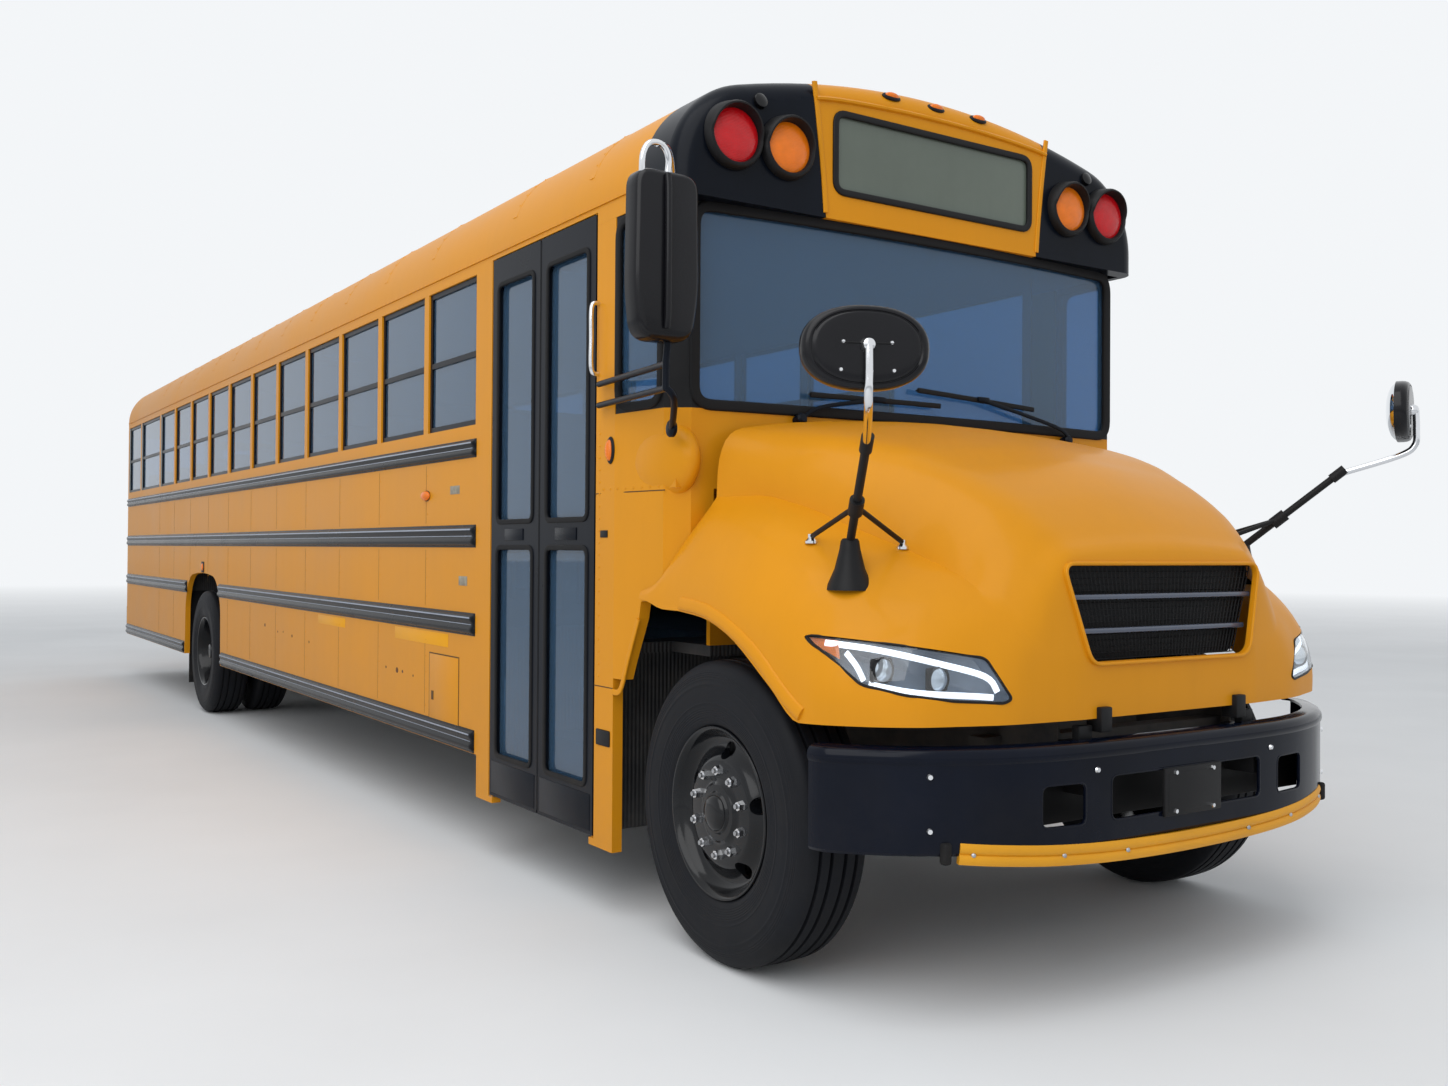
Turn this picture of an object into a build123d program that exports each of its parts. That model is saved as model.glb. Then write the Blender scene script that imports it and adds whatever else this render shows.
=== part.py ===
from build123d import *
import math
import os

# School bus with a conventional hood, in millimetres.
# The front faces -Y, +X is the driver's side, the door is on the -X side, +Z is up.
# Stations are measured back from the face of the front bumper.

# Driving sizes of the body
OVERALL_LENGTH = 12950.0
BODY_HALF = 1195.0
WALL = 42.0
SHEET = 6.0
GAP = 6.0
SEAT_GAP = 0.3
SKIRT_Z = 440.0
FLOOR_Z = 1030.0
FLOOR_THICK = 40.0
SILL_Z = 1950.0
WINDOW_TOP_Z = 2640.0
HEADER_Z = 2704.0
CROWN_Z = 3185.0
ROOF_CORNER = 375.0
REAR_BUMPER_REACH = 130.0
BODY_REAR = OVERALL_LENGTH - REAR_BUMPER_REACH

# Stations of the passenger side
DOOR_FRONT = 1905.0
DOOR_REAR = 2911.0
DOOR_BOTTOM_Z = 285.0
DOOR_TOP_Z = 2665.0
POST_BOTTOM_Z = 250.0
DOOR_PIN_R = 8.0
DOOR_PIN_IN = 12.0
DOOR_MEETING = 12.0
FIRST_WINDOW = 3100.0
FIRST_PILLAR = 3747.0
WINDOW_PITCH = 722.0
WIDE_WINDOW = 1060.0
LAST_WINDOW = 712.0
REGULAR_WINDOWS = int((BODY_REAR - LAST_WINDOW - WIDE_WINDOW - FIRST_PILLAR) // WINDOW_PITCH)
PILLAR_WIDTH = 62.0
SASH_BAR_Z = 2281.0

# Rub rails: lower edge and upper edge
RUB_RAILS = ((1799.0, 1886.0), (1384.0, 1490.0), (977.0, 1083.0), (442.0, 548.0))
RAIL_PROUD = 17.0
RAIL_START = 3085.0

# Front end
CAP_FRONT = 1300.0
CAP_REAR = 1560.0
CAP_BOTTOM_Z = 2622.0
CAP_THICK = 36.0
CAP_ROUND = 85.0
PANEL_TOP_X = BODY_HALF - 580.0
PANEL_BOTTOM_X = BODY_HALF - 647.0
SIGN_HALF = PANEL_BOTTOM_X - 40.0
SIGN_BOTTOM_Z = 2731.0
SIGN_TOP_Z = 3020.0
GLASS_BASE_Z = 1885.0
COWL_SIDE = 1750.0
COWL_CORNER = 1440.0
COWL_CORNER_X = BODY_HALF - 30.0
GLASS_EDGE_X = BODY_HALF - 105.0
GLASS_EDGE = 1375.0
GLASS_CENTRE = 1320.0
GLASS_THICK = 8.0

# Running gear
TYRE_RADIUS = 507.0
TYRE_WIDTH = 278.0
RIM_RADIUS = 286.0
FRONT_AXLE = 1100.0
REAR_OVERHANG = 3820.0
REAR_AXLE = BODY_REAR - REAR_OVERHANG
FRONT_TYRE_FACE = BODY_HALF - 30.0
REAR_TYRE_FACE = BODY_HALF - 7.0
DUAL_SPACING = 330.0
KINGPIN_X = FRONT_TYRE_FACE - 315.0
STEER_ARM = 190.0
TIE_ROD_Z = 395.0
SPINDLE_R = 36.0
RAIL_HALF = 432.0
FRAME_TOP_Z = 870.0
FRAME_HEIGHT = 250.0
FRAME_FLANGE = 76.0
FRAME_WEB = 9.0
CROSSMEMBERS = [300, 2300, 3600, 5300, 7000] + [REAR_AXLE + step for step in (-700, 600, 1900, 3300)]
OUTRIGGERS = range(3000, int(BODY_REAR) - 120, 760)
TOW_EYE_R = 25.0
TOW_EYE_Z = 385.0
TOW_EYE_THICK = 20.0

# Hood, bumper and hinge
HOOD_HINGE = 190.0
HOOD_HINGE_Z = 850.0
HINGE_PIN = 10.0
HINGE_STAND_R = 15.0
HOOD_SKIN = 26.0
GRILLE_BOTTOM_X = 390.0
GRILLE_BOTTOM_Z = 1045.0
GRILLE_TOP_X = 478.0
GRILLE_TOP_Z = 1338.0
BUMPER_TOP_Z = 812.0
BUMPER_BOTTOM_Z = 500.0
BUMPER_THICK = 34.0
BUMPER_FACE = 100.0
BUMPER_END = 540.0
GUARD_HEIGHT = 62.0
GUARD_HALF = BODY_HALF - 265.0
PLATE_HALF = 140.0
PLATE_STAND = 12.0
PLATE_BOLT_X = 178.0
PLATE_BOLT_Z = 121.0
PLATE_BOLT_R = 3.5
PLATE_Z = 632.0
TOW_SLOT_X = 565.0

MID = OVERALL_LENGTH / 2
DOOR_PIN_X = -BODY_HALF + DOOR_PIN_IN
DOOR_PINS = (DOOR_FRONT + GAP + DOOR_PIN_IN, DOOR_REAR - GAP - DOOR_PIN_IN)


def at(station):
    """Y of a station measured back from the front bumper's face."""
    return station - MID


def cross(station):
    """Plane across the bus at a station; sketches are (X, Z), extrusion runs forward."""
    return Plane(origin=(0, at(station), 0), x_dir=(1, 0, 0), z_dir=(0, -1, 0))


def side(x):
    """Plane along the bus at a given X; sketches are (Y, Z), extrusion runs to +X."""
    return Plane(origin=(x, 0, 0), x_dir=(0, 1, 0), z_dir=(1, 0, 0))


def block(x_range, stations, z_range, mode=Mode.ADD):
    """Box between two X values, two stations and two heights."""
    size = [abs(pair[1] - pair[0]) for pair in (x_range, stations, z_range)]
    centre = (sum(x_range) / 2, at(sum(stations) / 2), sum(z_range) / 2)
    with Locations(centre):
        Box(*size, mode=mode)


def tube(start, end, radius, mode=Mode.ADD):
    """Round bar between two points."""
    direction = Vector(*end) - Vector(*start)
    with BuildSketch(Plane(origin=start, z_dir=direction)) as section:
        Circle(radius)
    extrude(section.sketch, amount=direction.length, mode=mode)


def save(part, name):
    part.label = name
    export_step(part, "parts/" + name + ".step")


os.makedirs("parts", exist_ok=True)

# Window openings along a side wall: front edge and rear edge of each
pillars = [FIRST_PILLAR + WINDOW_PITCH * i for i in range(REGULAR_WINDOWS + 1)]
pillars.append(pillars[-1] + WIDE_WINDOW)
half_pillar = PILLAR_WIDTH / 2
rear_corner = BODY_REAR - WALL - 20.0
windows = [(FIRST_WINDOW, pillars[0] - half_pillar)]
windows += [(a + half_pillar, b - half_pillar) for a, b in zip(pillars, pillars[1:])]
windows.append((pillars[-1] + half_pillar, rear_corner))


def roof_outline(inset, bottom):
    """Closed roof section inset from the outer skin: corner arcs tangent to the sides and the crown arc."""
    half = BODY_HALF - inset
    corner = ROOF_CORNER - inset
    centre_x = half - corner
    rise = CROWN_Z - inset - HEADER_Z
    crown_radius = (rise ** 2 + centre_x ** 2 - corner ** 2) / (2 * (rise - corner))
    lean = math.asin(centre_x / (crown_radius - corner))
    join = (centre_x + corner * math.sin(lean), HEADER_Z + corner * math.cos(lean))
    middle = (math.pi / 2 - lean) / 2
    shoulder = (centre_x + corner * math.cos(middle), HEADER_Z + corner * math.sin(middle))
    with BuildLine() as outline:
        Line((-half, bottom), (half, bottom))
        if bottom < HEADER_Z:
            Line((half, bottom), (half, HEADER_Z))
            Line((-half, HEADER_Z), (-half, bottom))
        ThreePointArc((half, HEADER_Z), shoulder, join)
        ThreePointArc(join, (0, CROWN_Z - inset), (-join[0], join[1]))
        ThreePointArc((-join[0], join[1]), (-shoulder[0], shoulder[1]), (-half, HEADER_Z))
    make_face(outline.edges())


# Side walls, hollow between sheets in the real bus and as thick as the whole wall here
ARCH_FOOT_HALF = 700.0
ARCH_SIDE = (685.0, 850.0)
ARCH_SHOULDER = (600.0, 1030.0)
ARCH_TOP = (400.0, 1140.0)
ARCH_CROWN_Z = 1160.0


def arch_outline():
    """Rear wheel opening in a side wall: upright sides, round shoulders and a gently arched top."""
    middle = at(REAR_AXLE)
    foot = (ARCH_FOOT_HALF, SKIRT_Z - 60)
    with BuildLine() as outline:
        Polyline((middle - ARCH_SIDE[0], ARCH_SIDE[1]), (middle - foot[0], foot[1]),
                 (middle + foot[0], foot[1]),
                 (middle + ARCH_SIDE[0], ARCH_SIDE[1]))
        ThreePointArc((middle + ARCH_SIDE[0], ARCH_SIDE[1]), (middle + ARCH_SHOULDER[0], ARCH_SHOULDER[1]),
                      (middle + ARCH_TOP[0], ARCH_TOP[1]))
        ThreePointArc((middle + ARCH_TOP[0], ARCH_TOP[1]), (middle, ARCH_CROWN_Z),
                      (middle - ARCH_TOP[0], ARCH_TOP[1]))
        ThreePointArc((middle - ARCH_TOP[0], ARCH_TOP[1]), (middle - ARCH_SHOULDER[0], ARCH_SHOULDER[1]),
                      (middle - ARCH_SIDE[0], ARCH_SIDE[1]))
    make_face(outline.edges())


def side_wall_body(sign, front, bottom):
    """One side wall with its window openings and the rear wheel arch."""
    x0 = BODY_HALF - WALL
    block((sign * x0, sign * BODY_HALF), (front, BODY_REAR - WALL), (bottom, HEADER_Z))
    for start, end in windows:
        block((sign * (x0 - 5), sign * (BODY_HALF + 5)), (start, end), (SILL_Z, WINDOW_TOP_Z),
              mode=Mode.SUBTRACT)
    with BuildSketch(side(-BODY_HALF - 5 if sign < 0 else x0 - 5)) as arch:
        arch_outline()
    extrude(arch.sketch, amount=WALL + 10, mode=Mode.SUBTRACT)


def door_pin_bracket(station, post):
    """Foot under a door leaf that carries its lower pin, reaching from the post to the pin."""
    far = station + math.copysign(16, station - post)
    block((-BODY_HALF, -BODY_HALF + WALL), (min(post, far), max(post, far)),
          (POST_BOTTOM_Z, DOOR_BOTTOM_Z - 8))
    tube((DOOR_PIN_X, at(station), DOOR_BOTTOM_Z - 10), (DOOR_PIN_X, at(station), DOOR_BOTTOM_Z + 40),
         DOOR_PIN_R)


DRIVER_WINDOW = (1960.0, 2960.0)
STOP_ARM_HINGE = 2080.0
STOP_ARM_STAND = 24.0
STOP_ARM_THICK = 26.0
STOP_ARM_Z = 1640.0
STOP_ARM_AXIS_X = BODY_HALF + STOP_ARM_STAND + STOP_ARM_THICK / 2
STOP_ARM_PIN = 5.0
STOP_ARM_KNUCKLE = 40.0

with BuildPart() as right_side_wall:
    side_wall_body(-1, DOOR_REAR + GAP, SKIRT_Z)
    block((-BODY_HALF, -BODY_HALF + WALL), (DOOR_REAR + GAP, DOOR_REAR + 150), (POST_BOTTOM_Z, SKIRT_Z))
    door_pin_bracket(DOOR_PINS[1], DOOR_REAR + GAP + 5)
save(right_side_wall.part, "right_side_wall")

with BuildPart() as left_side_wall:
    side_wall_body(1, COWL_SIDE + 155, SKIRT_Z)
    block((BODY_HALF - WALL - 5, BODY_HALF + 5), DRIVER_WINDOW, (SILL_Z - 60, WINDOW_TOP_Z),
          mode=Mode.SUBTRACT)
    block((BODY_HALF, BODY_HALF + STOP_ARM_STAND), (STOP_ARM_HINGE - 40, STOP_ARM_HINGE + 60),
          (STOP_ARM_Z - 2.5 * STOP_ARM_KNUCKLE, STOP_ARM_Z + 2.5 * STOP_ARM_KNUCKLE))
    hinge_x, hinge_y = STOP_ARM_AXIS_X, at(STOP_ARM_HINGE)
    for sign in (-1, 1):
        near = STOP_ARM_Z + sign * STOP_ARM_KNUCKLE
        far = STOP_ARM_Z + sign * 2 * STOP_ARM_KNUCKLE
        tube((hinge_x, hinge_y, near), (hinge_x, hinge_y, far), STOP_ARM_THICK / 2)
        block((BODY_HALF, hinge_x),
              (STOP_ARM_HINGE - STOP_ARM_THICK / 2, STOP_ARM_HINGE + STOP_ARM_THICK / 2), (near, far))
    tube((hinge_x, hinge_y, STOP_ARM_Z - STOP_ARM_KNUCKLE),
         (hinge_x, hinge_y, STOP_ARM_Z + STOP_ARM_KNUCKLE), STOP_ARM_PIN)
save(left_side_wall.part, "left_side_wall")

# Roof with two hatch openings
HATCH_STATIONS = (4600.0, BODY_REAR - 3020.0)
HATCH_HALF = 300.0
HATCH_Z = 3128.0
HATCH_CURB = 25.0
HATCH_EDGE = 40.0
HATCH_HINGE_R = 6.0
HATCH_HINGE_PIN = 3.0
HATCH_HINGE_Z = CROWN_Z + GAP + HATCH_HINGE_R
HATCH_KNUCKLE = 60.0
HATCH_HINGE_X = 170.0

with BuildPart() as roof_shell:
    with BuildSketch(cross(BODY_REAR - WALL)):
        roof_outline(0, HEADER_Z)
    extrude(amount=BODY_REAR - WALL - CAP_REAR)
    with BuildSketch(cross(BODY_REAR - WALL + 5)):
        roof_outline(WALL, HEADER_Z - 5)
    extrude(amount=BODY_REAR - CAP_REAR + 10, mode=Mode.SUBTRACT)
    for sign in (-1, 1):
        block((sign * (BODY_HALF - WALL), sign * BODY_HALF), (CAP_REAR, DOOR_FRONT - GAP),
              (CAP_BOTTOM_Z, HEADER_Z))
    block((-BODY_HALF, -BODY_HALF + WALL), (DOOR_FRONT - GAP - 1, DOOR_REAR + GAP),
          (DOOR_TOP_Z + GAP, HEADER_Z))
    for station in DOOR_PINS:
        tube((DOOR_PIN_X, at(station), DOOR_TOP_Z - 40), (DOOR_PIN_X, at(station), DOOR_TOP_Z + GAP + 5),
             DOOR_PIN_R)
    for hatch in HATCH_STATIONS:
        curb = HATCH_HALF + HATCH_CURB
        block((-curb, curb), (hatch - curb, hatch + curb), (CROWN_Z - WALL, CROWN_Z + GAP - SEAT_GAP))
        block((-HATCH_HALF, HATCH_HALF), (hatch - HATCH_HALF, hatch + HATCH_HALF),
              (HATCH_Z - 150, CROWN_Z + 50),
              mode=Mode.SUBTRACT)
        hinge = hatch + HATCH_HALF + HATCH_EDGE + HATCH_HINGE_R
        for sign in (-1, 1):
            inner, outer = sign * (HATCH_HINGE_X - HATCH_KNUCKLE), sign * HATCH_HINGE_X
            far = sign * (HATCH_HINGE_X + HATCH_KNUCKLE)
            block((inner, outer), (hinge - 5, hinge + 16), (CROWN_Z - WALL / 2, HATCH_HINGE_Z))
            tube((inner, at(hinge), HATCH_HINGE_Z), (outer, at(hinge), HATCH_HINGE_Z), HATCH_HINGE_R)
            tube((inner, at(hinge), HATCH_HINGE_Z), (far, at(hinge), HATCH_HINGE_Z), HATCH_HINGE_PIN)
save(roof_shell.part, "roof_shell")

for number, hatch in enumerate(HATCH_STATIONS):
    with BuildPart() as roof_hatch:
        half = HATCH_HALF + HATCH_EDGE
        block((-half, half), (hatch - half, hatch + half), (CROWN_Z + GAP, CROWN_Z + GAP + 26))
        fillet(roof_hatch.edges().filter_by(Axis.Z), 40)
        chamfer(roof_hatch.faces().sort_by(Axis.Z)[-1].edges(), 12)
        inner = HATCH_HALF - 10
        block((-inner, inner), (hatch - inner, hatch + inner), (HATCH_Z, CROWN_Z + GAP))
        deep = inner - 18
        block((-deep, deep), (hatch - deep, hatch + deep), (HATCH_Z - 1, CROWN_Z + GAP - 8),
              mode=Mode.SUBTRACT)
        hinge = hatch + half + HATCH_HINGE_R
        for sign in (-1, 1):
            near = sign * (HATCH_HINGE_X + SEAT_GAP)
            far = sign * (HATCH_HINGE_X + HATCH_KNUCKLE)
            tube((near, at(hinge), HATCH_HINGE_Z), (far, at(hinge), HATCH_HINGE_Z), HATCH_HINGE_R)
            block((near, far), (hinge - HATCH_HINGE_R - 2, hinge),
                  (HATCH_HINGE_Z - 4, HATCH_HINGE_Z + HATCH_HINGE_R))
            tube((near - sign, at(hinge), HATCH_HINGE_Z), (far + sign, at(hinge), HATCH_HINGE_Z),
                 HATCH_HINGE_PIN + SEAT_GAP, mode=Mode.SUBTRACT)
    save(roof_hatch.part, ("roof_hatch_front", "roof_hatch_rear")[number])

# Rear wall with its emergency door
REAR_DOOR_HALF = 310.0
REAR_DOOR_BOTTOM_Z = 960.0
REAR_DOOR_TOP_Z = 2560.0
REAR_HINGE_X = -REAR_DOOR_HALF + GAP / 2
REAR_HINGE = BODY_REAR + 12.0
REAR_HINGE_R = 10.0
REAR_HINGE_PIN = 5.0
REAR_HINGE_HEIGHTS = (1100.0, 1830.0, 2440.0)
KNUCKLE_HEIGHT = 45.0
REAR_GLASS_INNER = 400.0
REAR_GLASS_OUTER = BODY_HALF - 155.0

with BuildPart() as rear_wall:
    with BuildSketch(cross(BODY_REAR)):
        roof_outline(0, SKIRT_Z)
    extrude(amount=WALL)
    block((-REAR_DOOR_HALF, REAR_DOOR_HALF), (BODY_REAR - WALL - 5, BODY_REAR + 5),
          (REAR_DOOR_BOTTOM_Z, REAR_DOOR_TOP_Z), mode=Mode.SUBTRACT)
    for sign in (-1, 1):
        block((sign * REAR_GLASS_INNER, sign * REAR_GLASS_OUTER), (BODY_REAR - WALL - 5, BODY_REAR + 5),
              (SILL_Z, WINDOW_TOP_Z - 80), mode=Mode.SUBTRACT)
    for z in REAR_HINGE_HEIGHTS:
        block((REAR_HINGE_X - 60, REAR_HINGE_X), (BODY_REAR, BODY_REAR + 8), (z - KNUCKLE_HEIGHT, z))
        block((REAR_HINGE_X - 12, REAR_HINGE_X), (BODY_REAR, REAR_HINGE), (z - KNUCKLE_HEIGHT, z))
        tube((REAR_HINGE_X, at(REAR_HINGE), z - KNUCKLE_HEIGHT), (REAR_HINGE_X, at(REAR_HINGE), z),
             REAR_HINGE_R)
        tube((REAR_HINGE_X, at(REAR_HINGE), z - 5), (REAR_HINGE_X, at(REAR_HINGE), z + KNUCKLE_HEIGHT),
             REAR_HINGE_PIN)
save(rear_wall.part, "rear_wall")

with BuildPart() as rear_door:
    leaf = REAR_DOOR_HALF - GAP
    block((-leaf, leaf), (BODY_REAR - WALL, BODY_REAR), (REAR_DOOR_BOTTOM_Z + GAP, REAR_DOOR_TOP_Z - GAP))
    for low, high in ((1240.0, 1700.0), (SILL_Z, REAR_DOOR_TOP_Z - 90)):
        block((-leaf + 75, leaf - 75), (BODY_REAR - WALL - 5, BODY_REAR + 5), (low, high), mode=Mode.SUBTRACT)
    block((leaf - 130, leaf - 100), (BODY_REAR, BODY_REAR + 30), (1790.0, 1900.0))
    for z in REAR_HINGE_HEIGHTS:
        low, high = z + SEAT_GAP, z + KNUCKLE_HEIGHT
        block((-leaf + 2, -leaf + 60), (BODY_REAR, BODY_REAR + 8), (low, high))
        block((REAR_HINGE_X, -leaf + 12), (BODY_REAR + 2, REAR_HINGE), (low, high))
        tube((REAR_HINGE_X, at(REAR_HINGE), low), (REAR_HINGE_X, at(REAR_HINGE), high), REAR_HINGE_R)
        tube((REAR_HINGE_X, at(REAR_HINGE), low - 1), (REAR_HINGE_X, at(REAR_HINGE), high + 1),
             REAR_HINGE_PIN + SEAT_GAP,
             mode=Mode.SUBTRACT)
save(rear_door.part, "rear_door")

with BuildPart() as rear_door_glass:
    middle = BODY_REAR - WALL / 2
    for low, high in ((1240.0, 1700.0), (SILL_Z, REAR_DOOR_TOP_Z - 90)):
        block((-leaf + 75, leaf - 75), (middle - GLASS_THICK / 2, middle + GLASS_THICK / 2), (low, high))
save(rear_door_glass.part, "rear_door_glass")

# Front cap: the roof section carried forward, rounded at its face and hollow behind
with BuildPart() as cap_block:
    with BuildSketch(cross(CAP_REAR)):
        roof_outline(0, CAP_BOTTOM_Z)
    extrude(amount=CAP_REAR - CAP_FRONT)
    front_face = cap_block.faces().sort_by(Axis.Y)[0]
    fillet(front_face.edges().filter_by(lambda e: e.center().Z > CAP_BOTTOM_Z + 1), CAP_ROUND)
    with BuildSketch(cross(CAP_REAR + 5)):
        roof_outline(CAP_THICK, CAP_BOTTOM_Z - 5)
    extrude(amount=CAP_REAR + 5 - CAP_FRONT - CAP_THICK - 40, mode=Mode.SUBTRACT)

CAP_SEAM = 2.0


def cap_panel_region(offset):
    """Face between the two slanted panel edges, moved outward by an offset."""
    with BuildLine() as outline:
        Polyline((-PANEL_BOTTOM_X - offset, CAP_BOTTOM_Z - 50), (PANEL_BOTTOM_X + offset, CAP_BOTTOM_Z - 50),
                 (PANEL_TOP_X + offset, CROWN_Z + 50), (-PANEL_TOP_X - offset, CROWN_Z + 50), close=True)
    make_face(outline.edges())


with BuildPart() as front_cap:
    add(cap_block.part)
    with BuildSketch(cross(CAP_REAR + 5)):
        cap_panel_region(0)
    extrude(amount=CAP_REAR - CAP_FRONT + 60, mode=Mode.INTERSECT)
    with BuildSketch(cross(CAP_FRONT + 14)):
        with Locations((0, (SIGN_BOTTOM_Z + SIGN_TOP_Z) / 2)):
            RectangleRounded(2 * SIGN_HALF, SIGN_TOP_Z - SIGN_BOTTOM_Z, 30)
    extrude(amount=40, mode=Mode.SUBTRACT)
save(front_cap.part, "front_cap")

with BuildPart() as cap_corner_panels:
    add(cap_block.part)
    with BuildSketch(cross(CAP_REAR + 5)):
        cap_panel_region(CAP_SEAM)
    extrude(amount=CAP_REAR - CAP_FRONT + 60, mode=Mode.SUBTRACT)
save(cap_corner_panels.part, "cap_corner_panels")


# Windshield band: plan outline of the front of the cabin
def cabin_front(inset):
    """Closed plan of the cabin's front, inset from the outer skin."""
    side_x = BODY_HALF - inset
    corner = (COWL_CORNER_X - inset, at(COWL_CORNER + inset * 0.3))
    edge = (GLASS_EDGE_X - inset * 0.6, at(GLASS_EDGE + inset))
    with BuildLine() as outline:
        Polyline((-edge[0], edge[1]), (-corner[0], corner[1]), (-side_x, at(COWL_SIDE)),
                 (side_x, at(COWL_SIDE)),
                 (corner[0], corner[1]), (edge[0], edge[1]))
        ThreePointArc((edge[0], edge[1]), (0, at(GLASS_CENTRE + inset)), (-edge[0], edge[1]))
    make_face(outline.edges())


MAIN_GLASS_X = GLASS_EDGE_X - 22.0
QUARTER_FRONT = 1465.0
QUARTER_REAR = 1725.0
FRAME_SIDE = 30.0
FRAME_DEPTH = 40.0

with BuildPart() as windshield_frame:
    with BuildSketch(Plane.XY.offset(GLASS_BASE_Z)):
        cabin_front(0)
    extrude(amount=CAP_BOTTOM_Z - SEAT_GAP - GLASS_BASE_Z)
    with BuildSketch(Plane.XY.offset(GLASS_BASE_Z - 5)):
        cabin_front(FRAME_DEPTH)
    extrude(amount=CAP_BOTTOM_Z - GLASS_BASE_Z + 10, mode=Mode.SUBTRACT)
    block((-BODY_HALF, BODY_HALF), (COWL_SIDE - SHEET, COWL_SIDE + 20), (GLASS_BASE_Z - 5, CAP_BOTTOM_Z + 5),
          mode=Mode.SUBTRACT)
    block((-MAIN_GLASS_X, MAIN_GLASS_X), (GLASS_CENTRE - 50, GLASS_EDGE + 90),
          (GLASS_BASE_Z + FRAME_SIDE, CAP_BOTTOM_Z - FRAME_SIDE), mode=Mode.SUBTRACT)
    block((-BODY_HALF - 5, BODY_HALF + 5), (QUARTER_FRONT, QUARTER_REAR),
          (GLASS_BASE_Z + FRAME_SIDE, CAP_BOTTOM_Z - FRAME_SIDE), mode=Mode.SUBTRACT)
save(windshield_frame.part, "windshield_frame")

with BuildPart() as windshield_glass:
    with BuildSketch(Plane.XY.offset(GLASS_BASE_Z + FRAME_SIDE)):
        cabin_front(14)
    extrude(amount=CAP_BOTTOM_Z - GLASS_BASE_Z - 2 * FRAME_SIDE)
    with BuildSketch(Plane.XY.offset(GLASS_BASE_Z)):
        cabin_front(14 + GLASS_THICK)
    extrude(amount=CAP_BOTTOM_Z - GLASS_BASE_Z, mode=Mode.SUBTRACT)
    for sign in (-1, 1):
        block((sign * MAIN_GLASS_X, sign * (BODY_HALF + 5)), (GLASS_CENTRE - 50, QUARTER_FRONT),
              (GLASS_BASE_Z, CAP_BOTTOM_Z), mode=Mode.SUBTRACT)
    block((-BODY_HALF, BODY_HALF), (QUARTER_REAR, COWL_SIDE + 20), (GLASS_BASE_Z, CAP_BOTTOM_Z),
          mode=Mode.SUBTRACT)
save(windshield_glass.part, "windshield_glass")

# Cowl below the windshield, firewall, and the two front body posts
COWL_BOTTOM_Z = 900.0
FIREWALL = 1480.0
FIREWALL_THICK = 24.0
FIREWALL_HALF = BODY_HALF - 255.0
COWL_MOUTH_HALF = BODY_HALF - 195.0
COWL_MOUTH_Z = 1600.0
# Station and height round the wheel cut-out: back along the fender's lip, then down behind the tyre
COWL_CUT = ((1280, 850), (1712, 850), (1698, 862), (1654, 975), (1585, 1130), (1572, 1192), (1500, 1200),
            (1400, 1182),
            (1280, 1182))

with BuildPart() as front_cowl:
    with BuildSketch(Plane.XY.offset(COWL_BOTTOM_Z)):
        cabin_front(0)
    extrude(amount=GLASS_BASE_Z - SEAT_GAP - COWL_BOTTOM_Z)
    with BuildSketch(Plane.XY.offset(COWL_BOTTOM_Z - 5)):
        cabin_front(WALL)
    extrude(amount=GLASS_BASE_Z - COWL_BOTTOM_Z + 10, mode=Mode.SUBTRACT)
    block((-COWL_MOUTH_HALF, COWL_MOUTH_HALF), (GLASS_CENTRE - 40, FIREWALL),
          (COWL_BOTTOM_Z - 5, COWL_MOUTH_Z),
          mode=Mode.SUBTRACT)
    with BuildSketch(side(-BODY_HALF - 10)):
        with BuildLine():
            Polyline([(at(station), z) for station, z in COWL_CUT], close=True)
        make_face()
    extrude(amount=2 * BODY_HALF + 20, mode=Mode.SUBTRACT)
    block((-FIREWALL_HALF, FIREWALL_HALF), (FIREWALL, FIREWALL + FIREWALL_THICK),
          (FLOOR_Z + SEAT_GAP, COWL_MOUTH_Z + 40))
    block((-BODY_HALF + WALL, BODY_HALF - WALL), (GLASS_EDGE, FIREWALL + FIREWALL_THICK),
          (COWL_MOUTH_Z, COWL_MOUTH_Z + 40))
    for sign in (-1, 1):
        block((sign * (BODY_HALF - WALL), sign * BODY_HALF), (COWL_SIDE, DOOR_FRONT - GAP),
              (POST_BOTTOM_Z, CAP_BOTTOM_Z - SEAT_GAP))
    door_pin_bracket(DOOR_PINS[0], DOOR_FRONT - GAP - 5)
save(front_cowl.part, "front_cowl")

# Floor with its toe board, the step well and the houses over the rear wheels, each a solid of its own
STEP_IN = BODY_HALF - 635.0
STEPS = 3
STEP_LIP = 70.0
STEP_SHEET = 12.0
step_front = DOOR_FRONT + 20.0
step_rear = DOOR_REAR - 20.0
step_run = (BODY_HALF - STEP_LIP - STEP_IN - SEAT_GAP) / STEPS
step_rise = (FLOOR_Z - DOOR_BOTTOM_Z - 20) / STEPS
HOUSE_HALF = ARCH_FOOT_HALF + 30.0
HOUSE_TOP_Z = ARCH_CROWN_Z + 30.0
HOUSE_IN = REAR_TYRE_FACE - DUAL_SPACING - TYRE_WIDTH - 60.0
HOUSE_SHEET = 10.0
inside = BODY_HALF - WALL - SEAT_GAP
floor_low = FLOOR_Z - FLOOR_THICK

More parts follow.
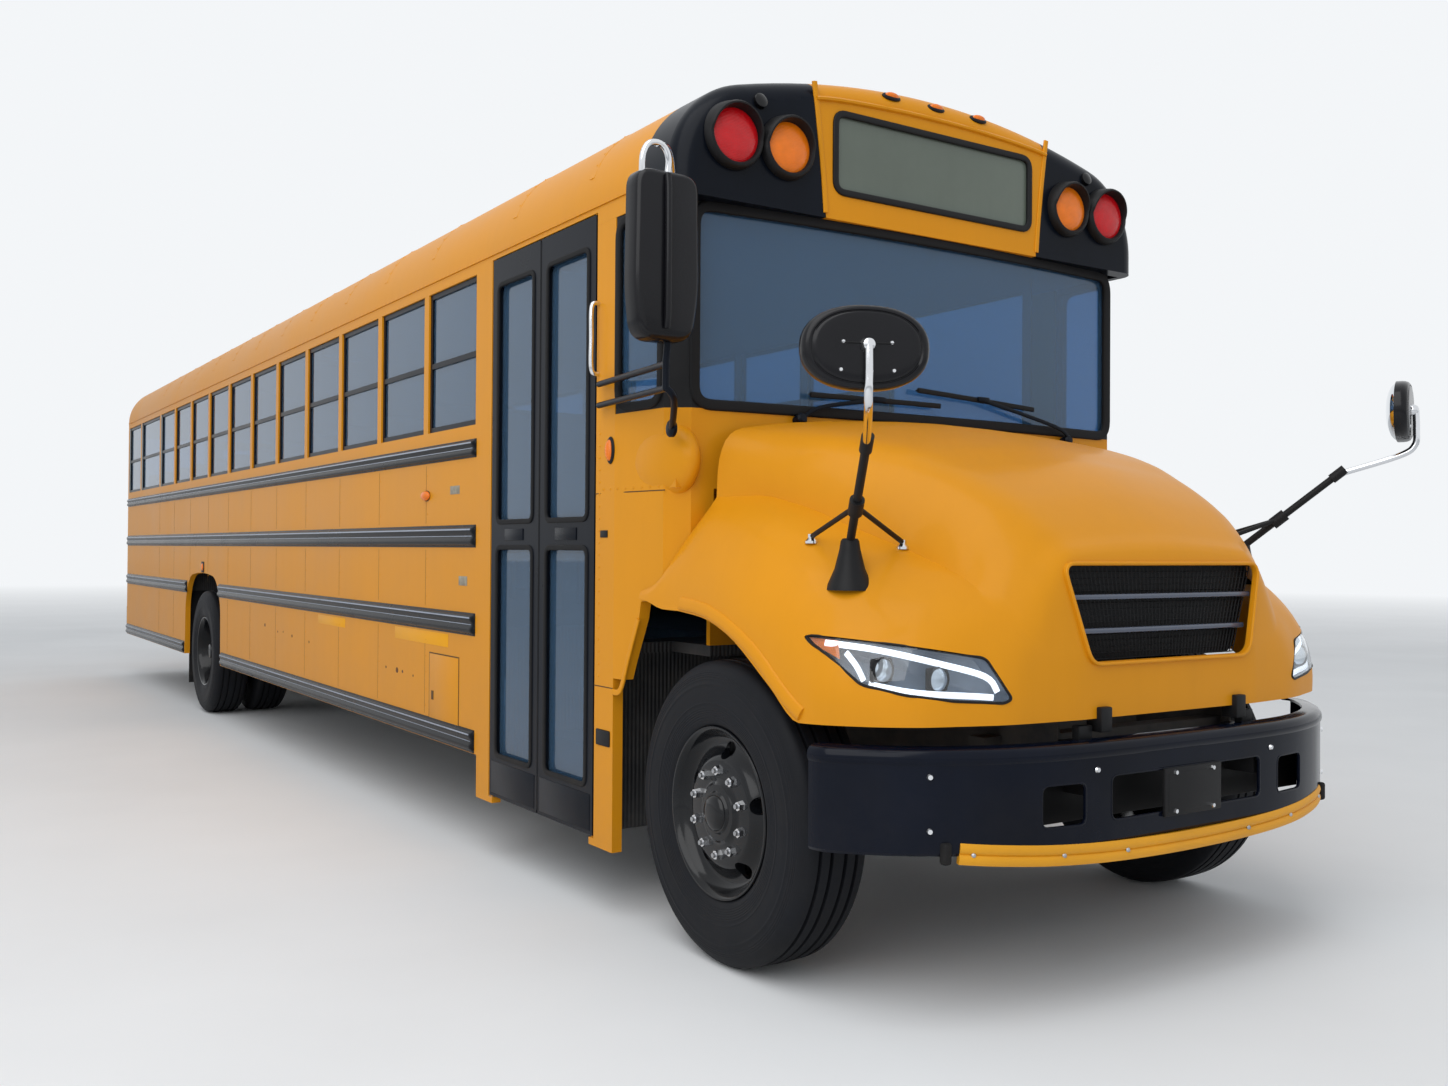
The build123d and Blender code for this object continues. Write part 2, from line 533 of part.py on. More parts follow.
with BuildPart() as floor_pan:
    block((-inside, inside), (COWL_SIDE, BODY_REAR - WALL - SEAT_GAP), (floor_low, FLOOR_Z))
    block((-FIREWALL_HALF, FIREWALL_HALF), (FIREWALL, COWL_SIDE + 1), (floor_low, FLOOR_Z))
    block((-BODY_HALF, -STEP_IN), (step_front, step_rear), (floor_low - 5, FLOOR_Z + 5), mode=Mode.SUBTRACT)
    block((-BODY_HALF, -BODY_HALF + WALL + 20), (DOOR_FRONT, DOOR_REAR), (floor_low - 5, FLOOR_Z + 5),
          mode=Mode.SUBTRACT)
    for sign in (-1, 1):
        block((sign * HOUSE_IN, sign * BODY_HALF), (REAR_AXLE - HOUSE_HALF, REAR_AXLE + HOUSE_HALF),
              (floor_low - 5, FLOOR_Z + 5), mode=Mode.SUBTRACT)
    for i in range(STEPS):
        top = DOOR_BOTTOM_Z + 20 + i * step_rise
        tread_out = -BODY_HALF + STEP_LIP + i * step_run
        tread_in = tread_out + step_run
        stations = (step_front + SEAT_GAP, step_rear - SEAT_GAP)
        block((tread_out, tread_in), stations, (top - STEP_SHEET, top))
        block((tread_in - STEP_SHEET, tread_in), stations, (top - STEP_SHEET, top + step_rise))
    for station in (step_front + SEAT_GAP, step_rear - SEAT_GAP - STEP_SHEET):
        block((-BODY_HALF + STEP_LIP, -STEP_IN - SEAT_GAP), (station, station + STEP_SHEET),
              (DOOR_BOTTOM_Z + 8, FLOOR_Z))
    for sign in (-1, 1):
        house = HOUSE_IN + SEAT_GAP
        reach = HOUSE_HALF - SEAT_GAP
        block((sign * house, sign * inside), (REAR_AXLE - reach, REAR_AXLE + reach), (floor_low, HOUSE_TOP_Z))
        block((sign * (house + HOUSE_SHEET), sign * (inside + 5)),
              (REAR_AXLE - reach + HOUSE_SHEET, REAR_AXLE + reach - HOUSE_SHEET),
              (floor_low - 5, HOUSE_TOP_Z - HOUSE_SHEET), mode=Mode.SUBTRACT)
save(floor_pan.part, "floor_pan")

# Side glass and sashes
SASH_WIDTH = 26.0
SASH_DEPTH = 24.0
SASH_SET = 10.0


middle_z = (SILL_Z + WINDOW_TOP_Z) / 2
opening_height = WINDOW_TOP_Z - SILL_Z - 2 * SEAT_GAP
panes = ((SILL_Z + SASH_WIDTH, SASH_BAR_Z - SASH_WIDTH / 2), (SASH_BAR_Z + SASH_WIDTH / 2,
                                                              WINDOW_TOP_Z - SASH_WIDTH))


def pane_rectangles(start, end, mode=Mode.ADD):
    """Upper and lower pane of one window in the plane of a side wall."""
    for low, high in panes:
        with Locations((at((start + end) / 2), (low + high) / 2)):
            Rectangle(end - start - 2 * SASH_WIDTH, high - low, mode=mode)


with BuildPart() as window_sashes:
    for sign in (-1, 1):
        outer = sign * (BODY_HALF - SASH_SET)
        with BuildSketch(side(outer if sign < 0 else outer - SASH_DEPTH)):
            for start, end in windows:
                with Locations((at((start + end) / 2), middle_z)):
                    Rectangle(end - start - 2 * SEAT_GAP, opening_height)
                pane_rectangles(start, end, mode=Mode.SUBTRACT)
        extrude(amount=SASH_DEPTH)
save(window_sashes.part, "window_sashes")

with BuildPart() as side_window_glass:
    pane_x = BODY_HALF - SASH_SET - SASH_DEPTH / 2
    for plane_x in (-pane_x - 3, pane_x - 3):
        with BuildSketch(side(plane_x)):
            for start, end in windows:
                pane_rectangles(start, end)
        extrude(amount=6)
    block((BODY_HALF - WALL / 2 - 3, BODY_HALF - WALL / 2 + 3), DRIVER_WINDOW, (SILL_Z - 60, WINDOW_TOP_Z))
    for sign in (-1, 1):
        block((sign * REAR_GLASS_INNER, sign * REAR_GLASS_OUTER),
              (BODY_REAR - WALL / 2 - 3, BODY_REAR - WALL / 2 + 3),
              (SILL_Z, WINDOW_TOP_Z - 80))
save(side_window_glass.part, "side_window_glass")

# Rub rails with three ribs each, broken at the door and the rear arches
RAIL_ARCH_GAP = 18.0
arch_breaks = []
for low, high in RUB_RAILS:
    if low > ARCH_CROWN_Z:
        arch_breaks.append(0.0)
    elif high > ARCH_SIDE[1]:
        arch_breaks.append(ARCH_SHOULDER[0] + RAIL_ARCH_GAP)
    else:
        arch_breaks.append(ARCH_FOOT_HALF + RAIL_ARCH_GAP)

with BuildPart() as rub_rails:
    for (low, high), reach in zip(RUB_RAILS, arch_breaks):
        for sign in (-1, 1):
            start = RAIL_START if sign < 0 else COWL_SIDE + 170
            spans = [(start, BODY_REAR - 12)]
            if reach > 0:
                spans = [(start, REAR_AXLE - reach), (REAR_AXLE + reach, BODY_REAR - 12)]
            step = (high - low) / 7
            for span_start, span_end in spans:
                with BuildSketch(cross(span_end)):
                    with BuildLine():
                        points = [(sign * BODY_HALF, low)]
                        for i in range(4):
                            z = low + 2 * i * step
                            points.append((sign * (BODY_HALF + RAIL_PROUD), z))
                            points.append((sign * (BODY_HALF + RAIL_PROUD), z + step))
                            if i < 3:
                                points.append((sign * (BODY_HALF + RAIL_PROUD * 0.5), z + step))
                                points.append((sign * (BODY_HALF + RAIL_PROUD * 0.5), z + 2 * step))
                        points.append((sign * BODY_HALF, high))
                        Polyline(*points, close=True)
                    make_face()
                extrude(amount=span_end - span_start)
save(rub_rails.part, "rub_rails")

# Entrance door: two leaves hinged at their outer edges
LEAF_THICK = 46.0
LEAF_STILE = 62.0
DOOR_MIDRAIL = (1384.0, 1499.0)
KICK_TOP_Z = 470.0
LEAF_GLASS_TOP_Z = 2545.0
door_middle = (DOOR_FRONT + DOOR_REAR) / 2
leaves = (("door_leaf_front", DOOR_FRONT + GAP, door_middle - DOOR_MEETING / 2, DOOR_PINS[0]),
          ("door_leaf_rear", door_middle + DOOR_MEETING / 2, DOOR_REAR - GAP, DOOR_PINS[1]))
leaf_panes = ((KICK_TOP_Z, DOOR_MIDRAIL[0]), (DOOR_MIDRAIL[1], LEAF_GLASS_TOP_Z))

for name, start, end, pin in leaves:
    with BuildPart() as door_leaf:
        block((-BODY_HALF, -BODY_HALF + LEAF_THICK), (start, end), (DOOR_BOTTOM_Z, DOOR_TOP_Z))
        for low, high in leaf_panes:
            block((-BODY_HALF - 5, -BODY_HALF + LEAF_THICK + 5), (start + LEAF_STILE, end - LEAF_STILE),
                  (low, high),
                  mode=Mode.SUBTRACT)
        for low, high in ((DOOR_BOTTOM_Z - 1, DOOR_BOTTOM_Z + 42), (DOOR_TOP_Z - 42, DOOR_TOP_Z + 1)):
            tube((DOOR_PIN_X, at(pin), low), (DOOR_PIN_X, at(pin), high), DOOR_PIN_R + SEAT_GAP,
                 mode=Mode.SUBTRACT)
    save(door_leaf.part, name)
    with BuildPart() as leaf_glass:
        middle_x = -BODY_HALF + LEAF_THICK / 2
        for low, high in leaf_panes:
            block((middle_x - 3, middle_x + 3), (start + LEAF_STILE, end - LEAF_STILE), (low, high))
    save(leaf_glass.part, name.replace("leaf", "glass"))

# Hood and fenders: half sections from the outer bottom up to the centre line
# station: (x, z) at bottom, lip, flank, shoulder, brow, crease, wall, corner, edge, centre
HOOD_SECTIONS = {
    170: ((430, 870), (430, 920), (430, 960), (430, 1000), (430, 1030), (430, 1050), (425, 1060),
          (420, 1065), (400, 1070),
          (0, 1075)),
    200: ((690, 870), (690, 930), (680, 990), (655, 1050), (630, 1090), (600, 1118), (550, 1220),
          (500, 1310), (460, 1352),
          (0, 1385)),
    250: ((850, 870), (850, 940), (830, 1010), (780, 1085), (720, 1145), (650, 1190), (600, 1280),
          (540, 1360), (470, 1405),
          (0, 1445)),
    400: ((1080, 870), (1080, 970), (1040, 1080), (955, 1180), (840, 1255), (716, 1306), (670, 1410),
          (610, 1495), (530, 1540),
          (0, 1590)),
    560: ((1165, 870), (1160, 1000), (1115, 1130), (1015, 1250), (885, 1330), (745, 1370), (710, 1490),
          (650, 1585), (570, 1635),
          (0, 1690)),
    750: ((1183, 870), (1170, 1100), (1130, 1220), (1055, 1330), (950, 1405), (820, 1446), (790, 1570),
          (730, 1665), (640, 1715),
          (0, 1765)),
    1000: ((1186, 870), (1174, 1210), (1140, 1310), (1080, 1420), (1000, 1500), (908, 1540), (890, 1650),
           (830, 1740), (730, 1785),
           (0, 1832)),
    1300: ((1188, 870), (1176, 1250), (1155, 1335), (1115, 1430), (1070, 1510), (1030, 1566), (1020, 1700),
           (975, 1790), (870, 1825),
           (0, 1885)),
}
# station: (x, z) at lip, flank, shoulder and crease of the fender's tail beside the cowl
TAIL_SECTIONS = {
    1300: ((1188, 1170), (1155, 1335), (1115, 1430), (1030, 1566)),
    1400: ((1192, 1172), (1172, 1301), (1119, 1389), (1046, 1455)),
    1500: ((1196, 1196), (1190, 1230), (1120, 1298), (1080, 1315)),
    1560: ((1196, 1204), (1192, 1222), (1170, 1240), (1130, 1250)),
}
# The fender's lip: front foot, then points where its two arcs start, bow and end, then its straight run back
LIP_ARCS = (((614, 864), (692, 912), (801, 999)), ((801, 999), (940, 1083), (1120, 1152)))
LIP_RUN = ((1120, 1152), (1290, 1170), (1425, 1172), (1560, 1203))
HOOD_DRAWN_HALF = 1195.0


def hood_section(points, inset):
    """Closed hood section from its half outline, as wide as the body and shrunk by an inset."""
    points = [(x * BODY_HALF / HOOD_DRAWN_HALF, z) for x, z in points]
    scaled = []
    top = points[-1][1]
    for x, z in points:
        scale_x = (x - inset) / x if x > inset else 0.0
        scaled.append((x * scale_x, z - inset if z > top - 500 else z - inset * 0.4))
    bottom = points[0][1] - (30 if inset else 0)
    scaled[0] = (scaled[0][0], bottom)
    left = [(-x, z) for x, z in reversed(scaled[:-1])]
    with BuildLine() as outline:
        Polyline(*scaled, *left, close=True)
    make_face(outline.edges())


def tail_section(points, sign):
    """Closed section of the fender's tail, a skin thick."""
    outer = [(sign * x * BODY_HALF / HOOD_DRAWN_HALF, z) for x, z in points]
    inner = [(x - sign * HOOD_SKIN, z - HOOD_SKIN / 2) for x, z in outer[1:]]
    lip = (outer[0][0] - sign * HOOD_SKIN, outer[0][1])
    with BuildLine() as outline:
        Polyline(*outer, *reversed(inner), lip, close=True)
    make_face(outline.edges())


hood_stations = list(HOOD_SECTIONS.items())
tail_stations = list(TAIL_SECTIONS.items())

with BuildPart() as hood_form:
    for (near, near_points), (far, far_points) in zip(hood_stations, hood_stations[1:]):
        with BuildSketch(cross(near)):
            hood_section(near_points, 0)
        with BuildSketch(cross(far)):
            hood_section(far_points, 0)
        loft(ruled=True)

# Headlamp outline seen from the front: (x, z) from its outer top corner inwards and back along the lower edge
LAMP_OUTLINE = ((1140, 1129), (997, 1109), (764, 1070), (689, 945), (717, 931), (869, 941), (1004, 960),
                (1093, 987),
                (1140, 1087))
LAMP_SEAM = 1.004


def lamp_face(sign, grow):
    """Headlamp outline on one side, grown about its middle."""
    middle_x = sum(x for x, z in LAMP_OUTLINE) / len(LAMP_OUTLINE)
    middle_lamp = sum(z for x, z in LAMP_OUTLINE) / len(LAMP_OUTLINE)
    wide = sign * BODY_HALF / HOOD_DRAWN_HALF
    points = [(wide * (middle_x + (x - middle_x) * grow), middle_lamp + (z - middle_lamp) * grow)
              for x, z in LAMP_OUTLINE]
    with BuildLine() as outline:
        Polyline(*points, close=True)
    make_face(outline.edges())


with BuildPart() as hood:
    add(hood_form.part)
    for sign in (-1, 1):
        for (near, near_points), (far, far_points) in zip(tail_stations, tail_stations[1:]):
            with BuildSketch(cross(near)):
                tail_section(near_points, sign)
            with BuildSketch(cross(far)):
                tail_section(far_points, sign)
            loft(ruled=True)
    for (near, near_points), (far, far_points) in zip(hood_stations, hood_stations[1:]):
        with BuildSketch(cross(near + HOOD_SKIN)):
            hood_section(near_points, HOOD_SKIN)
        with BuildSketch(cross(far + HOOD_SKIN)):
            hood_section(far_points, HOOD_SKIN)
        loft(ruled=True, mode=Mode.SUBTRACT)
    with BuildSketch(side(-BODY_HALF - 20)):
        with BuildLine():
            foot = LIP_ARCS[0][0]
            Polyline((at(LIP_RUN[-1][0] + 60), LIP_RUN[-1][1]), (at(LIP_RUN[-1][0] + 60), 500),
                     (at(foot[0]), 500),
                     (at(foot[0]), foot[1]))
            for arc in LIP_ARCS:
                ThreePointArc(*[(at(station), z) for station, z in arc])
            Polyline(*[(at(station), z) for station, z in LIP_RUN], (at(LIP_RUN[-1][0] + 60), LIP_RUN[-1][1]))
        make_face()
    extrude(amount=2 * BODY_HALF + 40, mode=Mode.SUBTRACT)
    with BuildSketch(Plane.XY.offset(COWL_BOTTOM_Z)):
        cabin_front(-GAP)
    extrude(amount=GLASS_BASE_Z + 100 - COWL_BOTTOM_Z, mode=Mode.SUBTRACT)
    with BuildSketch(cross(320)):
        with BuildLine():
            Polyline((-GRILLE_BOTTOM_X, GRILLE_BOTTOM_Z), (GRILLE_BOTTOM_X, GRILLE_BOTTOM_Z),
                     (GRILLE_TOP_X, GRILLE_TOP_Z), (-GRILLE_TOP_X, GRILLE_TOP_Z), close=True)
        make_face()
    extrude(amount=260, mode=Mode.SUBTRACT)
    for sign in (-1, 1):
        block((sign * 310, sign * 360), (HOOD_HINGE - 40, HOOD_HINGE + 22),
              (HOOD_HINGE_Z - 22, HOOD_HINGE_Z + 55))
        with Locations(Location((sign * 335, at(HOOD_HINGE), HOOD_HINGE_Z), (0, 90, 0))):
            Cylinder(HINGE_PIN + SEAT_GAP, 80, mode=Mode.SUBTRACT)

with BuildPart() as headlamps:
    add(hood.part)
    with BuildSketch(cross(640)):
        for sign in (-1, 1):
            lamp_face(sign, 1.0)
    extrude(amount=500, mode=Mode.INTERSECT)
save(headlamps.part, "headlamps")

with BuildPart() as hood_cut:
    add(hood.part)
    with BuildSketch(cross(640)):
        for sign in (-1, 1):
            lamp_face(sign, LAMP_SEAM)
    extrude(amount=500, mode=Mode.SUBTRACT)
save(hood_cut.part, "hood")

with BuildPart() as grille:
    with BuildSketch(cross(236)):
        with BuildLine():
            Polyline((-GRILLE_BOTTOM_X + SEAT_GAP, GRILLE_BOTTOM_Z + SEAT_GAP),
                     (GRILLE_BOTTOM_X - SEAT_GAP, GRILLE_BOTTOM_Z + SEAT_GAP),
                     (GRILLE_TOP_X - SEAT_GAP, GRILLE_TOP_Z - SEAT_GAP),
                     (-GRILLE_TOP_X + SEAT_GAP, GRILLE_TOP_Z - SEAT_GAP), close=True)
        make_face()
    extrude(amount=12)
    for z in (1130.0, 1235.0):
        rise = (z - GRILLE_BOTTOM_Z) / (GRILLE_TOP_Z - GRILLE_BOTTOM_Z)
        half = GRILLE_BOTTOM_X - 6 + rise * (GRILLE_TOP_X - GRILLE_BOTTOM_X)
        block((-half, half), (196, 224), (z - 9, z + 9))
save(grille.part, "grille")

# Bumper: a wrapped channel following the plan of the nose
BUMPER_PLAN = ((-BODY_HALF - 1, BUMPER_END), (-BODY_HALF + 30, BUMPER_FACE + 190),
               (-BODY_HALF + 195, BUMPER_FACE + 60))


def bumper_plan(inset):
    """Closed plan of the bumper's outside, moved inward by an inset."""
    end_x = -BUMPER_PLAN[0][0] - inset
    knee_x, knee = -BUMPER_PLAN[1][0] - inset * 0.9, BUMPER_PLAN[1][1] + inset * 0.5
    face_x, face = -BUMPER_PLAN[2][0] - inset * 0.5, BUMPER_PLAN[2][1] + inset * 0.9
    with BuildLine() as outline:
        Line((end_x, at(BUMPER_END)), (knee_x, at(knee)))
        ThreePointArc((knee_x, at(knee)), ((knee_x + face_x) / 2 + 28, at((knee + face) / 2 - 30)),
                      (face_x, at(face)))
        ThreePointArc((face_x, at(face)), (0, at(BUMPER_FACE + inset)), (-face_x, at(face)))
        ThreePointArc((-face_x, at(face)), (-(knee_x + face_x) / 2 - 28, at((knee + face) / 2 - 30)),
                      (-knee_x, at(knee)))
        Polyline((-knee_x, at(knee)), (-end_x, at(BUMPER_END)), (end_x, at(BUMPER_END)))
    make_face(outline.edges())


SLOT_HALF = 370.0
SLOT_HEIGHT = 110.0
TOW_SLOT_HALF = 65.0
band_low = PLATE_Z - SLOT_HEIGHT / 2
band_high = PLATE_Z + SLOT_HEIGHT / 2
middle_posts = ((SLOT_HALF, TOW_SLOT_X - TOW_SLOT_HALF), (TOW_SLOT_X + TOW_SLOT_HALF, BODY_HALF + 5))


def bumper_band(low, high, x_range=None):
    """Stretch of the wrapped bumper between two heights, or the part of it between two X values."""
    with BuildPart() as band:
        with BuildSketch(Plane.XY.offset(low)):
            bumper_plan(0)
        extrude(amount=high - low)
        with BuildSketch(Plane.XY.offset(low - 5)):
            bumper_plan(BUMPER_THICK)
        extrude(amount=high - low + 10, mode=Mode.SUBTRACT)
        block((-BODY_HALF - 100, BODY_HALF + 100), (BUMPER_END - 10, BUMPER_END + 60), (low - 5, high + 5),
              mode=Mode.SUBTRACT)
        if x_range:
            block(x_range, (BUMPER_FACE - 50, BUMPER_END + 60), (low - 5, high + 5), mode=Mode.INTERSECT)
    return band.part


# The bumper's bands above and below its slots, the posts between the slots and the plate's bracket
bumper_bands = [bumper_band(BUMPER_BOTTOM_Z, band_low - SEAT_GAP),
                bumper_band(band_high + SEAT_GAP, BUMPER_TOP_Z)]
bumper_bands += [bumper_band(band_low, band_high, (sign * near, sign * far)) for sign in (-1, 1)
                 for near, far in middle_posts]

with BuildPart() as front_bumper:
    for band in bumper_bands:
        add(band)
    for sign in (-1, 1):
        block((sign * (RAIL_HALF - 60), sign * RAIL_HALF), (BUMPER_FACE + 30, 262 - SEAT_GAP),
              (band_high + 10, 800))
        stand = (sign * (RAIL_HALF - 60), sign * RAIL_HALF)
        block(stand, (HOOD_HINGE - HINGE_STAND_R, HOOD_HINGE + HINGE_STAND_R), (799, HOOD_HINGE_Z))
        tube((stand[0], at(HOOD_HINGE), HOOD_HINGE_Z), (stand[1], at(HOOD_HINGE), HOOD_HINGE_Z),
             HINGE_STAND_R)
        tube((stand[0], at(HOOD_HINGE), HOOD_HINGE_Z), (sign * 300, at(HOOD_HINGE), HOOD_HINGE_Z), HINGE_PIN)
    block((-PLATE_HALF, PLATE_HALF), (BUMPER_FACE - PLATE_STAND, BUMPER_FACE - SEAT_GAP),
          (PLATE_Z - 78, PLATE_Z + 78))
    with Locations(Plane(origin=(0, at(BUMPER_FACE), PLATE_Z), x_dir=(1, 0, 0), z_dir=(0, 1, 0))):
        with GridLocations(PLATE_BOLT_X, PLATE_BOLT_Z, 2, 2):
            Cylinder(PLATE_BOLT_R, 80, mode=Mode.SUBTRACT)
save(front_bumper.part, "front_bumper")

with BuildPart() as bumper_guard_bar:
    with BuildSketch(Plane.XY.offset(BUMPER_BOTTOM_Z - GUARD_HEIGHT)):
        bumper_plan(-4)
    extrude(amount=GUARD_HEIGHT - SEAT_GAP)
    with BuildSketch(Plane.XY.offset(BUMPER_BOTTOM_Z - GUARD_HEIGHT - 5)):
        bumper_plan(22)
    extrude(amount=GUARD_HEIGHT + 10, mode=Mode.SUBTRACT)
    block((-GUARD_HALF, GUARD_HALF), (0, BUMPER_END - 200), (BUMPER_BOTTOM_Z - GUARD_HEIGHT - 5,
                                                             BUMPER_BOTTOM_Z + 5),
          mode=Mode.INTERSECT)
save(bumper_guard_bar.part, "bumper_guard_bar")

with BuildPart() as rear_bumper:
    block((-BODY_HALF + 5, BODY_HALF - 5), (BODY_REAR + 20, OVERALL_LENGTH), (SKIRT_Z + 30, SKIRT_Z + 290))
    fillet(rear_bumper.edges().filter_by(Axis.Z).group_by(Axis.Y)[-1], 90)
    for sign in (-1, 1):
        block((sign * (RAIL_HALF - 40), sign * RAIL_HALF), (BODY_REAR + SEAT_GAP, BODY_REAR + 40), (640, 700))
save(rear_bumper.part, "rear_bumper")

# Lamps: side sign, x, z, radius
WARNING_Z = 2850.0
LAMP_RADIUS = 88.0
LAMP_DEPTH = 26.0
RED_X = BODY_HALF - 230.0
AMBER_X = BODY_HALF - 460.0

for name, lamp_x in (("red_warning_lamps", RED_X), ("amber_warning_lamps", AMBER_X)):
    with BuildPart() as lamps:
        with BuildSketch(cross(CAP_FRONT)):
            with Locations((-lamp_x, WARNING_Z), (lamp_x, WARNING_Z)):
                Circle(LAMP_RADIUS)
        extrude(amount=LAMP_DEPTH)
        with BuildSketch(cross(BODY_REAR + LAMP_DEPTH)):
            with Locations((-lamp_x * 0.93, WARNING_Z - 20), (lamp_x * 0.93, WARNING_Z - 20)):
                Circle(LAMP_RADIUS)
        extrude(amount=LAMP_DEPTH)
    save(lamps.part, name)

with BuildPart() as marker_lamps:
    for x in (-230.0, 0.0, 230.0):
        block((x - 38, x + 38), (CAP_FRONT - 20, CAP_FRONT), (3040.0, 3072.0))
    for sign in (-1, 1):
        block((sign * BODY_HALF, sign * (BODY_HALF + 22)), (3690.0, 3760.0), (1622.0, 1658.0))
        block((sign * BODY_HALF, sign * (BODY_HALF + 22)), (1760.0, 1800.0), (1710.0, 1790.0))
save(marker_lamps.part, "marker_lamps")

with BuildPart() as tail_lamps:
    with BuildSketch(cross(BODY_REAR + LAMP_DEPTH)):
        with Locations((-950, 1560), (950, 1560)):
            Circle(90)
        with Locations((-720, 1560), (720, 1560)):
            Circle(55)
        with Locations((-900, 2700), (0, 2700), (900, 2700)):
            Circle(26)
    extrude(amount=LAMP_DEPTH)
save(tail_lamps.part, "tail_lamps")

# Mirrors
CROSS_X = BODY_HALF + 115.0
CROSS_Z = 1925.0
CROSS_HALF_WIDTH = 180.0
CROSS_HALF_HEIGHT = 116.0
CROSS_DEPTH = 95.0
PEDESTAL_X = BODY_HALF - 212.0
PEDESTAL = 607.0
PEDESTAL_Z = 1405.0
POLE_R = 13.0
BRACE_R = 7.0
BRACE_FEET = ((989, 798, 1408), (764, 613, 1391))
BRACE_PLACE = 0.79

with BuildPart() as crossview_mirrors:
    for sign in (-1, 1):
        with BuildSketch(cross(CROSS_DEPTH)):
            with Locations((sign * CROSS_X, CROSS_Z)):
                Ellipse(CROSS_HALF_WIDTH, CROSS_HALF_HEIGHT)
        extrude(amount=CROSS_DEPTH)
    chamfer(crossview_mirrors.faces().filter_by(Axis.Y).group_by(Axis.Y)[0].edges(), 40)
    for sign in (-1, 1):
        pole_top = Vector(sign * CROSS_X, at(CROSS_DEPTH - 5), CROSS_Z)
        pole_foot = Vector(sign * PEDESTAL_X, at(PEDESTAL), PEDESTAL_Z)
        tube(pole_top, pole_foot, POLE_R)
        clamp = pole_top + (pole_foot - pole_top) * BRACE_PLACE
        for x, station, z in BRACE_FEET:
            foot = Vector(sign * x * BODY_HALF / HOOD_DRAWN_HALF, at(station), z)
            tube(clamp, foot, BRACE_R)
            with Locations(foot):
                Cylinder(20, 36)
        with Locations((sign * PEDESTAL_X, at(PEDESTAL), PEDESTAL_Z - 67)):
            Cone(70, 30, 150)
    add(hood_form.part, mode=Mode.SUBTRACT)
save(crossview_mirrors.part, "crossview_mirrors")

FLAT_STATION = 1150.0
FLAT_X = BODY_HALF + 155.0
FLAT_Z = 2340.0

with BuildPart() as flat_mirror:
    with Locations((-FLAT_X, at(FLAT_STATION), FLAT_Z)):
        Box(250, 90, 560)
    fillet(flat_mirror.edges(), 30)
    tube((-FLAT_X, at(FLAT_STATION + 20), FLAT_Z + 270), (-BODY_HALF + 3, at(1585), 2590), 11)
    tube((-FLAT_X, at(FLAT_STATION + 20), FLAT_Z - 270), (-BODY_HALF - 11, at(1800), 1990), 11)
save(flat_mirror.part, "flat_mirror")


def glass_front(x):
    """Station of the windshield band's outer face at a given X."""
    return GLASS_CENTRE + (GLASS_EDGE - GLASS_CENTRE) * (x / GLASS_EDGE_X) ** 2


with BuildPart() as wipers:
    for x, tip in ((-260.0, -700.0), (640.0, 80.0)):
        tube((x, at(glass_front(x) - 40), 1903), (x, at(glass_front(x) - 1), 1903), 12)
        tube((x, at(glass_front(x) - 32), 1903), (tip, at(glass_front(tip) - 12), 1975), 8)
save(wipers.part, "wipers")

# Chassis: two channel rails, crossmembers between their webs, floor bearers on top and two tow eyes
with BuildPart() as chassis_frame:
    rail_end = BODY_REAR - WALL - 30
    for sign in (-1, 1):
        outer = sign * RAIL_HALF
        block((outer, outer - sign * FRAME_FLANGE), (262, rail_end),
              (FRAME_TOP_Z - FRAME_HEIGHT, FRAME_TOP_Z))
        block((outer - sign * FRAME_WEB, outer - sign * (FRAME_FLANGE + 1)), (261, rail_end + 1),
              (FRAME_TOP_Z - FRAME_HEIGHT + FRAME_WEB, FRAME_TOP_Z - FRAME_WEB), mode=Mode.SUBTRACT)
    member_reach = RAIL_HALF - FRAME_WEB - SEAT_GAP
    for station in CROSSMEMBERS:
        block((-member_reach, member_reach), (station, station + 70), (FRAME_TOP_Z - 190, FRAME_TOP_Z - 60))
    for station in OUTRIGGERS:
        bearer = inside if abs(station - REAR_AXLE) > HOUSE_HALF else HOUSE_IN
        block((-bearer, bearer), (station, station + 45), (FRAME_TOP_Z + SEAT_GAP, floor_low - SEAT_GAP))
    for sign in (-1, 1):
        eye_inner = RAIL_HALF + SEAT_GAP
        block((sign * eye_inner, sign * (eye_inner + TOW_EYE_THICK)), (rail_end - 90, rail_end),
              (TOW_EYE_Z - 45, FRAME_TOP_Z - 60))
        with Locations(Location((sign * (eye_inner + TOW_EYE_THICK / 2), at(rail_end - 45), TOW_EYE_Z),
                                (0, 90, 0))):
            Cylinder(TOW_EYE_R, 60, mode=Mode.SUBTRACT)
save(chassis_frame.part, "chassis_frame")

# Front axle beam, knuckles, tie rod
AXLE_Z = TYRE_RADIUS
BEAM_DROP = 90.0
BEAM_HALF = 50.0
AXLE_TUBE_R = 54.0

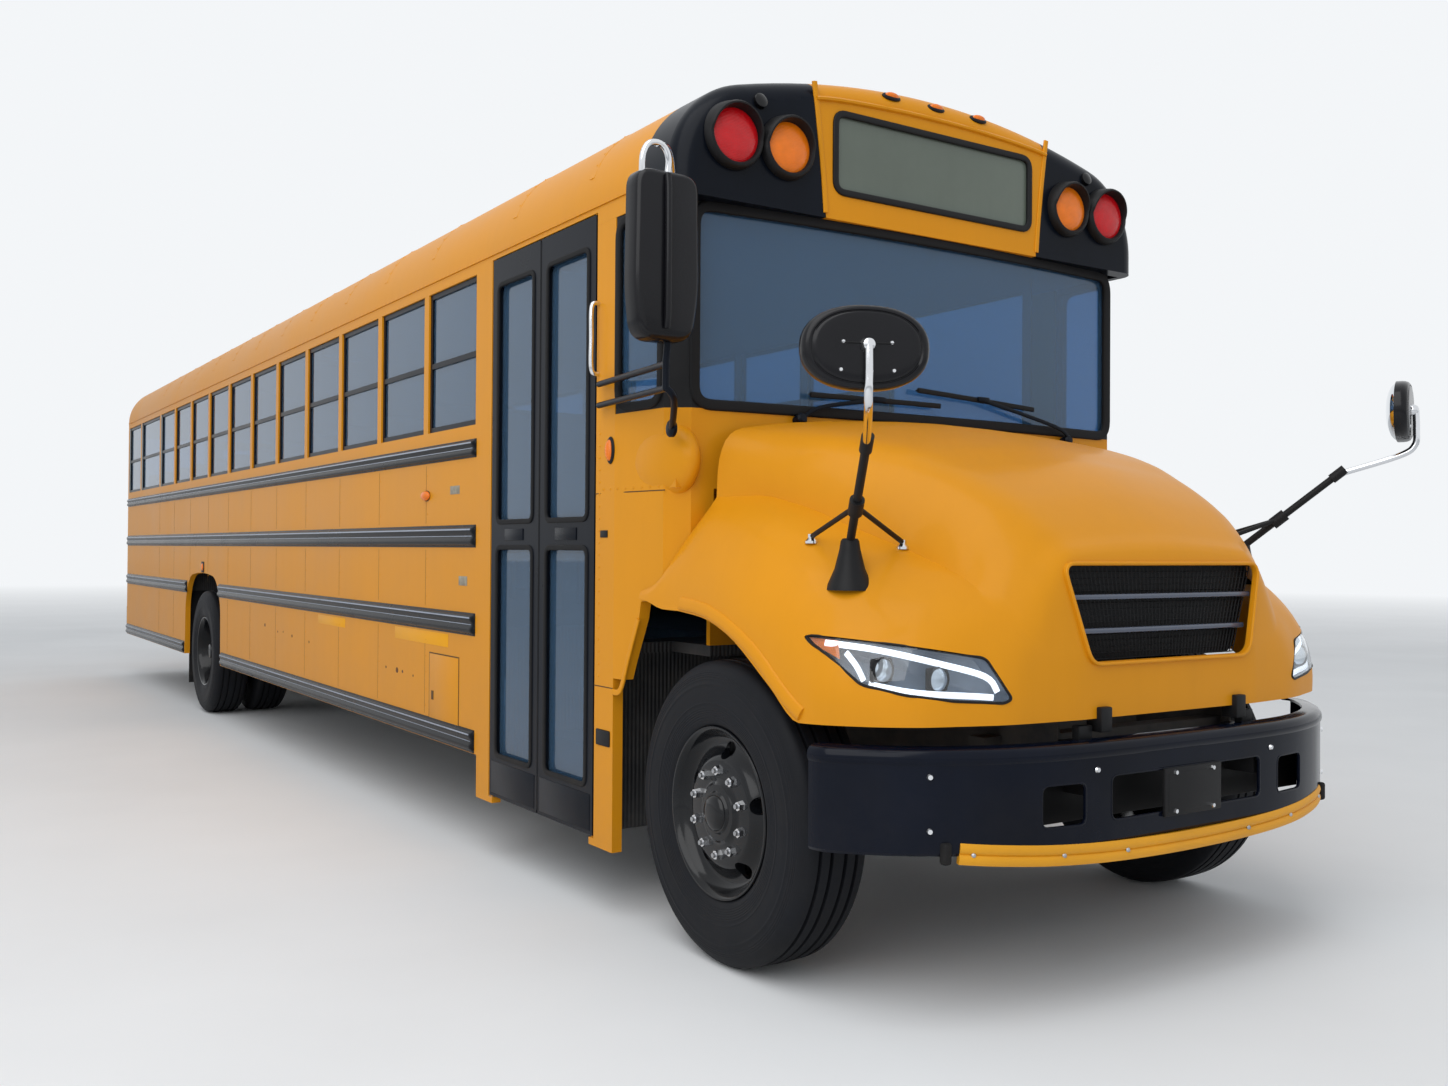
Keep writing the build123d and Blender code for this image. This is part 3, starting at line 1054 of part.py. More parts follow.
with BuildPart() as front_axle_beam:
    reach = KINGPIN_X - 70
    with BuildSketch(cross(FRONT_AXLE + 50)):
        with BuildLine():
            Polyline((-reach, AXLE_Z + 40), (-reach + 120, AXLE_Z + 20),
                     (-560, AXLE_Z - BEAM_DROP + BEAM_HALF),
                     (560, AXLE_Z - BEAM_DROP + BEAM_HALF), (reach - 120, AXLE_Z + 20), (reach, AXLE_Z + 40),
                     (reach, AXLE_Z - 40), (reach - 90, AXLE_Z - 60), (540, AXLE_Z - BEAM_DROP - BEAM_HALF),
                     (-540, AXLE_Z - BEAM_DROP - BEAM_HALF), (-reach + 90, AXLE_Z - 60),
                     (-reach, AXLE_Z - 40), close=True)
        make_face()
    extrude(amount=100)
    for sign in (-1, 1):
        with Locations((sign * KINGPIN_X, at(FRONT_AXLE), AXLE_Z)):
            Cylinder(24, 200)
        block((sign * (reach - 1), sign * KINGPIN_X), (FRONT_AXLE - 38, FRONT_AXLE + 38),
              (AXLE_Z - 38, AXLE_Z + 38))
save(front_axle_beam.part, "front_axle_beam")

for name, sign in (("knuckle_left", 1), ("knuckle_right", -1)):
    with BuildPart() as knuckle:
        for low, high in ((44.0, 78.0), (-78.0, -44.0)):
            block((sign * (KINGPIN_X - 40), sign * (KINGPIN_X + 60)), (FRONT_AXLE - 40, FRONT_AXLE + 40),
                  (AXLE_Z + low, AXLE_Z + high))
        block((sign * (KINGPIN_X + 45), sign * (KINGPIN_X + 75)), (FRONT_AXLE - 60, FRONT_AXLE + 60),
              (AXLE_Z - 78, AXLE_Z + 78))
        tube((sign * (KINGPIN_X + 70), at(FRONT_AXLE), AXLE_Z),
             (sign * (FRONT_TYRE_FACE - 25), at(FRONT_AXLE), AXLE_Z), SPINDLE_R - SEAT_GAP)
        block((sign * (KINGPIN_X - 18), sign * (KINGPIN_X + 18)),
              (FRONT_AXLE + 30, FRONT_AXLE + STEER_ARM + 24),
              (AXLE_Z - 78, AXLE_Z - 54))
        with Locations((sign * KINGPIN_X, at(FRONT_AXLE), AXLE_Z)):
            Cylinder(24 + SEAT_GAP, 220, mode=Mode.SUBTRACT)
        with Locations((sign * KINGPIN_X, at(FRONT_AXLE + STEER_ARM), AXLE_Z - 66)):
            if sign > 0:
                Cylinder(10, 92)
            else:
                Cylinder(12, 92, mode=Mode.SUBTRACT)
    save(knuckle.part, name)

with BuildPart() as tie_rod:
    tube((-KINGPIN_X + 30, at(FRONT_AXLE + STEER_ARM), TIE_ROD_Z),
         (KINGPIN_X - 30, at(FRONT_AXLE + STEER_ARM), TIE_ROD_Z), 17)
    for sign in (-1, 1):
        with Locations((sign * KINGPIN_X, at(FRONT_AXLE + STEER_ARM), TIE_ROD_Z)):
            Cylinder(32, 34)
        with Locations((sign * KINGPIN_X, at(FRONT_AXLE + STEER_ARM), TIE_ROD_Z)):
            if sign > 0:
                Cylinder(10 + SEAT_GAP, 40, mode=Mode.SUBTRACT)
    with Locations((-KINGPIN_X, at(FRONT_AXLE + STEER_ARM), TIE_ROD_Z + 32)):
        Cylinder(10, 64)
save(tie_rod.part, "tie_rod")

# Leaf springs: arched packs on hangers, front and rear
SPRING_RISE = 55.0
SPRING_X = 472.0
SPRINGS = ((FRONT_AXLE, 560.0, AXLE_Z - BEAM_DROP + BEAM_HALF + SEAT_GAP, 40.0),
           (REAR_AXLE, 620.0, AXLE_Z + AXLE_TUBE_R + SEAT_GAP, 60.0))

with BuildPart() as leaf_springs:
    for station, half_length, seat_z, pack in SPRINGS:
        for sign in (-1, 1):
            eye_z = seat_z + SPRING_RISE
            with BuildSketch(side(sign * SPRING_X - 36)):
                with BuildLine():
                    ThreePointArc((at(station - half_length), eye_z), (at(station), seat_z),
                                  (at(station + half_length), eye_z))
                    Line((at(station + half_length), eye_z), (at(station + half_length), eye_z + 14))
                    ThreePointArc((at(station + half_length), eye_z + 14), (at(station), seat_z + pack),
                                  (at(station - half_length), eye_z + 14))
                    Line((at(station - half_length), eye_z + 14), (at(station - half_length), eye_z))
                make_face()
            extrude(amount=72)
            for end in (-1, 1):
                eye = station + end * half_length
                block((sign * (RAIL_HALF + SEAT_GAP), sign * (SPRING_X + 38)), (eye - 35, eye + 35),
                      (eye_z - 30, FRAME_TOP_Z - 90))
save(leaf_springs.part, "leaf_springs")


# Tyres and wheels, made on the driver's side and mirrored
def tyre_profile(outer_x):
    """Half section of one tyre in (X, R), outer face at a given X."""
    inner_x = outer_x - TYRE_WIDTH
    crown = TYRE_RADIUS
    shoulder = TYRE_RADIUS - 22
    with BuildLine() as outline:
        Polyline((outer_x - 30, RIM_RADIUS), (outer_x - 12, RIM_RADIUS + 40))
        ThreePointArc((outer_x - 12, RIM_RADIUS + 40), (outer_x, RIM_RADIUS + 120), (outer_x - 14, shoulder))
        Polyline((outer_x - 14, shoulder), (outer_x - 44, crown), (inner_x + 44, crown),
                 (inner_x + 14, shoulder))
        ThreePointArc((inner_x + 14, shoulder), (inner_x, RIM_RADIUS + 120), (inner_x + 12, RIM_RADIUS + 40))
        Polyline((inner_x + 12, RIM_RADIUS + 40), (inner_x + 30, RIM_RADIUS), (outer_x - 30, RIM_RADIUS))
    make_face(outline.edges())


def wheel_plane(station):
    """Plane through an axle line; sketches are (X, height above the axle)."""
    return Plane(origin=(0, at(station), AXLE_Z), x_dir=(1, 0, 0), z_dir=(0, -1, 0))


def axle_line(station):
    return Axis((0, at(station), AXLE_Z), (1, 0, 0))


def rim_profile(outer_x, disc_x, hub_x, hub_end):
    """Section of a disc wheel and its hub: rim barrel, dished disc, hub."""
    rim = RIM_RADIUS - SEAT_GAP
    edge = outer_x - 14
    back = outer_x - TYRE_WIDTH + 14
    with BuildLine() as outline:
        Polyline((back, rim), (edge, rim), (edge, rim - 16), (disc_x + 22, rim - 30), (disc_x, rim - 60),
                 (hub_x, 190), (hub_x, 125), (hub_end, 120), (hub_end, SPINDLE_R), (hub_x - 70, SPINDLE_R),
                 (hub_x - 70, 150), (disc_x - 40, rim - 50),
                 (disc_x - 40, rim - 22), (back, rim - 16), close=True)
    make_face(outline.edges())


HAND_HOLES = 5
HAND_HOLE_RADIUS = 30.0
HAND_HOLE_RING = 208.0


def hand_holes(station, start_x, depth):
    with BuildSketch(Plane(origin=(start_x, at(station), AXLE_Z), x_dir=(0, 1, 0), z_dir=(1, 0, 0))) as holes:
        with PolarLocations(HAND_HOLE_RING, HAND_HOLES):
            Circle(HAND_HOLE_RADIUS)
    extrude(holes.sketch, amount=depth, mode=Mode.SUBTRACT)


front_hub_x = FRONT_TYRE_FACE - 30

with BuildPart() as tyre_front:
    with BuildSketch(wheel_plane(FRONT_AXLE)):
        tyre_profile(FRONT_TYRE_FACE)
    revolve(axis=axle_line(FRONT_AXLE))

with BuildPart() as wheel_front:
    with BuildSketch(wheel_plane(FRONT_AXLE)):
        rim_profile(FRONT_TYRE_FACE, FRONT_TYRE_FACE - 70, front_hub_x, FRONT_TYRE_FACE + 10)
    revolve(axis=axle_line(FRONT_AXLE))
    hand_holes(FRONT_AXLE, FRONT_TYRE_FACE - 160, 200)

with BuildPart() as tyres_rear:
    with BuildSketch(wheel_plane(REAR_AXLE)):
        tyre_profile(REAR_TYRE_FACE)
        tyre_profile(REAR_TYRE_FACE - DUAL_SPACING)
    revolve(axis=axle_line(REAR_AXLE))

with BuildPart() as wheels_rear:
    dish = REAR_TYRE_FACE - 190
    axle_bore = AXLE_TUBE_R + SEAT_GAP
    rim = RIM_RADIUS - SEAT_GAP
    outer_edge = REAR_TYRE_FACE - 14
    inner_edge = REAR_TYRE_FACE - DUAL_SPACING - TYRE_WIDTH + 14
    with BuildSketch(wheel_plane(REAR_AXLE)):
        with BuildLine():
            Polyline((inner_edge, rim), (outer_edge, rim), (outer_edge, rim - 16), (dish + 30, rim - 24),
                     (dish, rim - 60), (dish, 120), (outer_edge - 40, 105), (outer_edge - 40,
                                                                             axle_bore), (dish - 60,
                                                                                          axle_bore),
                     (dish - 60, rim - 40), (inner_edge, rim - 20), close=True)
        make_face()
    revolve(axis=axle_line(REAR_AXLE))
    hand_holes(REAR_AXLE, dish - 80, 130)

for name, source in (("tyre_front", tyre_front), ("wheel_front", wheel_front), ("tyres_rear", tyres_rear),
                     ("wheels_rear", wheels_rear)):
    save(source.part, name + "_left")
    with BuildPart() as mirrored:
        add(source.part)
        mirror(about=Plane.YZ, mode=Mode.REPLACE)
    save(mirrored.part, name + "_right")

with BuildPart() as rear_axle:
    with BuildSketch(side(-REAR_TYRE_FACE + 70)):
        with Locations((at(REAR_AXLE), AXLE_Z)):
            Circle(AXLE_TUBE_R)
    extrude(amount=2 * REAR_TYRE_FACE - 140)
    with Locations((0, at(REAR_AXLE), AXLE_Z)):
        Sphere(190)
    tube((0, at(REAR_AXLE - 300), AXLE_Z + 20), (0, at(REAR_AXLE), AXLE_Z + 20), 62)
save(rear_axle.part, "rear_axle")

GEARBOX_REAR = 2099.0

with BuildPart() as drive_shaft:
    tube((0, at(GEARBOX_REAR + 1), 615), (0, at(REAR_AXLE - 300) - 1.2, AXLE_Z + 20), 48)
save(drive_shaft.part, "drive_shaft")

with BuildPart() as engine_block:
    block((-300, 300), (560, 1400), (680, 1380))
    block((-200, 200), (1400, GEARBOX_REAR), (560, 860))
    block((-RAIL_HALF + 12, RAIL_HALF - 12), (860, 960), (FRAME_TOP_Z + SEAT_GAP, FRAME_TOP_Z + 40))
save(engine_block.part, "engine_block")

with BuildPart() as fuel_tank:
    block((-BODY_HALF + 105, -RAIL_HALF - 20), (5400, 6700), (430, FRAME_TOP_Z - SEAT_GAP))
    fillet(fuel_tank.edges().filter_by(Axis.Y), 60)
save(fuel_tank.part, "fuel_tank")

# Bench seats: cushions and backs on steel leg frames, in rows on both sides of the aisle
FIRST_SEAT = 3350.0
SEAT_PITCH = 735.0
REAR_ROOM = 400.0
SEAT_ROWS = int((BODY_REAR - REAR_ROOM - FIRST_SEAT) // SEAT_PITCH)
AISLE_HALF = 180.0
SEAT_WIDTH = BODY_HALF - WALL - AISLE_HALF - 13.0
SEAT_TOP_Z = 2110.0
CUSHION_DEPTH = 400.0
CUSHION_THICK = 110.0
CUSHION_TOP_Z = FLOOR_Z + 440.0
BACK_THICK = 90.0
LEG_THICK = 30.0

benches = [(sign * AISLE_HALF, sign * (AISLE_HALF + SEAT_WIDTH), FIRST_SEAT + row * SEAT_PITCH)
           for sign in (-1, 1) for row in range(SEAT_ROWS)]

with BuildPart() as seat_cushions:
    for near, far, start in benches:
        block((near, far), (start, start + CUSHION_DEPTH), (CUSHION_TOP_Z - CUSHION_THICK, CUSHION_TOP_Z))
save(seat_cushions.part, "seat_cushions")

with BuildPart() as seat_backs:
    for near, far, start in benches:
        front = start + CUSHION_DEPTH + SEAT_GAP
        block((near, far), (front, front + BACK_THICK), (CUSHION_TOP_Z - CUSHION_THICK, SEAT_TOP_Z))
save(seat_backs.part, "seat_backs")

with BuildPart() as seat_frames:
    for near, far, start in benches:
        under = CUSHION_TOP_Z - CUSHION_THICK - SEAT_GAP
        inner = near + math.copysign(60, near)
        block((near, far), (start + 40, start + 440), (under - LEG_THICK, under))
        for station in (start + 70, start + 380):
            block((inner, inner + math.copysign(LEG_THICK, near)), (station, station + LEG_THICK),
                  (FLOOR_Z + SEAT_GAP, under))
save(seat_frames.part, "seat_frames")

with BuildPart() as driver_seat:
    block((250, 760), (2350, 2830), (FLOOR_Z + 380, FLOOR_Z + 500))
    block((250, 760), (2830, 2930), (FLOOR_Z + 380, 2120))
    block((380, 630), (2450, 2750), (FLOOR_Z + SEAT_GAP, FLOOR_Z + 380))
save(driver_seat.part, "driver_seat")

with BuildPart() as dashboard:
    block((-BODY_HALF + 195, BODY_HALF - 195), (1425, 1740), (1640 + SEAT_GAP, 1880))
    tube((505, at(1740), 1750), (505, at(1980), 1860), 22)
    with BuildSketch(Plane(origin=(505, at(1980), 1860), z_dir=(0, 0.5, 1))):
        Circle(225)
        Circle(200, mode=Mode.SUBTRACT)
        Rectangle(410, 24)
    extrude(amount=22)
save(dashboard.part, "dashboard")

# Stop arm folded against the driver's side
with BuildPart() as stop_arm:
    arm_x = BODY_HALF + STOP_ARM_STAND
    reach = STOP_ARM_KNUCKLE - SEAT_GAP
    with BuildSketch(side(arm_x + 8)):
        with Locations((at(STOP_ARM_HINGE + 330), STOP_ARM_Z)):
            RegularPolygon(240, 8, rotation=22.5)
    extrude(amount=10)
    block((arm_x + SEAT_GAP, arm_x + STOP_ARM_THICK), (STOP_ARM_HINGE, STOP_ARM_HINGE + 130),
          (STOP_ARM_Z - reach, STOP_ARM_Z + reach))
    tube((STOP_ARM_AXIS_X, at(STOP_ARM_HINGE), STOP_ARM_Z - reach),
         (STOP_ARM_AXIS_X, at(STOP_ARM_HINGE), STOP_ARM_Z + reach),
         STOP_ARM_THICK / 2 - SEAT_GAP)
    tube((STOP_ARM_AXIS_X, at(STOP_ARM_HINGE), STOP_ARM_Z - reach - 1),
         (STOP_ARM_AXIS_X, at(STOP_ARM_HINGE), STOP_ARM_Z + reach + 1),
         STOP_ARM_PIN + SEAT_GAP, mode=Mode.SUBTRACT)
save(stop_arm.part, "stop_arm")

with BuildPart() as mud_flaps:
    for sign in (-1, 1):
        block((sign * 620, sign * (BODY_HALF - 45)), (REAR_AXLE + HOUSE_HALF + 6,
                                                      REAR_AXLE + HOUSE_HALF + 14),
              (180, floor_low - SEAT_GAP))
save(mud_flaps.part, "mud_flaps")
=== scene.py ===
import math

import bmesh
import bpy
from mathutils import Matrix, Vector
from mathutils.bvhtree import BVHTree


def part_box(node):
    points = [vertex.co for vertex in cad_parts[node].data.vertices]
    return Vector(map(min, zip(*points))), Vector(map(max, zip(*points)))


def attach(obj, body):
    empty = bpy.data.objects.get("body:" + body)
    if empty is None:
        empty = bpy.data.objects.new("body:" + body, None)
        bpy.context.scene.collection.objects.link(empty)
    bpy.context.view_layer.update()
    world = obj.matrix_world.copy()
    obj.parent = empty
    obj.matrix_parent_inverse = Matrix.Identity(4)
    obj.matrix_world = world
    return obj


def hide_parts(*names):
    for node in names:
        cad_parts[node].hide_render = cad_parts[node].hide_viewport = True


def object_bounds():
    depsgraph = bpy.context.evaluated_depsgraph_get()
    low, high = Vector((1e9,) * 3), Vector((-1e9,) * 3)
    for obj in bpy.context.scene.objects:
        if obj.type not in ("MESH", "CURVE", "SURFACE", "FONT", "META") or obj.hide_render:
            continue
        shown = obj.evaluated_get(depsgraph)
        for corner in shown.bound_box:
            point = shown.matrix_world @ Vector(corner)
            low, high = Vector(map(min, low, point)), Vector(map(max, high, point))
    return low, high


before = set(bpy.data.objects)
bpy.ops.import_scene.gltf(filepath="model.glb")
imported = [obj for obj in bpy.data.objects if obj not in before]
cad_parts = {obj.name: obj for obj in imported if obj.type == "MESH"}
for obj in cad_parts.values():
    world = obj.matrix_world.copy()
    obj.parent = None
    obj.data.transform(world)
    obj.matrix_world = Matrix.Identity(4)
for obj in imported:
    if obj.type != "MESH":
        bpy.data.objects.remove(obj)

bl_info = {
    "name": "School Bus Looks",
    "version": (1, 0, 0),
    "blender": (4, 5, 0),
    "location": "View3D > Sidebar > School Bus",
    "description": "Finishes and fine shapes of a long-nosed school bus around its packed construction",
    "category": "Object",
}

# Frame sizes, read once
CAD_LOW, CAD_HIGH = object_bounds()
MIDDLE = -CAD_LOW.y
MM = 0.001
TYRE_LOW, TYRE_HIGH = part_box("tyre_front_right")
TYRE_RADIUS = (TYRE_HIGH.z - TYRE_LOW.z) / 2
# Signs of X on the passenger's and the driver's side, and the face of the side walls in millimetres
SIDES = (-1, 1)
SIDE_X = 1195

# The camera stood low, in front of the passenger side's corner: x, station, height, then its turn
CAMERA_PLACE = (-3492.2, -2549.2, 1382.7)
CAMERA_YAW = 34.004
CAMERA_PITCH = 0.58
CAMERA_ROLL = 0.366
CAMERA_LENS = 32.33
CAMERA_SHIFT = (-0.01666, -0.00451)


# Colours of road dust, of dust on rubber, of the sky's light and of the plain backdrop
ROAD_DUST = (0.20, 0.165, 0.125, 1.0)
RUBBER_DUST = (0.17, 0.15, 0.12, 1.0)
SKY_COLOUR = (0.94, 0.97, 1.0, 1.0)
BACKDROP = (0.90, 0.92, 0.94, 1.0)
# Metres from the middle at which the floor starts to turn into the backdrop, and has done so
HAZE_START, HAZE_END = 14.0, 42.0
# The large lamp's place, what it points at, both in millimetres, and its sides in metres
KEY_PLACE = (-6500, -1500, 9500)
KEY_TARGET = (0, 4500, 1200)
KEY_SIZE = (9.0, 14.0)
# The middle of the cabin, how much its length is shortened to tell faces that look inwards, and the limits
CABIN_MIDDLE = (0.0, 0.0, 2.2)
CABIN_SHAPE = (1.0, 0.16, 1.0)
INSIDE, OUTSIDE = -0.66, -0.60
# Steps to a metre of the grid on which equal corners of a node's triangles are found
GRID = 2e4


def place(x, station, z):
    """Point from millimetres across the bus, behind the bumper's face and above the ground."""
    return Vector((x * MM, station * MM - MIDDLE, z * MM))


# Node helpers

def add_node(tree, kind, inputs=(), **settings):
    """New node with settings as attributes and inputs as pairs of socket and value or link."""
    node = tree.nodes.new(kind)
    for key, value in settings.items():
        setattr(node, key, value)
    for socket, value in inputs:
        if isinstance(value, bpy.types.NodeSocket):
            tree.links.new(value, node.inputs[socket])
        else:
            node.inputs[socket].default_value = value
    return node


def remap(tree, value, low, high, to_low=0.0, to_high=1.0):
    inputs = ((0, value), (1, low), (2, high), (3, to_low), (4, to_high))
    return add_node(tree, "ShaderNodeMapRange", inputs).outputs[0]


def mix_colour(tree, factor, first, second, blend="MIX"):
    inputs = ((0, factor), (6, first), (7, second))
    return add_node(tree, "ShaderNodeMix", inputs, data_type="RGBA", blend_type=blend).outputs[2]


def multiply(tree, first, second):
    return add_node(tree, "ShaderNodeMath", ((0, first), (1, second)), operation="MULTIPLY").outputs[0]


def vector_math(tree, operation, first, second, output=0):
    inputs = ((0, first), (1, second))
    return add_node(tree, "ShaderNodeVectorMath", inputs, operation=operation).outputs[output]


def noise(tree, vector, scale, detail=3.0, rough=0.5):
    inputs = (("Vector", vector), ("Scale", scale), ("Detail", detail), ("Roughness", rough))
    return add_node(tree, "ShaderNodeTexNoise", inputs).outputs["Fac"]


def bumped(tree, height, strength, distance, *below):
    """Normal of a bump, over another normal where one is given."""
    inputs = [("Height", height), ("Strength", strength), ("Distance", distance)] + [("Normal", n) for n in below]
    return add_node(tree, "ShaderNodeBump", inputs).outputs[0]


def settle(shader, *inputs):
    """Gives inputs of a shader plain values, as pairs."""
    for socket, value in inputs:
        shader.inputs[socket].default_value = value


def start_material(name):
    """Empty material with its tree, shader and object coordinates."""
    made = bpy.data.materials.new(name)
    made.use_nodes = True
    tree = made.node_tree
    tree.nodes.clear()
    shader = tree.nodes.new("ShaderNodeBsdfPrincipled")
    output = tree.nodes.new("ShaderNodeOutputMaterial")
    tree.links.new(shader.outputs[0], output.inputs[0])
    coordinates = tree.nodes.new("ShaderNodeTexCoord").outputs["Object"]
    return made, tree, shader, coordinates


def tint(colour, factor):
    return tuple(min(1.0, part * factor) for part in colour[:3]) + (1.0,)


def finish(name, colour, roughness, metallic=0.0, coat=0.0, coat_roughness=0.06, vary=0.12, vary_scale=2.2,
           grime=0.25, grime_top=0.9, grain=0.05, grain_scale=260.0, wave=0.0, specular=0.5, lining=None):
    """Opaque finish: blotchy colour, road dust that thickens downwards, uneven gloss and a fine grain."""
    made, tree, shader, coordinates = start_material(name)
    blotch = noise(tree, coordinates, vary_scale, 6.0, 0.6)
    streak_map = add_node(tree, "ShaderNodeMapping", (("Vector", coordinates), ("Scale", (9.0, 9.0, 0.7))))
    streak = noise(tree, streak_map.outputs[0], 1.6, 5.0, 0.65)
    base = mix_colour(tree, remap(tree, blotch, 0.3, 0.7), tint(colour, 1.0 - vary), tint(colour, 1.0 + vary))
    base = mix_colour(tree, remap(tree, streak, 0.45, 0.8, 0.0, vary), base, tint(colour, 0.55))
    height = add_node(tree, "ShaderNodeSeparateXYZ", ((0, coordinates),)).outputs[2]
    low = remap(tree, height, 0.15, grime_top, 1.0, 0.0)
    patchy = remap(tree, noise(tree, coordinates, 7.0, 8.0, 0.7), 0.35, 0.75)
    dust = multiply(tree, multiply(tree, low, patchy), grime)
    base = mix_colour(tree, dust, base, ROAD_DUST)
    if lining:
        facing = tree.nodes.new("ShaderNodeNewGeometry").outputs["Normal"]
        level = vector_math(tree, "SUBTRACT", coordinates, CABIN_MIDDLE)
        level = vector_math(tree, "MULTIPLY", level, CABIN_SHAPE)
        outward = vector_math(tree, "DOT_PRODUCT", level, facing, "Value")
        base = mix_colour(tree, remap(tree, outward, INSIDE, OUTSIDE, 1.0, 0.0), base, lining)
    tree.links.new(base, shader.inputs["Base Color"])
    rough = remap(tree, blotch, 0.25, 0.75, roughness * 0.85, roughness * 1.15)
    dull = add_node(tree, "ShaderNodeMath", ((0, rough), (1, multiply(tree, dust, 0.5))), operation="ADD").outputs[0]
    tree.links.new(dull, shader.inputs["Roughness"])
    settle(shader, ("Metallic", metallic), ("Coat Weight", coat), ("Coat Roughness", coat_roughness),
           ("Specular IOR Level", specular))
    bump = bumped(tree, noise(tree, coordinates, grain_scale, 2.0), grain, 0.0006)
    if wave:
        bump = bumped(tree, noise(tree, coordinates, 1.7, 2.0), wave, 0.02, bump)
    tree.links.new(bump, shader.inputs["Normal"])
    return made


GLASS_ROUGHNESS, GLASS_IOR = 0.01, 1.45


def glass_finish(name, colour, clear=1.0):
    """Clear or tinted pane with a trace of dust in patches."""
    made, tree, shader, coordinates = start_material(name)
    film = remap(tree, noise(tree, coordinates, 3.0, 6.0, 0.6), 0.3, 0.8, 0.0, 0.18)
    base = mix_colour(tree, film, colour, tint(colour, 0.8))
    tree.links.new(base, shader.inputs["Base Color"])
    tree.links.new(remap(tree, film, 0.0, 0.18, GLASS_ROUGHNESS, GLASS_ROUGHNESS + 0.03), shader.inputs["Roughness"])
    settle(shader, ("Transmission Weight", clear), ("IOR", GLASS_IOR))
    return made


def lens_finish(name, colour, ribs, glow=0.0):
    """Coloured lamp lens: ribbed, glossy, a little bright inside."""
    made, tree, shader, coordinates = start_material(name)
    spread = noise(tree, coordinates, 30.0, 3.0)
    base = mix_colour(tree, spread, tint(colour, 0.75), tint(colour, 1.15))
    tree.links.new(base, shader.inputs["Base Color"])
    settle(shader, ("Roughness", 0.12), ("Coat Weight", 0.25), ("Coat Roughness", 0.03), ("Specular IOR Level", 0.3))
    if glow:
        settle(shader, ("Emission Color", tint(colour, 1.0)), ("Emission Strength", glow))
    band = add_node(tree, "ShaderNodeTexWave", (("Vector", coordinates), ("Scale", ribs), ("Distortion", 0.0)),
                    bands_direction="Z")
    tree.links.new(bumped(tree, band.outputs[1], 0.35, 0.002), shader.inputs["Normal"])
    return made


def ribbed_finish(name, colour, roughness, scale, direction, depth=0.6, distance=0.004, grime=0.3):
    """Rubber or sheet with regular ribs in one direction and dust in patches."""
    made, tree, shader, coordinates = start_material(name)
    band = add_node(tree, "ShaderNodeTexWave", (("Vector", coordinates), ("Scale", scale), ("Distortion", 0.0)),
                    bands_direction=direction)
    patch = noise(tree, coordinates, 5.0, 7.0, 0.65)
    base = mix_colour(tree, remap(tree, patch, 0.3, 0.7), tint(colour, 0.8), tint(colour, 1.25))
    base = mix_colour(tree, multiply(tree, remap(tree, patch, 0.4, 0.8), grime), base, RUBBER_DUST)
    tree.links.new(base, shader.inputs["Base Color"])
    tree.links.new(remap(tree, patch, 0.2, 0.8, roughness - 0.08, roughness + 0.1), shader.inputs["Roughness"])
    ribs = bumped(tree, band.outputs[1], depth, distance)
    tree.links.new(bumped(tree, noise(tree, coordinates, 300.0, 2.0), 0.2, 0.0008, ribs), shader.inputs["Normal"])
    return made


def light_finish(name, colour, strength):
    """Lit strip of a lamp."""
    made, tree, shader, coordinates = start_material(name)
    cells = remap(tree, noise(tree, coordinates, 60.0, 2.0), 0.3, 0.7, 0.85, 1.0)
    base = mix_colour(tree, cells, tint(colour, 0.7), colour)
    tree.links.new(base, shader.inputs["Base Color"])
    tree.links.new(base, shader.inputs["Emission Color"])
    settle(shader, ("Emission Strength", strength), ("Roughness", 0.3))
    return made


YELLOW = (0.700, 0.280, 0.007, 1.0)
BLACK = (0.004, 0.006, 0.011, 1.0)
SIDE_TINT = (0.16, 0.31, 0.50, 1.0)
FRONT_TINT = (0.16, 0.34, 0.58, 1.0)
RED = (0.50, 0.004, 0.008, 1.0)
AMBER = (0.80, 0.18, 0.004, 1.0)
ENAMEL = dict(colour=YELLOW, roughness=0.42, coat=0.07, coat_roughness=0.10, specular=0.14, vary=0.05,
              vary_scale=0.9, grime=0.12, grime_top=1.0, grain=0.03, wave=0.05)


def paint(slot, colour, roughness, **rest):
    """Row of the table of finishes for an opaque one."""
    return slot, finish, dict(rest, colour=(*colour, 1), roughness=roughness)


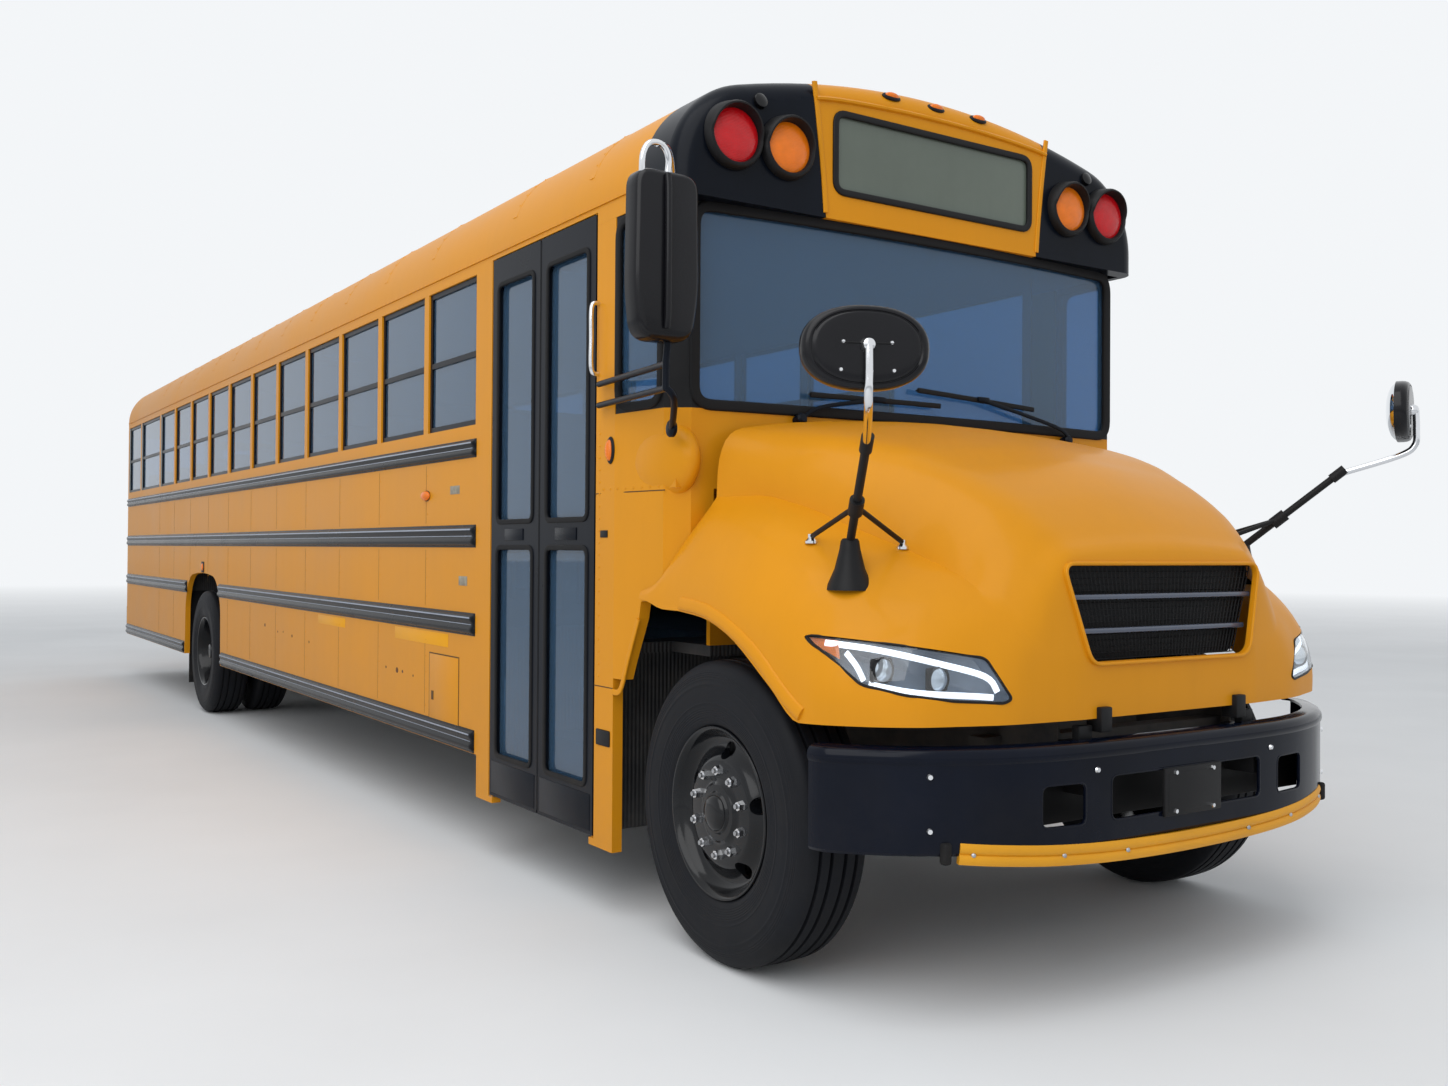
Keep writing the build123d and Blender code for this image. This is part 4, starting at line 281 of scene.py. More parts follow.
# Finish: record slot, maker, its values
FINISHES = {
    "yellow_enamel": ("yellow_paint", finish, ENAMEL),
    "body_enamel": ("yellow_paint", finish, dict(ENAMEL, lining=(0.42, 0.44, 0.44, 1))),
    "fresh_yellow": paint("yellow_paint", (0.86, 0.38, 0.002), 0.4, specular=0.14, vary=0.04, grime=0.0),
    "satin_black": ("black_paint", finish, dict(colour=BLACK, roughness=0.3, coat=0.03, coat_roughness=0.12,
        specular=0.09, vary=0.25, grime=0.05, wave=0.05)),
    "rail_black": paint("black_paint", (0.005, 0.006, 0.008), 0.26, coat=0.03, coat_roughness=0.1, specular=0.12,
        vary=0.3, grime=0.02),
    "gloss_black": paint("black_gloss", (0.005, 0.005, 0.006), 0.12, coat=0.25, coat_roughness=0.03, specular=0.2,
        vary=0.2, grime=0.0, grain=0.01, wave=0.06),
    "moulded_black": paint("black_plastic", (0.009, 0.009, 0.01), 0.5, vary=0.2, grime=0.04, specular=0.2,
        grain=0.35, grain_scale=420.0),
    "mirror_black": paint("black_plastic", (0.007, 0.007, 0.009), 0.24, coat=0.1, specular=0.2, vary=0.2, grime=0.0),
    "rubber_black": paint("flap_rubber", (0.009, 0.009, 0.01), 0.7, vary=0.3, grime=0.12, specular=0.2, grain=0.4,
        grain_scale=180.0),
    "tyre_black": paint("tyre_rubber", (0.008, 0.009, 0.012), 0.6, vary=0.25, vary_scale=5.0, specular=0.15,
        grime=0.03, grime_top=1.3, grain=0.35, grain_scale=240.0),
    "wheel_black": paint("black_paint", (0.005, 0.006, 0.008), 0.2, coat=0.2, coat_roughness=0.08, specular=0.2,
        vary=0.3, grime=0.05),
    "chassis_black": paint("chassis_paint", (0.025, 0.025, 0.027), 0.6, vary=0.3, grime=0.6, grime_top=1.6,
        grain=0.3, grain_scale=90.0),
    "cast_metal": paint("cast_steel", (0.05, 0.05, 0.052), 0.6, metallic=0.3, vary=0.35, grime=0.6, grime_top=1.6,
        grain=0.7, grain_scale=120.0),
    "chrome": paint("cast_steel", (0.75, 0.76, 0.78), 0.12, metallic=1.0, vary=0.08, grime=0.1),
    "dull_steel": paint("cast_steel", (0.45, 0.46, 0.48), 0.35, metallic=0.9, vary=0.2, grime=0.2),
    "dash_grey": paint("dash_plastic", (0.055, 0.055, 0.06), 0.6, vary=0.15, grime=0.0, grain=0.5,
        grain_scale=350.0),
    "seat_cloth": paint("seat_vinyl", (0.035, 0.055, 0.1), 0.55, vary=0.2, vary_scale=6.0, grime=0.0, grain=0.8,
        grain_scale=300.0),
    "sign_red": paint("sign_red", (0.52, 0.012, 0.018), 0.3, coat=0.5, vary=0.08, grime=0.0),
    "sign_white": paint("sign_red", (0.78, 0.78, 0.76), 0.3, coat=0.4, vary=0.05, grime=0.0),
    "sign_green": paint("black_gloss", (0.115, 0.14, 0.115), 0.22, coat=0.2, specular=0.3, vary=0.08, grime=0.0,
        wave=0.1),
    "white_panel": paint("yellow_paint", (0.62, 0.64, 0.64), 0.4, vary=0.1, grime=0.0),
    "patch_grey": paint("yellow_paint", (0.3, 0.27, 0.21), 0.5, specular=0.3, vary=0.35, vary_scale=30.0, grime=0.0),
    # Light blue-grey of thin strips along the rub rails: painted reflection of the sky on their ridges.
    "rail_edge": paint("black_paint", (0.3, 0.34, 0.42), 0.3, vary=0.2, grime=0.0),
    "rust": paint("yellow_paint", (0.1, 0.035, 0.012), 0.85, vary=0.5, vary_scale=40.0, grime=0.0, grain=0.9,
        grain_scale=200.0),
    "floor_rubber": ("floor_cover", ribbed_finish, dict(colour=(0.03, 0.031, 0.034, 1), roughness=0.7, scale=18.0,
        direction="X")),
    "guard_yellow": paint("yellow_paint", (0.76, 0.34, 0.01), 0.45, specular=0.3, vary=0.08, grime=0.1),
    "window_glass": ("glazing", glass_finish, dict(colour=SIDE_TINT, clear=0.8)),
    "front_glass": ("windshield", glass_finish, dict(colour=FRONT_TINT, clear=0.82)),
    "lamp_glass": ("lamp_clear", glass_finish, dict(colour=(0.93, 0.96, 0.98, 1))),
    "lens_red": ("lens_red", lens_finish, dict(colour=RED, ribs=60.0, glow=0.12)),
    "lens_amber": ("lens_amber", lens_finish, dict(colour=AMBER, ribs=60.0, glow=0.1)),
    "led_white": ("lamp_clear", light_finish, dict(colour=(0.86, 0.92, 1.0, 1), strength=1.1)),
    "lamp_grey": paint("black_plastic", (0.2, 0.25, 0.32), 0.3, coat=0.5, vary=0.1, grime=0.0),
    "projector_glass": paint("lamp_clear", (0.62, 0.7, 0.78), 0.08, coat=1.0, coat_roughness=0.01, metallic=0.6,
        vary=0.05, grime=0.0, grain=0.0),
    "mirror_glass": paint("lamp_clear", (0.8, 0.82, 0.84), 0.03, metallic=1.0, vary=0.03, grime=0.0, grain=0.0),
    "bumper_black": paint("black_paint", (0.002, 0.004, 0.011), 0.16, coat=0.05, coat_roughness=0.05, specular=0.12,
        vary=0.25, grime=0.05, wave=0.05),
    "seam_dark": paint("black_paint", (0.1, 0.045, 0.008), 0.8, vary=0.2, grime=0.1),
    "grille_blue": paint("black_plastic", (0.055, 0.07, 0.11), 0.25, coat=0.6, vary=0.1, grime=0.0),
}
# Finish: the setting that holds its colour
COLOUR_SETTING = {"yellow_enamel": "yellow", "body_enamel": "yellow", "satin_black": "black",
                  "window_glass": "side_glass", "front_glass": "front_glass", "lens_red": "red", "lens_amber": "amber"}
made_materials = {}


def material(name):
    """Material of a finish, made on first use."""
    if name not in made_materials:
        slot, maker, values = FINISHES[name]
        settings = bpy.context.scene.bus_finishes
        values = dict(values)
        if name in COLOUR_SETTING:
            values["colour"] = tuple(getattr(settings, COLOUR_SETTING[name]))
        if maker is finish:
            values["grime"] = values.get("grime", 0.25) * settings.dust
        made_materials[name] = maker(name, **values)
    return made_materials[name]


# Mesh helpers

def smooth_line(points, steps):
    """Line through all points, rounded between them, with so many steps from one to the next."""
    line = []
    last = len(points) - 1
    for i in range(last):
        a, b, c, d = points[max(i - 1, 0)], points[i], points[i + 1], points[min(i + 2, last)]
        for k in range(steps):
            t = k / steps
            bend, twist = 2 * a - 5 * b + 4 * c - d, 3 * b - a - 3 * c + d
            line.append(0.5 * (2 * b + (c - a) * t + bend * t * t + twist * t ** 3))
    line.append(points[last])
    return line


def circle_section(radius, count=12):
    return [(radius * math.cos(2 * math.pi * i / count), radius * math.sin(2 * math.pi * i / count))
            for i in range(count)]


def rounded_section(width, height, radius, steps=4):
    """Rectangle about the middle with round corners, as pairs."""
    made = []
    for corner, (sx, sy) in enumerate(((1, 1), (-1, 1), (-1, -1), (1, -1))):
        for k in range(steps + 1):
            angle = math.radians(90 * corner + 90 * k / steps)
            made.append((sx * (width / 2 - radius) + radius * math.cos(angle),
                         sy * (height / 2 - radius) + radius * math.sin(angle)))
    return made


def skin(bm, rings, closed=True, caps=True, loop=False):
    """Quads between neighbouring rings; a loop joins the last ring to the first."""
    made = [[bm.verts.new(point) for point in ring] for ring in rings]
    pairs = list(zip(made, made[1:]))
    if loop:
        pairs.append((made[-1], made[0]))
    for near, far in pairs:
        count = len(near)
        for i in range(count if closed else count - 1):
            j = (i + 1) % count
            bm.faces.new((near[i], near[j], far[j], far[i]))
    if caps and not loop and closed:
        bm.faces.new(list(reversed(made[0])))
        bm.faces.new(made[-1])
    return made


def sweep(bm, path, section, up=None, loop=False):
    """Section carried along a path; up is the direction of the section's second axis."""
    count = len(path)
    rings = []
    turn = Vector(up) if up is not None else None
    for i, point in enumerate(path):
        ahead = path[(i + 1) % count] if loop or i < count - 1 else point
        behind = path[i - 1] if loop or i > 0 else point
        tangent = (ahead - behind).normalized()
        if turn is None:
            turn = tangent.orthogonal()
        side = tangent.cross(turn).normalized()
        rise = side.cross(tangent).normalized()
        if up is None:
            turn = rise
        rings.append([point + side * a + rise * b for a, b in section])
    skin(bm, rings, loop=loop)


def rod(bm, points, radius, count=12, steps=0):
    """Round bar along points, rounded between them where steps is given."""
    path = [Vector(p) for p in points]
    if steps:
        path = smooth_line(path, steps)
    sweep(bm, path, circle_section(radius, count))


def turned(bm, profile, origin, axis, count=32, loop=False):
    """Turned shape: profile pairs are a distance along the axis and a radius."""
    axis = Vector(axis).normalized()
    across = axis.orthogonal().normalized()
    other = axis.cross(across)
    origin = Vector(origin)
    rings = []
    for i in range(count):
        angle = 2 * math.pi * i / count
        out = across * math.cos(angle) + other * math.sin(angle)
        rings.append([origin + axis * d + out * r for d, r in profile])
    made = skin(bm, rings, closed=loop, caps=False, loop=True)
    if not loop:
        for end in (0, -1):
            if profile[end][1] > 1e-6:
                bm.faces.new([ring[end] for ring in made])
    bmesh.ops.remove_doubles(bm, verts=bm.verts, dist=1e-6)


def slab(bm, low, high, bevel=0.0, segments=2):
    """Box between two corners with its edges rounded."""
    low, high = Vector(low), Vector(high)
    low, high = Vector(map(min, low, high)), Vector(map(max, low, high))
    turn = Matrix.Translation((low + high) / 2) @ Matrix.Diagonal((*(high - low), 1.0))
    made = bmesh.ops.create_cube(bm, size=1.0, matrix=turn)
    if bevel:
        edges = list({edge for vert in made["verts"] for edge in vert.link_edges})
        bmesh.ops.bevel(bm, geom=edges, offset=bevel, segments=segments, affect="EDGES", profile=0.5)


def plate(bm, outline, direction):
    """Flat outline given thickness along a direction."""
    direction = Vector(direction)
    skin(bm, [outline, [point + direction for point in outline]])


def shape_object(name, bm, face_out=True):
    """Bare object of a mesh under construction."""
    if face_out:
        bmesh.ops.recalc_face_normals(bm, faces=bm.faces)
    mesh = bpy.data.meshes.new(name)
    bm.to_mesh(mesh)
    bm.free()
    made = bpy.data.objects.new(name, mesh)
    bpy.context.scene.collection.objects.link(made)
    return made


def evaluated(piece):
    """Applies a piece's modifiers to its mesh."""
    graph = bpy.context.evaluated_depsgraph_get()
    mesh = bpy.data.meshes.new_from_object(piece.evaluated_get(graph))
    piece.modifiers.clear()
    piece.data = mesh
    return piece


def cut(piece, cutter, operation="DIFFERENCE"):
    """Exact boolean with a cutter, which is removed."""
    step = piece.modifiers.new("cut", "BOOLEAN")
    step.operation = operation
    step.solver = "EXACT"
    step.object = cutter
    evaluated(piece)
    bpy.data.objects.remove(cutter)
    return piece


def dress(piece, finish_name, body, replaces=(), angle=38.0):
    """Gives a piece its finish, smooth shading and body."""
    piece.data.materials.clear()
    piece.data.materials.append(material(finish_name))
    piece.data.shade_smooth()
    piece.data.set_sharp_from_angle(angle=math.radians(angle))
    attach(piece, body)
    if replaces:
        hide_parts(*replaces)
    return piece


def piece_of(name, bm, finish_name, body, replaces=(), angle=38.0):
    return dress(shape_object(name, bm), finish_name, body, replaces, angle)


def prism(outline, near, far):
    """Solid from a closed outline of X and Z pairs, between two stations."""
    bm = bmesh.new()
    plate(bm, [place(x, near, z) for x, z in outline], (0, (far - near) * MM, 0))
    return shape_object("cutter", bm)


def rounded(outline, radius, steps=4):
    """Closed outline of pairs with its corners rounded."""
    made = []
    count = len(outline)
    for i in range(count):
        corner = Vector(outline[i])
        before, after = Vector(outline[i - 1]) - corner, Vector(outline[(i + 1) % count]) - corner
        reach = min(radius, before.length * 0.45, after.length * 0.45)
        first, last = corner + before.normalized() * reach, corner + after.normalized() * reach
        for k in range(steps + 1):
            t = k / steps
            made.append(tuple(first * (1 - t) ** 2 + corner * 2 * t * (1 - t) + last * t * t))
    return made


def inset(outline, amount):
    """Outline of pairs drawn towards its middle by about an amount."""
    middle = sum((Vector(p) for p in outline), Vector((0, 0))) / len(outline)
    made = []
    for i in range(len(outline)):
        along_line = (Vector(outline[(i + 1) % len(outline)]) - Vector(outline[i - 1])).normalized()
        side = Vector((-along_line.y, along_line.x))
        point = Vector(outline[i])
        made.append(tuple(point + side * (amount if side.dot(middle - point) > 0 else -amount)))
    return made


def mirrored(outline):
    return [(-x, z) for x, z in reversed(outline)]


def face_away(bm, point):
    """Turns all faces of an open surface away from a point."""
    bmesh.ops.recalc_face_normals(bm, faces=bm.faces)
    score = sum((face.calc_center_median() - point).dot(face.normal) * face.calc_area() for face in bm.faces)
    if score < 0:
        bmesh.ops.reverse_faces(bm, faces=bm.faces)


def touch(surface, point, direction):
    """First point of a surface met from a point along a direction."""
    hit = surface.ray_cast(Vector(point), Vector(direction))
    if hit[0] is None:
        raise RuntimeError("No surface at {} along {}".format(tuple(point), tuple(direction)))
    return hit[0]


def from_front(surface, x, z):
    """Point of a surface seen straight from the front, in millimetres across and up."""
    return touch(surface, place(x, 0, z), (0, 1, 0))


def thicken(piece, thickness):
    """Gives an open surface its sheet thickness, inwards."""
    step = piece.modifiers.new("sheet", "SOLIDIFY")
    step.thickness = thickness * MM
    step.offset = -1.0
    return evaluated(piece)


def copy_of(piece):
    """Second object with a mesh of its own."""
    made = piece.copy()
    made.data = piece.data.copy()
    bpy.context.scene.collection.objects.link(made)
    return made


def join_up(pieces):
    """One object of several."""
    bm = bmesh.new()
    for piece in pieces:
        bm.from_mesh(piece.data)
        bpy.data.objects.remove(piece)
    return shape_object("joined", bm, face_out=False)


def solid_boxes(node):
    """Boxes of the separate bodies of a node's mesh, as low and high corners."""
    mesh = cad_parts[node].data
    owner = {}
    groups = []
    for polygon in mesh.polygons:
        keys = [tuple(round(c * GRID) for c in mesh.vertices[v].co) for v in polygon.vertices]
        found = {owner[key] for key in keys if key in owner}
        target = min(found) if found else len(groups)
        if not found:
            groups.append(set())
        for other in found - {target}:
            for key in groups[other]:
                owner[key] = target
            groups[target] |= groups[other]
            groups[other] = set()
        for key in keys:
            owner[key] = target
            groups[target].add(key)
    boxes = []
    for group in groups:
        if group:
            low = Vector([min(key[a] for key in group) / GRID for a in range(3)])
            high = Vector([max(key[a] for key in group) / GRID for a in range(3)])
            boxes.append((low, high))
    return sorted(boxes, key=lambda box: tuple(box[0]))


# Geometry Nodes

def start_group(name, *sockets):
    """New node group and its inputs, from pairs of name and kind."""
    tree = bpy.data.node_groups.new(name, "GeometryNodeTree")
    for label, kind in sockets + (("Material", "Material"),):
        tree.interface.new_socket(label, in_out="INPUT", socket_type="NodeSocket" + kind)
    tree.interface.new_socket("Geometry", in_out="OUTPUT", socket_type="NodeSocketGeometry")
    return tree, tree.nodes.new("NodeGroupInput").outputs


def end_group(tree, start, made):
    """Makes a node's shapes real and painted, and passes them out."""
    real = add_node(tree, "GeometryNodeRealizeInstances", ((0, made.outputs[0]),))
    painted = add_node(tree, "GeometryNodeSetMaterial", ((0, real.outputs[0]), ("Material", start["Material"])))
    tree.links.new(painted.outputs[0], tree.nodes.new("NodeGroupOutput").inputs[0])
    return tree


def stud_tree():
    """Node group that puts a nut, rivet or bolt head on every point, aimed along the point's aim."""
    tree, start = start_group("studs", ("Points", "Geometry"), ("Foot Radius", "Float"), ("Head Radius", "Float"),
                              ("Height", "Float"), ("Sides", "Int"), ("Seed", "Int"))
    head = add_node(tree, "GeometryNodeMeshCone", (("Vertices", start["Sides"]), ("Radius Top", start["Head Radius"]),
                                                   ("Radius Bottom", start["Foot Radius"]), ("Depth", start["Height"])))
    aim = add_node(tree, "GeometryNodeInputNamedAttribute", (("Name", "aim"),), data_type="FLOAT_VECTOR")
    turn = add_node(tree, "FunctionNodeAlignRotationToVector", (("Vector", aim.outputs[0]),), axis="Z")
    chance = add_node(tree, "FunctionNodeRandomValue", ((2, 0.0), (3, 1.0), (8, start["Seed"])), data_type="FLOAT")
    spin = add_node(tree, "ShaderNodeCombineXYZ", ((2, chance.outputs[1]),))
    own = add_node(tree, "FunctionNodeEulerToRotation", ((0, spin.outputs[0]),))
    both = add_node(tree, "FunctionNodeRotateRotation", ((0, turn.outputs[0]), (1, own.outputs[0])),
                    rotation_space="LOCAL")
    many = add_node(tree, "GeometryNodeInstanceOnPoints",
                    (("Points", start["Points"]), ("Instance", head.outputs["Mesh"]), ("Rotation", both.outputs[0])))
    return end_group(tree, start, many)


def mesh_tree():
    """Node group that turns every edge of a mesh into a thin wire."""
    tree, start = start_group("wires", ("Net", "Geometry"), ("Wire Radius", "Float"))
    lines = add_node(tree, "GeometryNodeMeshToCurve", ((0, start["Net"]),))
    section = add_node(tree, "GeometryNodeCurvePrimitiveCircle", (("Resolution", 4), ("Radius", start["Wire Radius"])))
    wires = add_node(tree, "GeometryNodeCurveToMesh",
                     (("Curve", lines.outputs[0]), ("Profile Curve", section.outputs[0])))
    return end_group(tree, start, wires)


def grow(piece, tree_name, maker, values):
    """Runs a node group on a piece, with values by input name, and keeps the result as a plain mesh."""
    tree = bpy.data.node_groups.get(tree_name) or maker()
    step = piece.modifiers.new(tree_name, "NODES")
    step.node_group = tree
    sockets = {item.name: item.identifier for item in tree.interface.items_tree if item.in_out == "INPUT"}
    for name, value in values.items():
        step[sockets[name]] = value
    return evaluated(piece)


# Seed of the heads' own turns
STUD_SEED = 7


def studs(name, spots, foot, head, height, sides, finish_name, body, angle=38.0):
    """Piece of many heads; spots are pairs of a point and the direction it faces."""
    bm = bmesh.new()
    aim = bm.verts.layers.float_vector.new("aim")
    for point, direction in spots:
        bm.verts.new(point)[aim] = Vector(direction)
    piece = shape_object(name, bm, face_out=False)
    grow(piece, "studs", stud_tree, {"Foot Radius": foot * MM, "Head Radius": head * MM, "Height": height * MM,
                                     "Sides": sides, "Seed": STUD_SEED, "Material": material(finish_name)})
    return dress(piece, finish_name, body, angle=angle)


# Settings

def colour_setting(name, description, default):
    return bpy.props.FloatVectorProperty(name=name, description=description, subtype="COLOR", size=4, min=0.0,
                                         max=1.0, default=default)


def length_setting(name, description, low, high, default):
    return bpy.props.FloatProperty(name=name, description=description, subtype="DISTANCE", unit="LENGTH", min=low,
                                   max=high, default=default)


class BusFinishSettings(bpy.types.PropertyGroup):
    yellow: colour_setting("Body colour", "Enamel of the body, hood and roof", YELLOW)
    black: colour_setting("Black parts", "Satin paint of doors, sashes and the rear bumper", BLACK)
    side_glass: colour_setting("Side glass", "Tint of the side, door and rear windows", SIDE_TINT)
    front_glass: colour_setting("Windshield", "Tint of the windshield", FRONT_TINT)
    red: colour_setting("Red lenses", "Colour of the red lamps", RED)
    amber: colour_setting("Amber lenses", "Colour of the amber lamps", AMBER)
    dust: bpy.props.FloatProperty(name="Dust", description="Share of the road dust that is shown",
                                  subtype="FACTOR", min=0.0, max=2.0, default=1.0)


class BusDetailSettings(bpy.types.PropertyGroup):
    nuts: bpy.props.IntProperty(name="Wheel nuts", description="Nuts on each wheel", min=5, max=12, default=10)
    nut_circle: length_setting("Nut circle", "Radius of the circle of wheel nuts", 0.1, 0.16, 0.14)
    rivet_pitch: length_setting("Rivet pitch", "Distance from one body rivet to the next", 0.03, 0.5, 0.075)
    net_pitch: length_setting("Grille net", "Size of one opening of the grille's net", 0.01, 0.05, 0.02)
    tyre_rings: bpy.props.BoolProperty(name="Tyre rings", description="Fine rings on the tyre walls", default=True)


class BusStageSettings(bpy.types.PropertyGroup):
    lens: bpy.props.FloatProperty(name="Lens", description="Focal length of the camera in millimetres",
                                  subtype="DISTANCE_CAMERA", unit="CAMERA", min=20.0, max=90.0, default=CAMERA_LENS)
    floor_size: length_setting("Floor", "Side of the square floor", 20.0, 400.0, 240.0)
    sky: bpy.props.FloatProperty(name="Sky light", description="Strength of the even light from all round",
                                 subtype="FACTOR", min=0.0, max=2.0, default=0.62)
    key: bpy.props.FloatProperty(name="Key light", description="Power of the large lamp over the bus",
                                 subtype="POWER", unit="POWER", min=0.0, max=20000.0, default=800.0)


class BusOperator:
    """Shared parts of the operators."""
    bl_options = {"REGISTER", "UNDO"}


# Stage

class BUS_OT_stage(BusOperator, bpy.types.Operator):
    """Camera, even sky, large lamp and floor of the picture."""
    bl_idname = "bus.stage"
    bl_label = "Set the stage"

    def execute(self, context):
        scene = context.scene
        settings = scene.bus_stage
        camera = bpy.data.objects.new("camera", bpy.data.cameras.new("camera"))
        scene.collection.objects.link(camera)
        yaw, pitch, roll = (math.radians(angle) for angle in (CAMERA_YAW, CAMERA_PITCH, CAMERA_ROLL))
        ahead = Vector((math.sin(yaw) * math.cos(pitch), math.cos(yaw) * math.cos(pitch), math.sin(pitch)))
        level = Vector((math.cos(yaw), -math.sin(yaw), 0.0))
        rise = level.cross(ahead)
        right = level * math.cos(roll) + rise * math.sin(roll)
        up = rise * math.cos(roll) - level * math.sin(roll)
        turn = Matrix((right, up, -ahead)).transposed().to_4x4()
        camera.matrix_world = Matrix.Translation(place(*CAMERA_PLACE)) @ turn
        camera.data.lens = settings.lens
        camera.data.shift_x, camera.data.shift_y = CAMERA_SHIFT
        camera.data.clip_end = 400.0
        scene.camera = camera
        scene.view_settings.view_transform = "Standard"

        world = bpy.data.worlds.new("sky")
        scene.world = world
        world.use_nodes = True
        tree = world.node_tree
        tree.nodes.clear()
        light = add_node(tree, "ShaderNodeBackground", ((0, SKY_COLOUR), (1, settings.sky)))
        pale = add_node(tree, "ShaderNodeBackground", ((0, BACKDROP), (1, 1.0)))
        path = tree.nodes.new("ShaderNodeLightPath").outputs
        seen = add_node(tree, "ShaderNodeMath", ((0, path["Is Camera Ray"]), (1, path["Is Transmission Ray"])),
                        operation="MAXIMUM").outputs[0]
        seen = add_node(tree, "ShaderNodeMath", ((0, seen), (1, path["Is Glossy Ray"])), operation="MAXIMUM").outputs[0]
        both = add_node(tree, "ShaderNodeMixShader", ((0, seen), (1, light.outputs[0]), (2, pale.outputs[0])))
        add_node(tree, "ShaderNodeOutputWorld", ((0, both.outputs[0]),))

        lamp = bpy.data.lights.new("key", "AREA")
        lamp.energy = settings.key
        lamp.shape = "RECTANGLE"
        lamp.size, lamp.size_y = KEY_SIZE
        key = bpy.data.objects.new("key", lamp)
        key.location = place(*KEY_PLACE)
        key.rotation_euler = (place(*KEY_TARGET) - key.location).to_track_quat("-Z", "Y").to_euler()
        scene.collection.objects.link(key)

        floor_mesh = bmesh.new()
        half = settings.floor_size / 2
        corners = [floor_mesh.verts.new((sx * half, sy * half, -0.002))
                   for sx, sy in ((-1, -1), (1, -1), (1, 1), (-1, 1))]
        floor_mesh.faces.new(corners)
        floor = shape_object("floor", floor_mesh, face_out=False)
        made, tree, shader, coordinates = start_material("pale_floor")
        tone = remap(tree, noise(tree, coordinates, 0.6, 4.0), 0.3, 0.7)
        tree.links.new(mix_colour(tree, tone, (0.80, 0.81, 0.82, 1.0), (0.85, 0.86, 0.87, 1.0)),
                       shader.inputs["Base Color"])
        shader.inputs["Roughness"].default_value = 0.9
        away = add_node(tree, "ShaderNodeVectorMath", ((0, coordinates),), operation="LENGTH").outputs["Value"]
        seen = tree.nodes.new("ShaderNodeLightPath").outputs["Is Camera Ray"]
        fade = multiply(tree, remap(tree, away, HAZE_START, HAZE_END), seen)
        haze = add_node(tree, "ShaderNodeEmission", ((0, BACKDROP), (1, 1.0))).outputs[0]
        both = add_node(tree, "ShaderNodeMixShader", ((0, fade), (1, shader.outputs[0]), (2, haze)))
        output = next(node for node in tree.nodes if node.type == "OUTPUT_MATERIAL")
        tree.links.new(both.outputs[0], output.inputs[0])
        floor.data.materials.append(made)
        return {"FINISHED"}


# Finishes of the construction's own nodes

NODE_FINISHES = {
    "amber_warning_lamps": "lens_amber", "bumper_guard_bar": "guard_yellow", "cap_corner_panels": "satin_black",
    "chassis_frame": "chassis_black", "dashboard": "dash_grey", "door_glass_front": "window_glass",
    "door_glass_rear": "window_glass", "door_leaf_front": "satin_black", "door_leaf_rear": "satin_black",
    "drive_shaft": "cast_metal", "engine_block": "cast_metal", "floor_pan": "floor_rubber",
    "front_axle_beam": "cast_metal", "front_cap": "body_enamel", "front_cowl": "yellow_enamel",
    "fuel_tank": "chassis_black", "knuckle_left": "cast_metal", "knuckle_right": "cast_metal",
    "leaf_springs": "chassis_black", "left_side_wall": "body_enamel", "mud_flaps": "rubber_black",
    "rear_axle": "cast_metal", "rear_bumper": "satin_black", "rear_door": "yellow_enamel",
    "rear_door_glass": "window_glass", "rear_wall": "body_enamel", "red_warning_lamps": "lens_red",
    "right_side_wall": "body_enamel", "roof_hatch_front": "white_panel", "roof_hatch_rear": "white_panel",
    "roof_shell": "body_enamel", "seat_frames": "chassis_black", "side_window_glass": "window_glass",
    "stop_arm": "sign_red", "tail_lamps": "lens_red", "tie_rod": "cast_metal", "window_sashes": "satin_black",
    "windshield_frame": "moulded_black", "windshield_glass": "front_glass",
}


class BUS_OT_node_finishes(BusOperator, bpy.types.Operator):
    """Finishes on the construction's own nodes that stay in sight."""
    bl_idname = "bus.node_finishes"
    bl_label = "Finish the construction"

    def execute(self, context):
        for name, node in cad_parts.items():
            made = material(NODE_FINISHES.get(name, "satin_black"))
            if not node.material_slots:
                raise RuntimeError("Node {} has no material slot".format(name))
            for slot in node.material_slots:
                slot.material = made
        return {"FINISHED"}


# Hood and fenders: sections by station, from the fender's foot over crease and shoulder to the centre

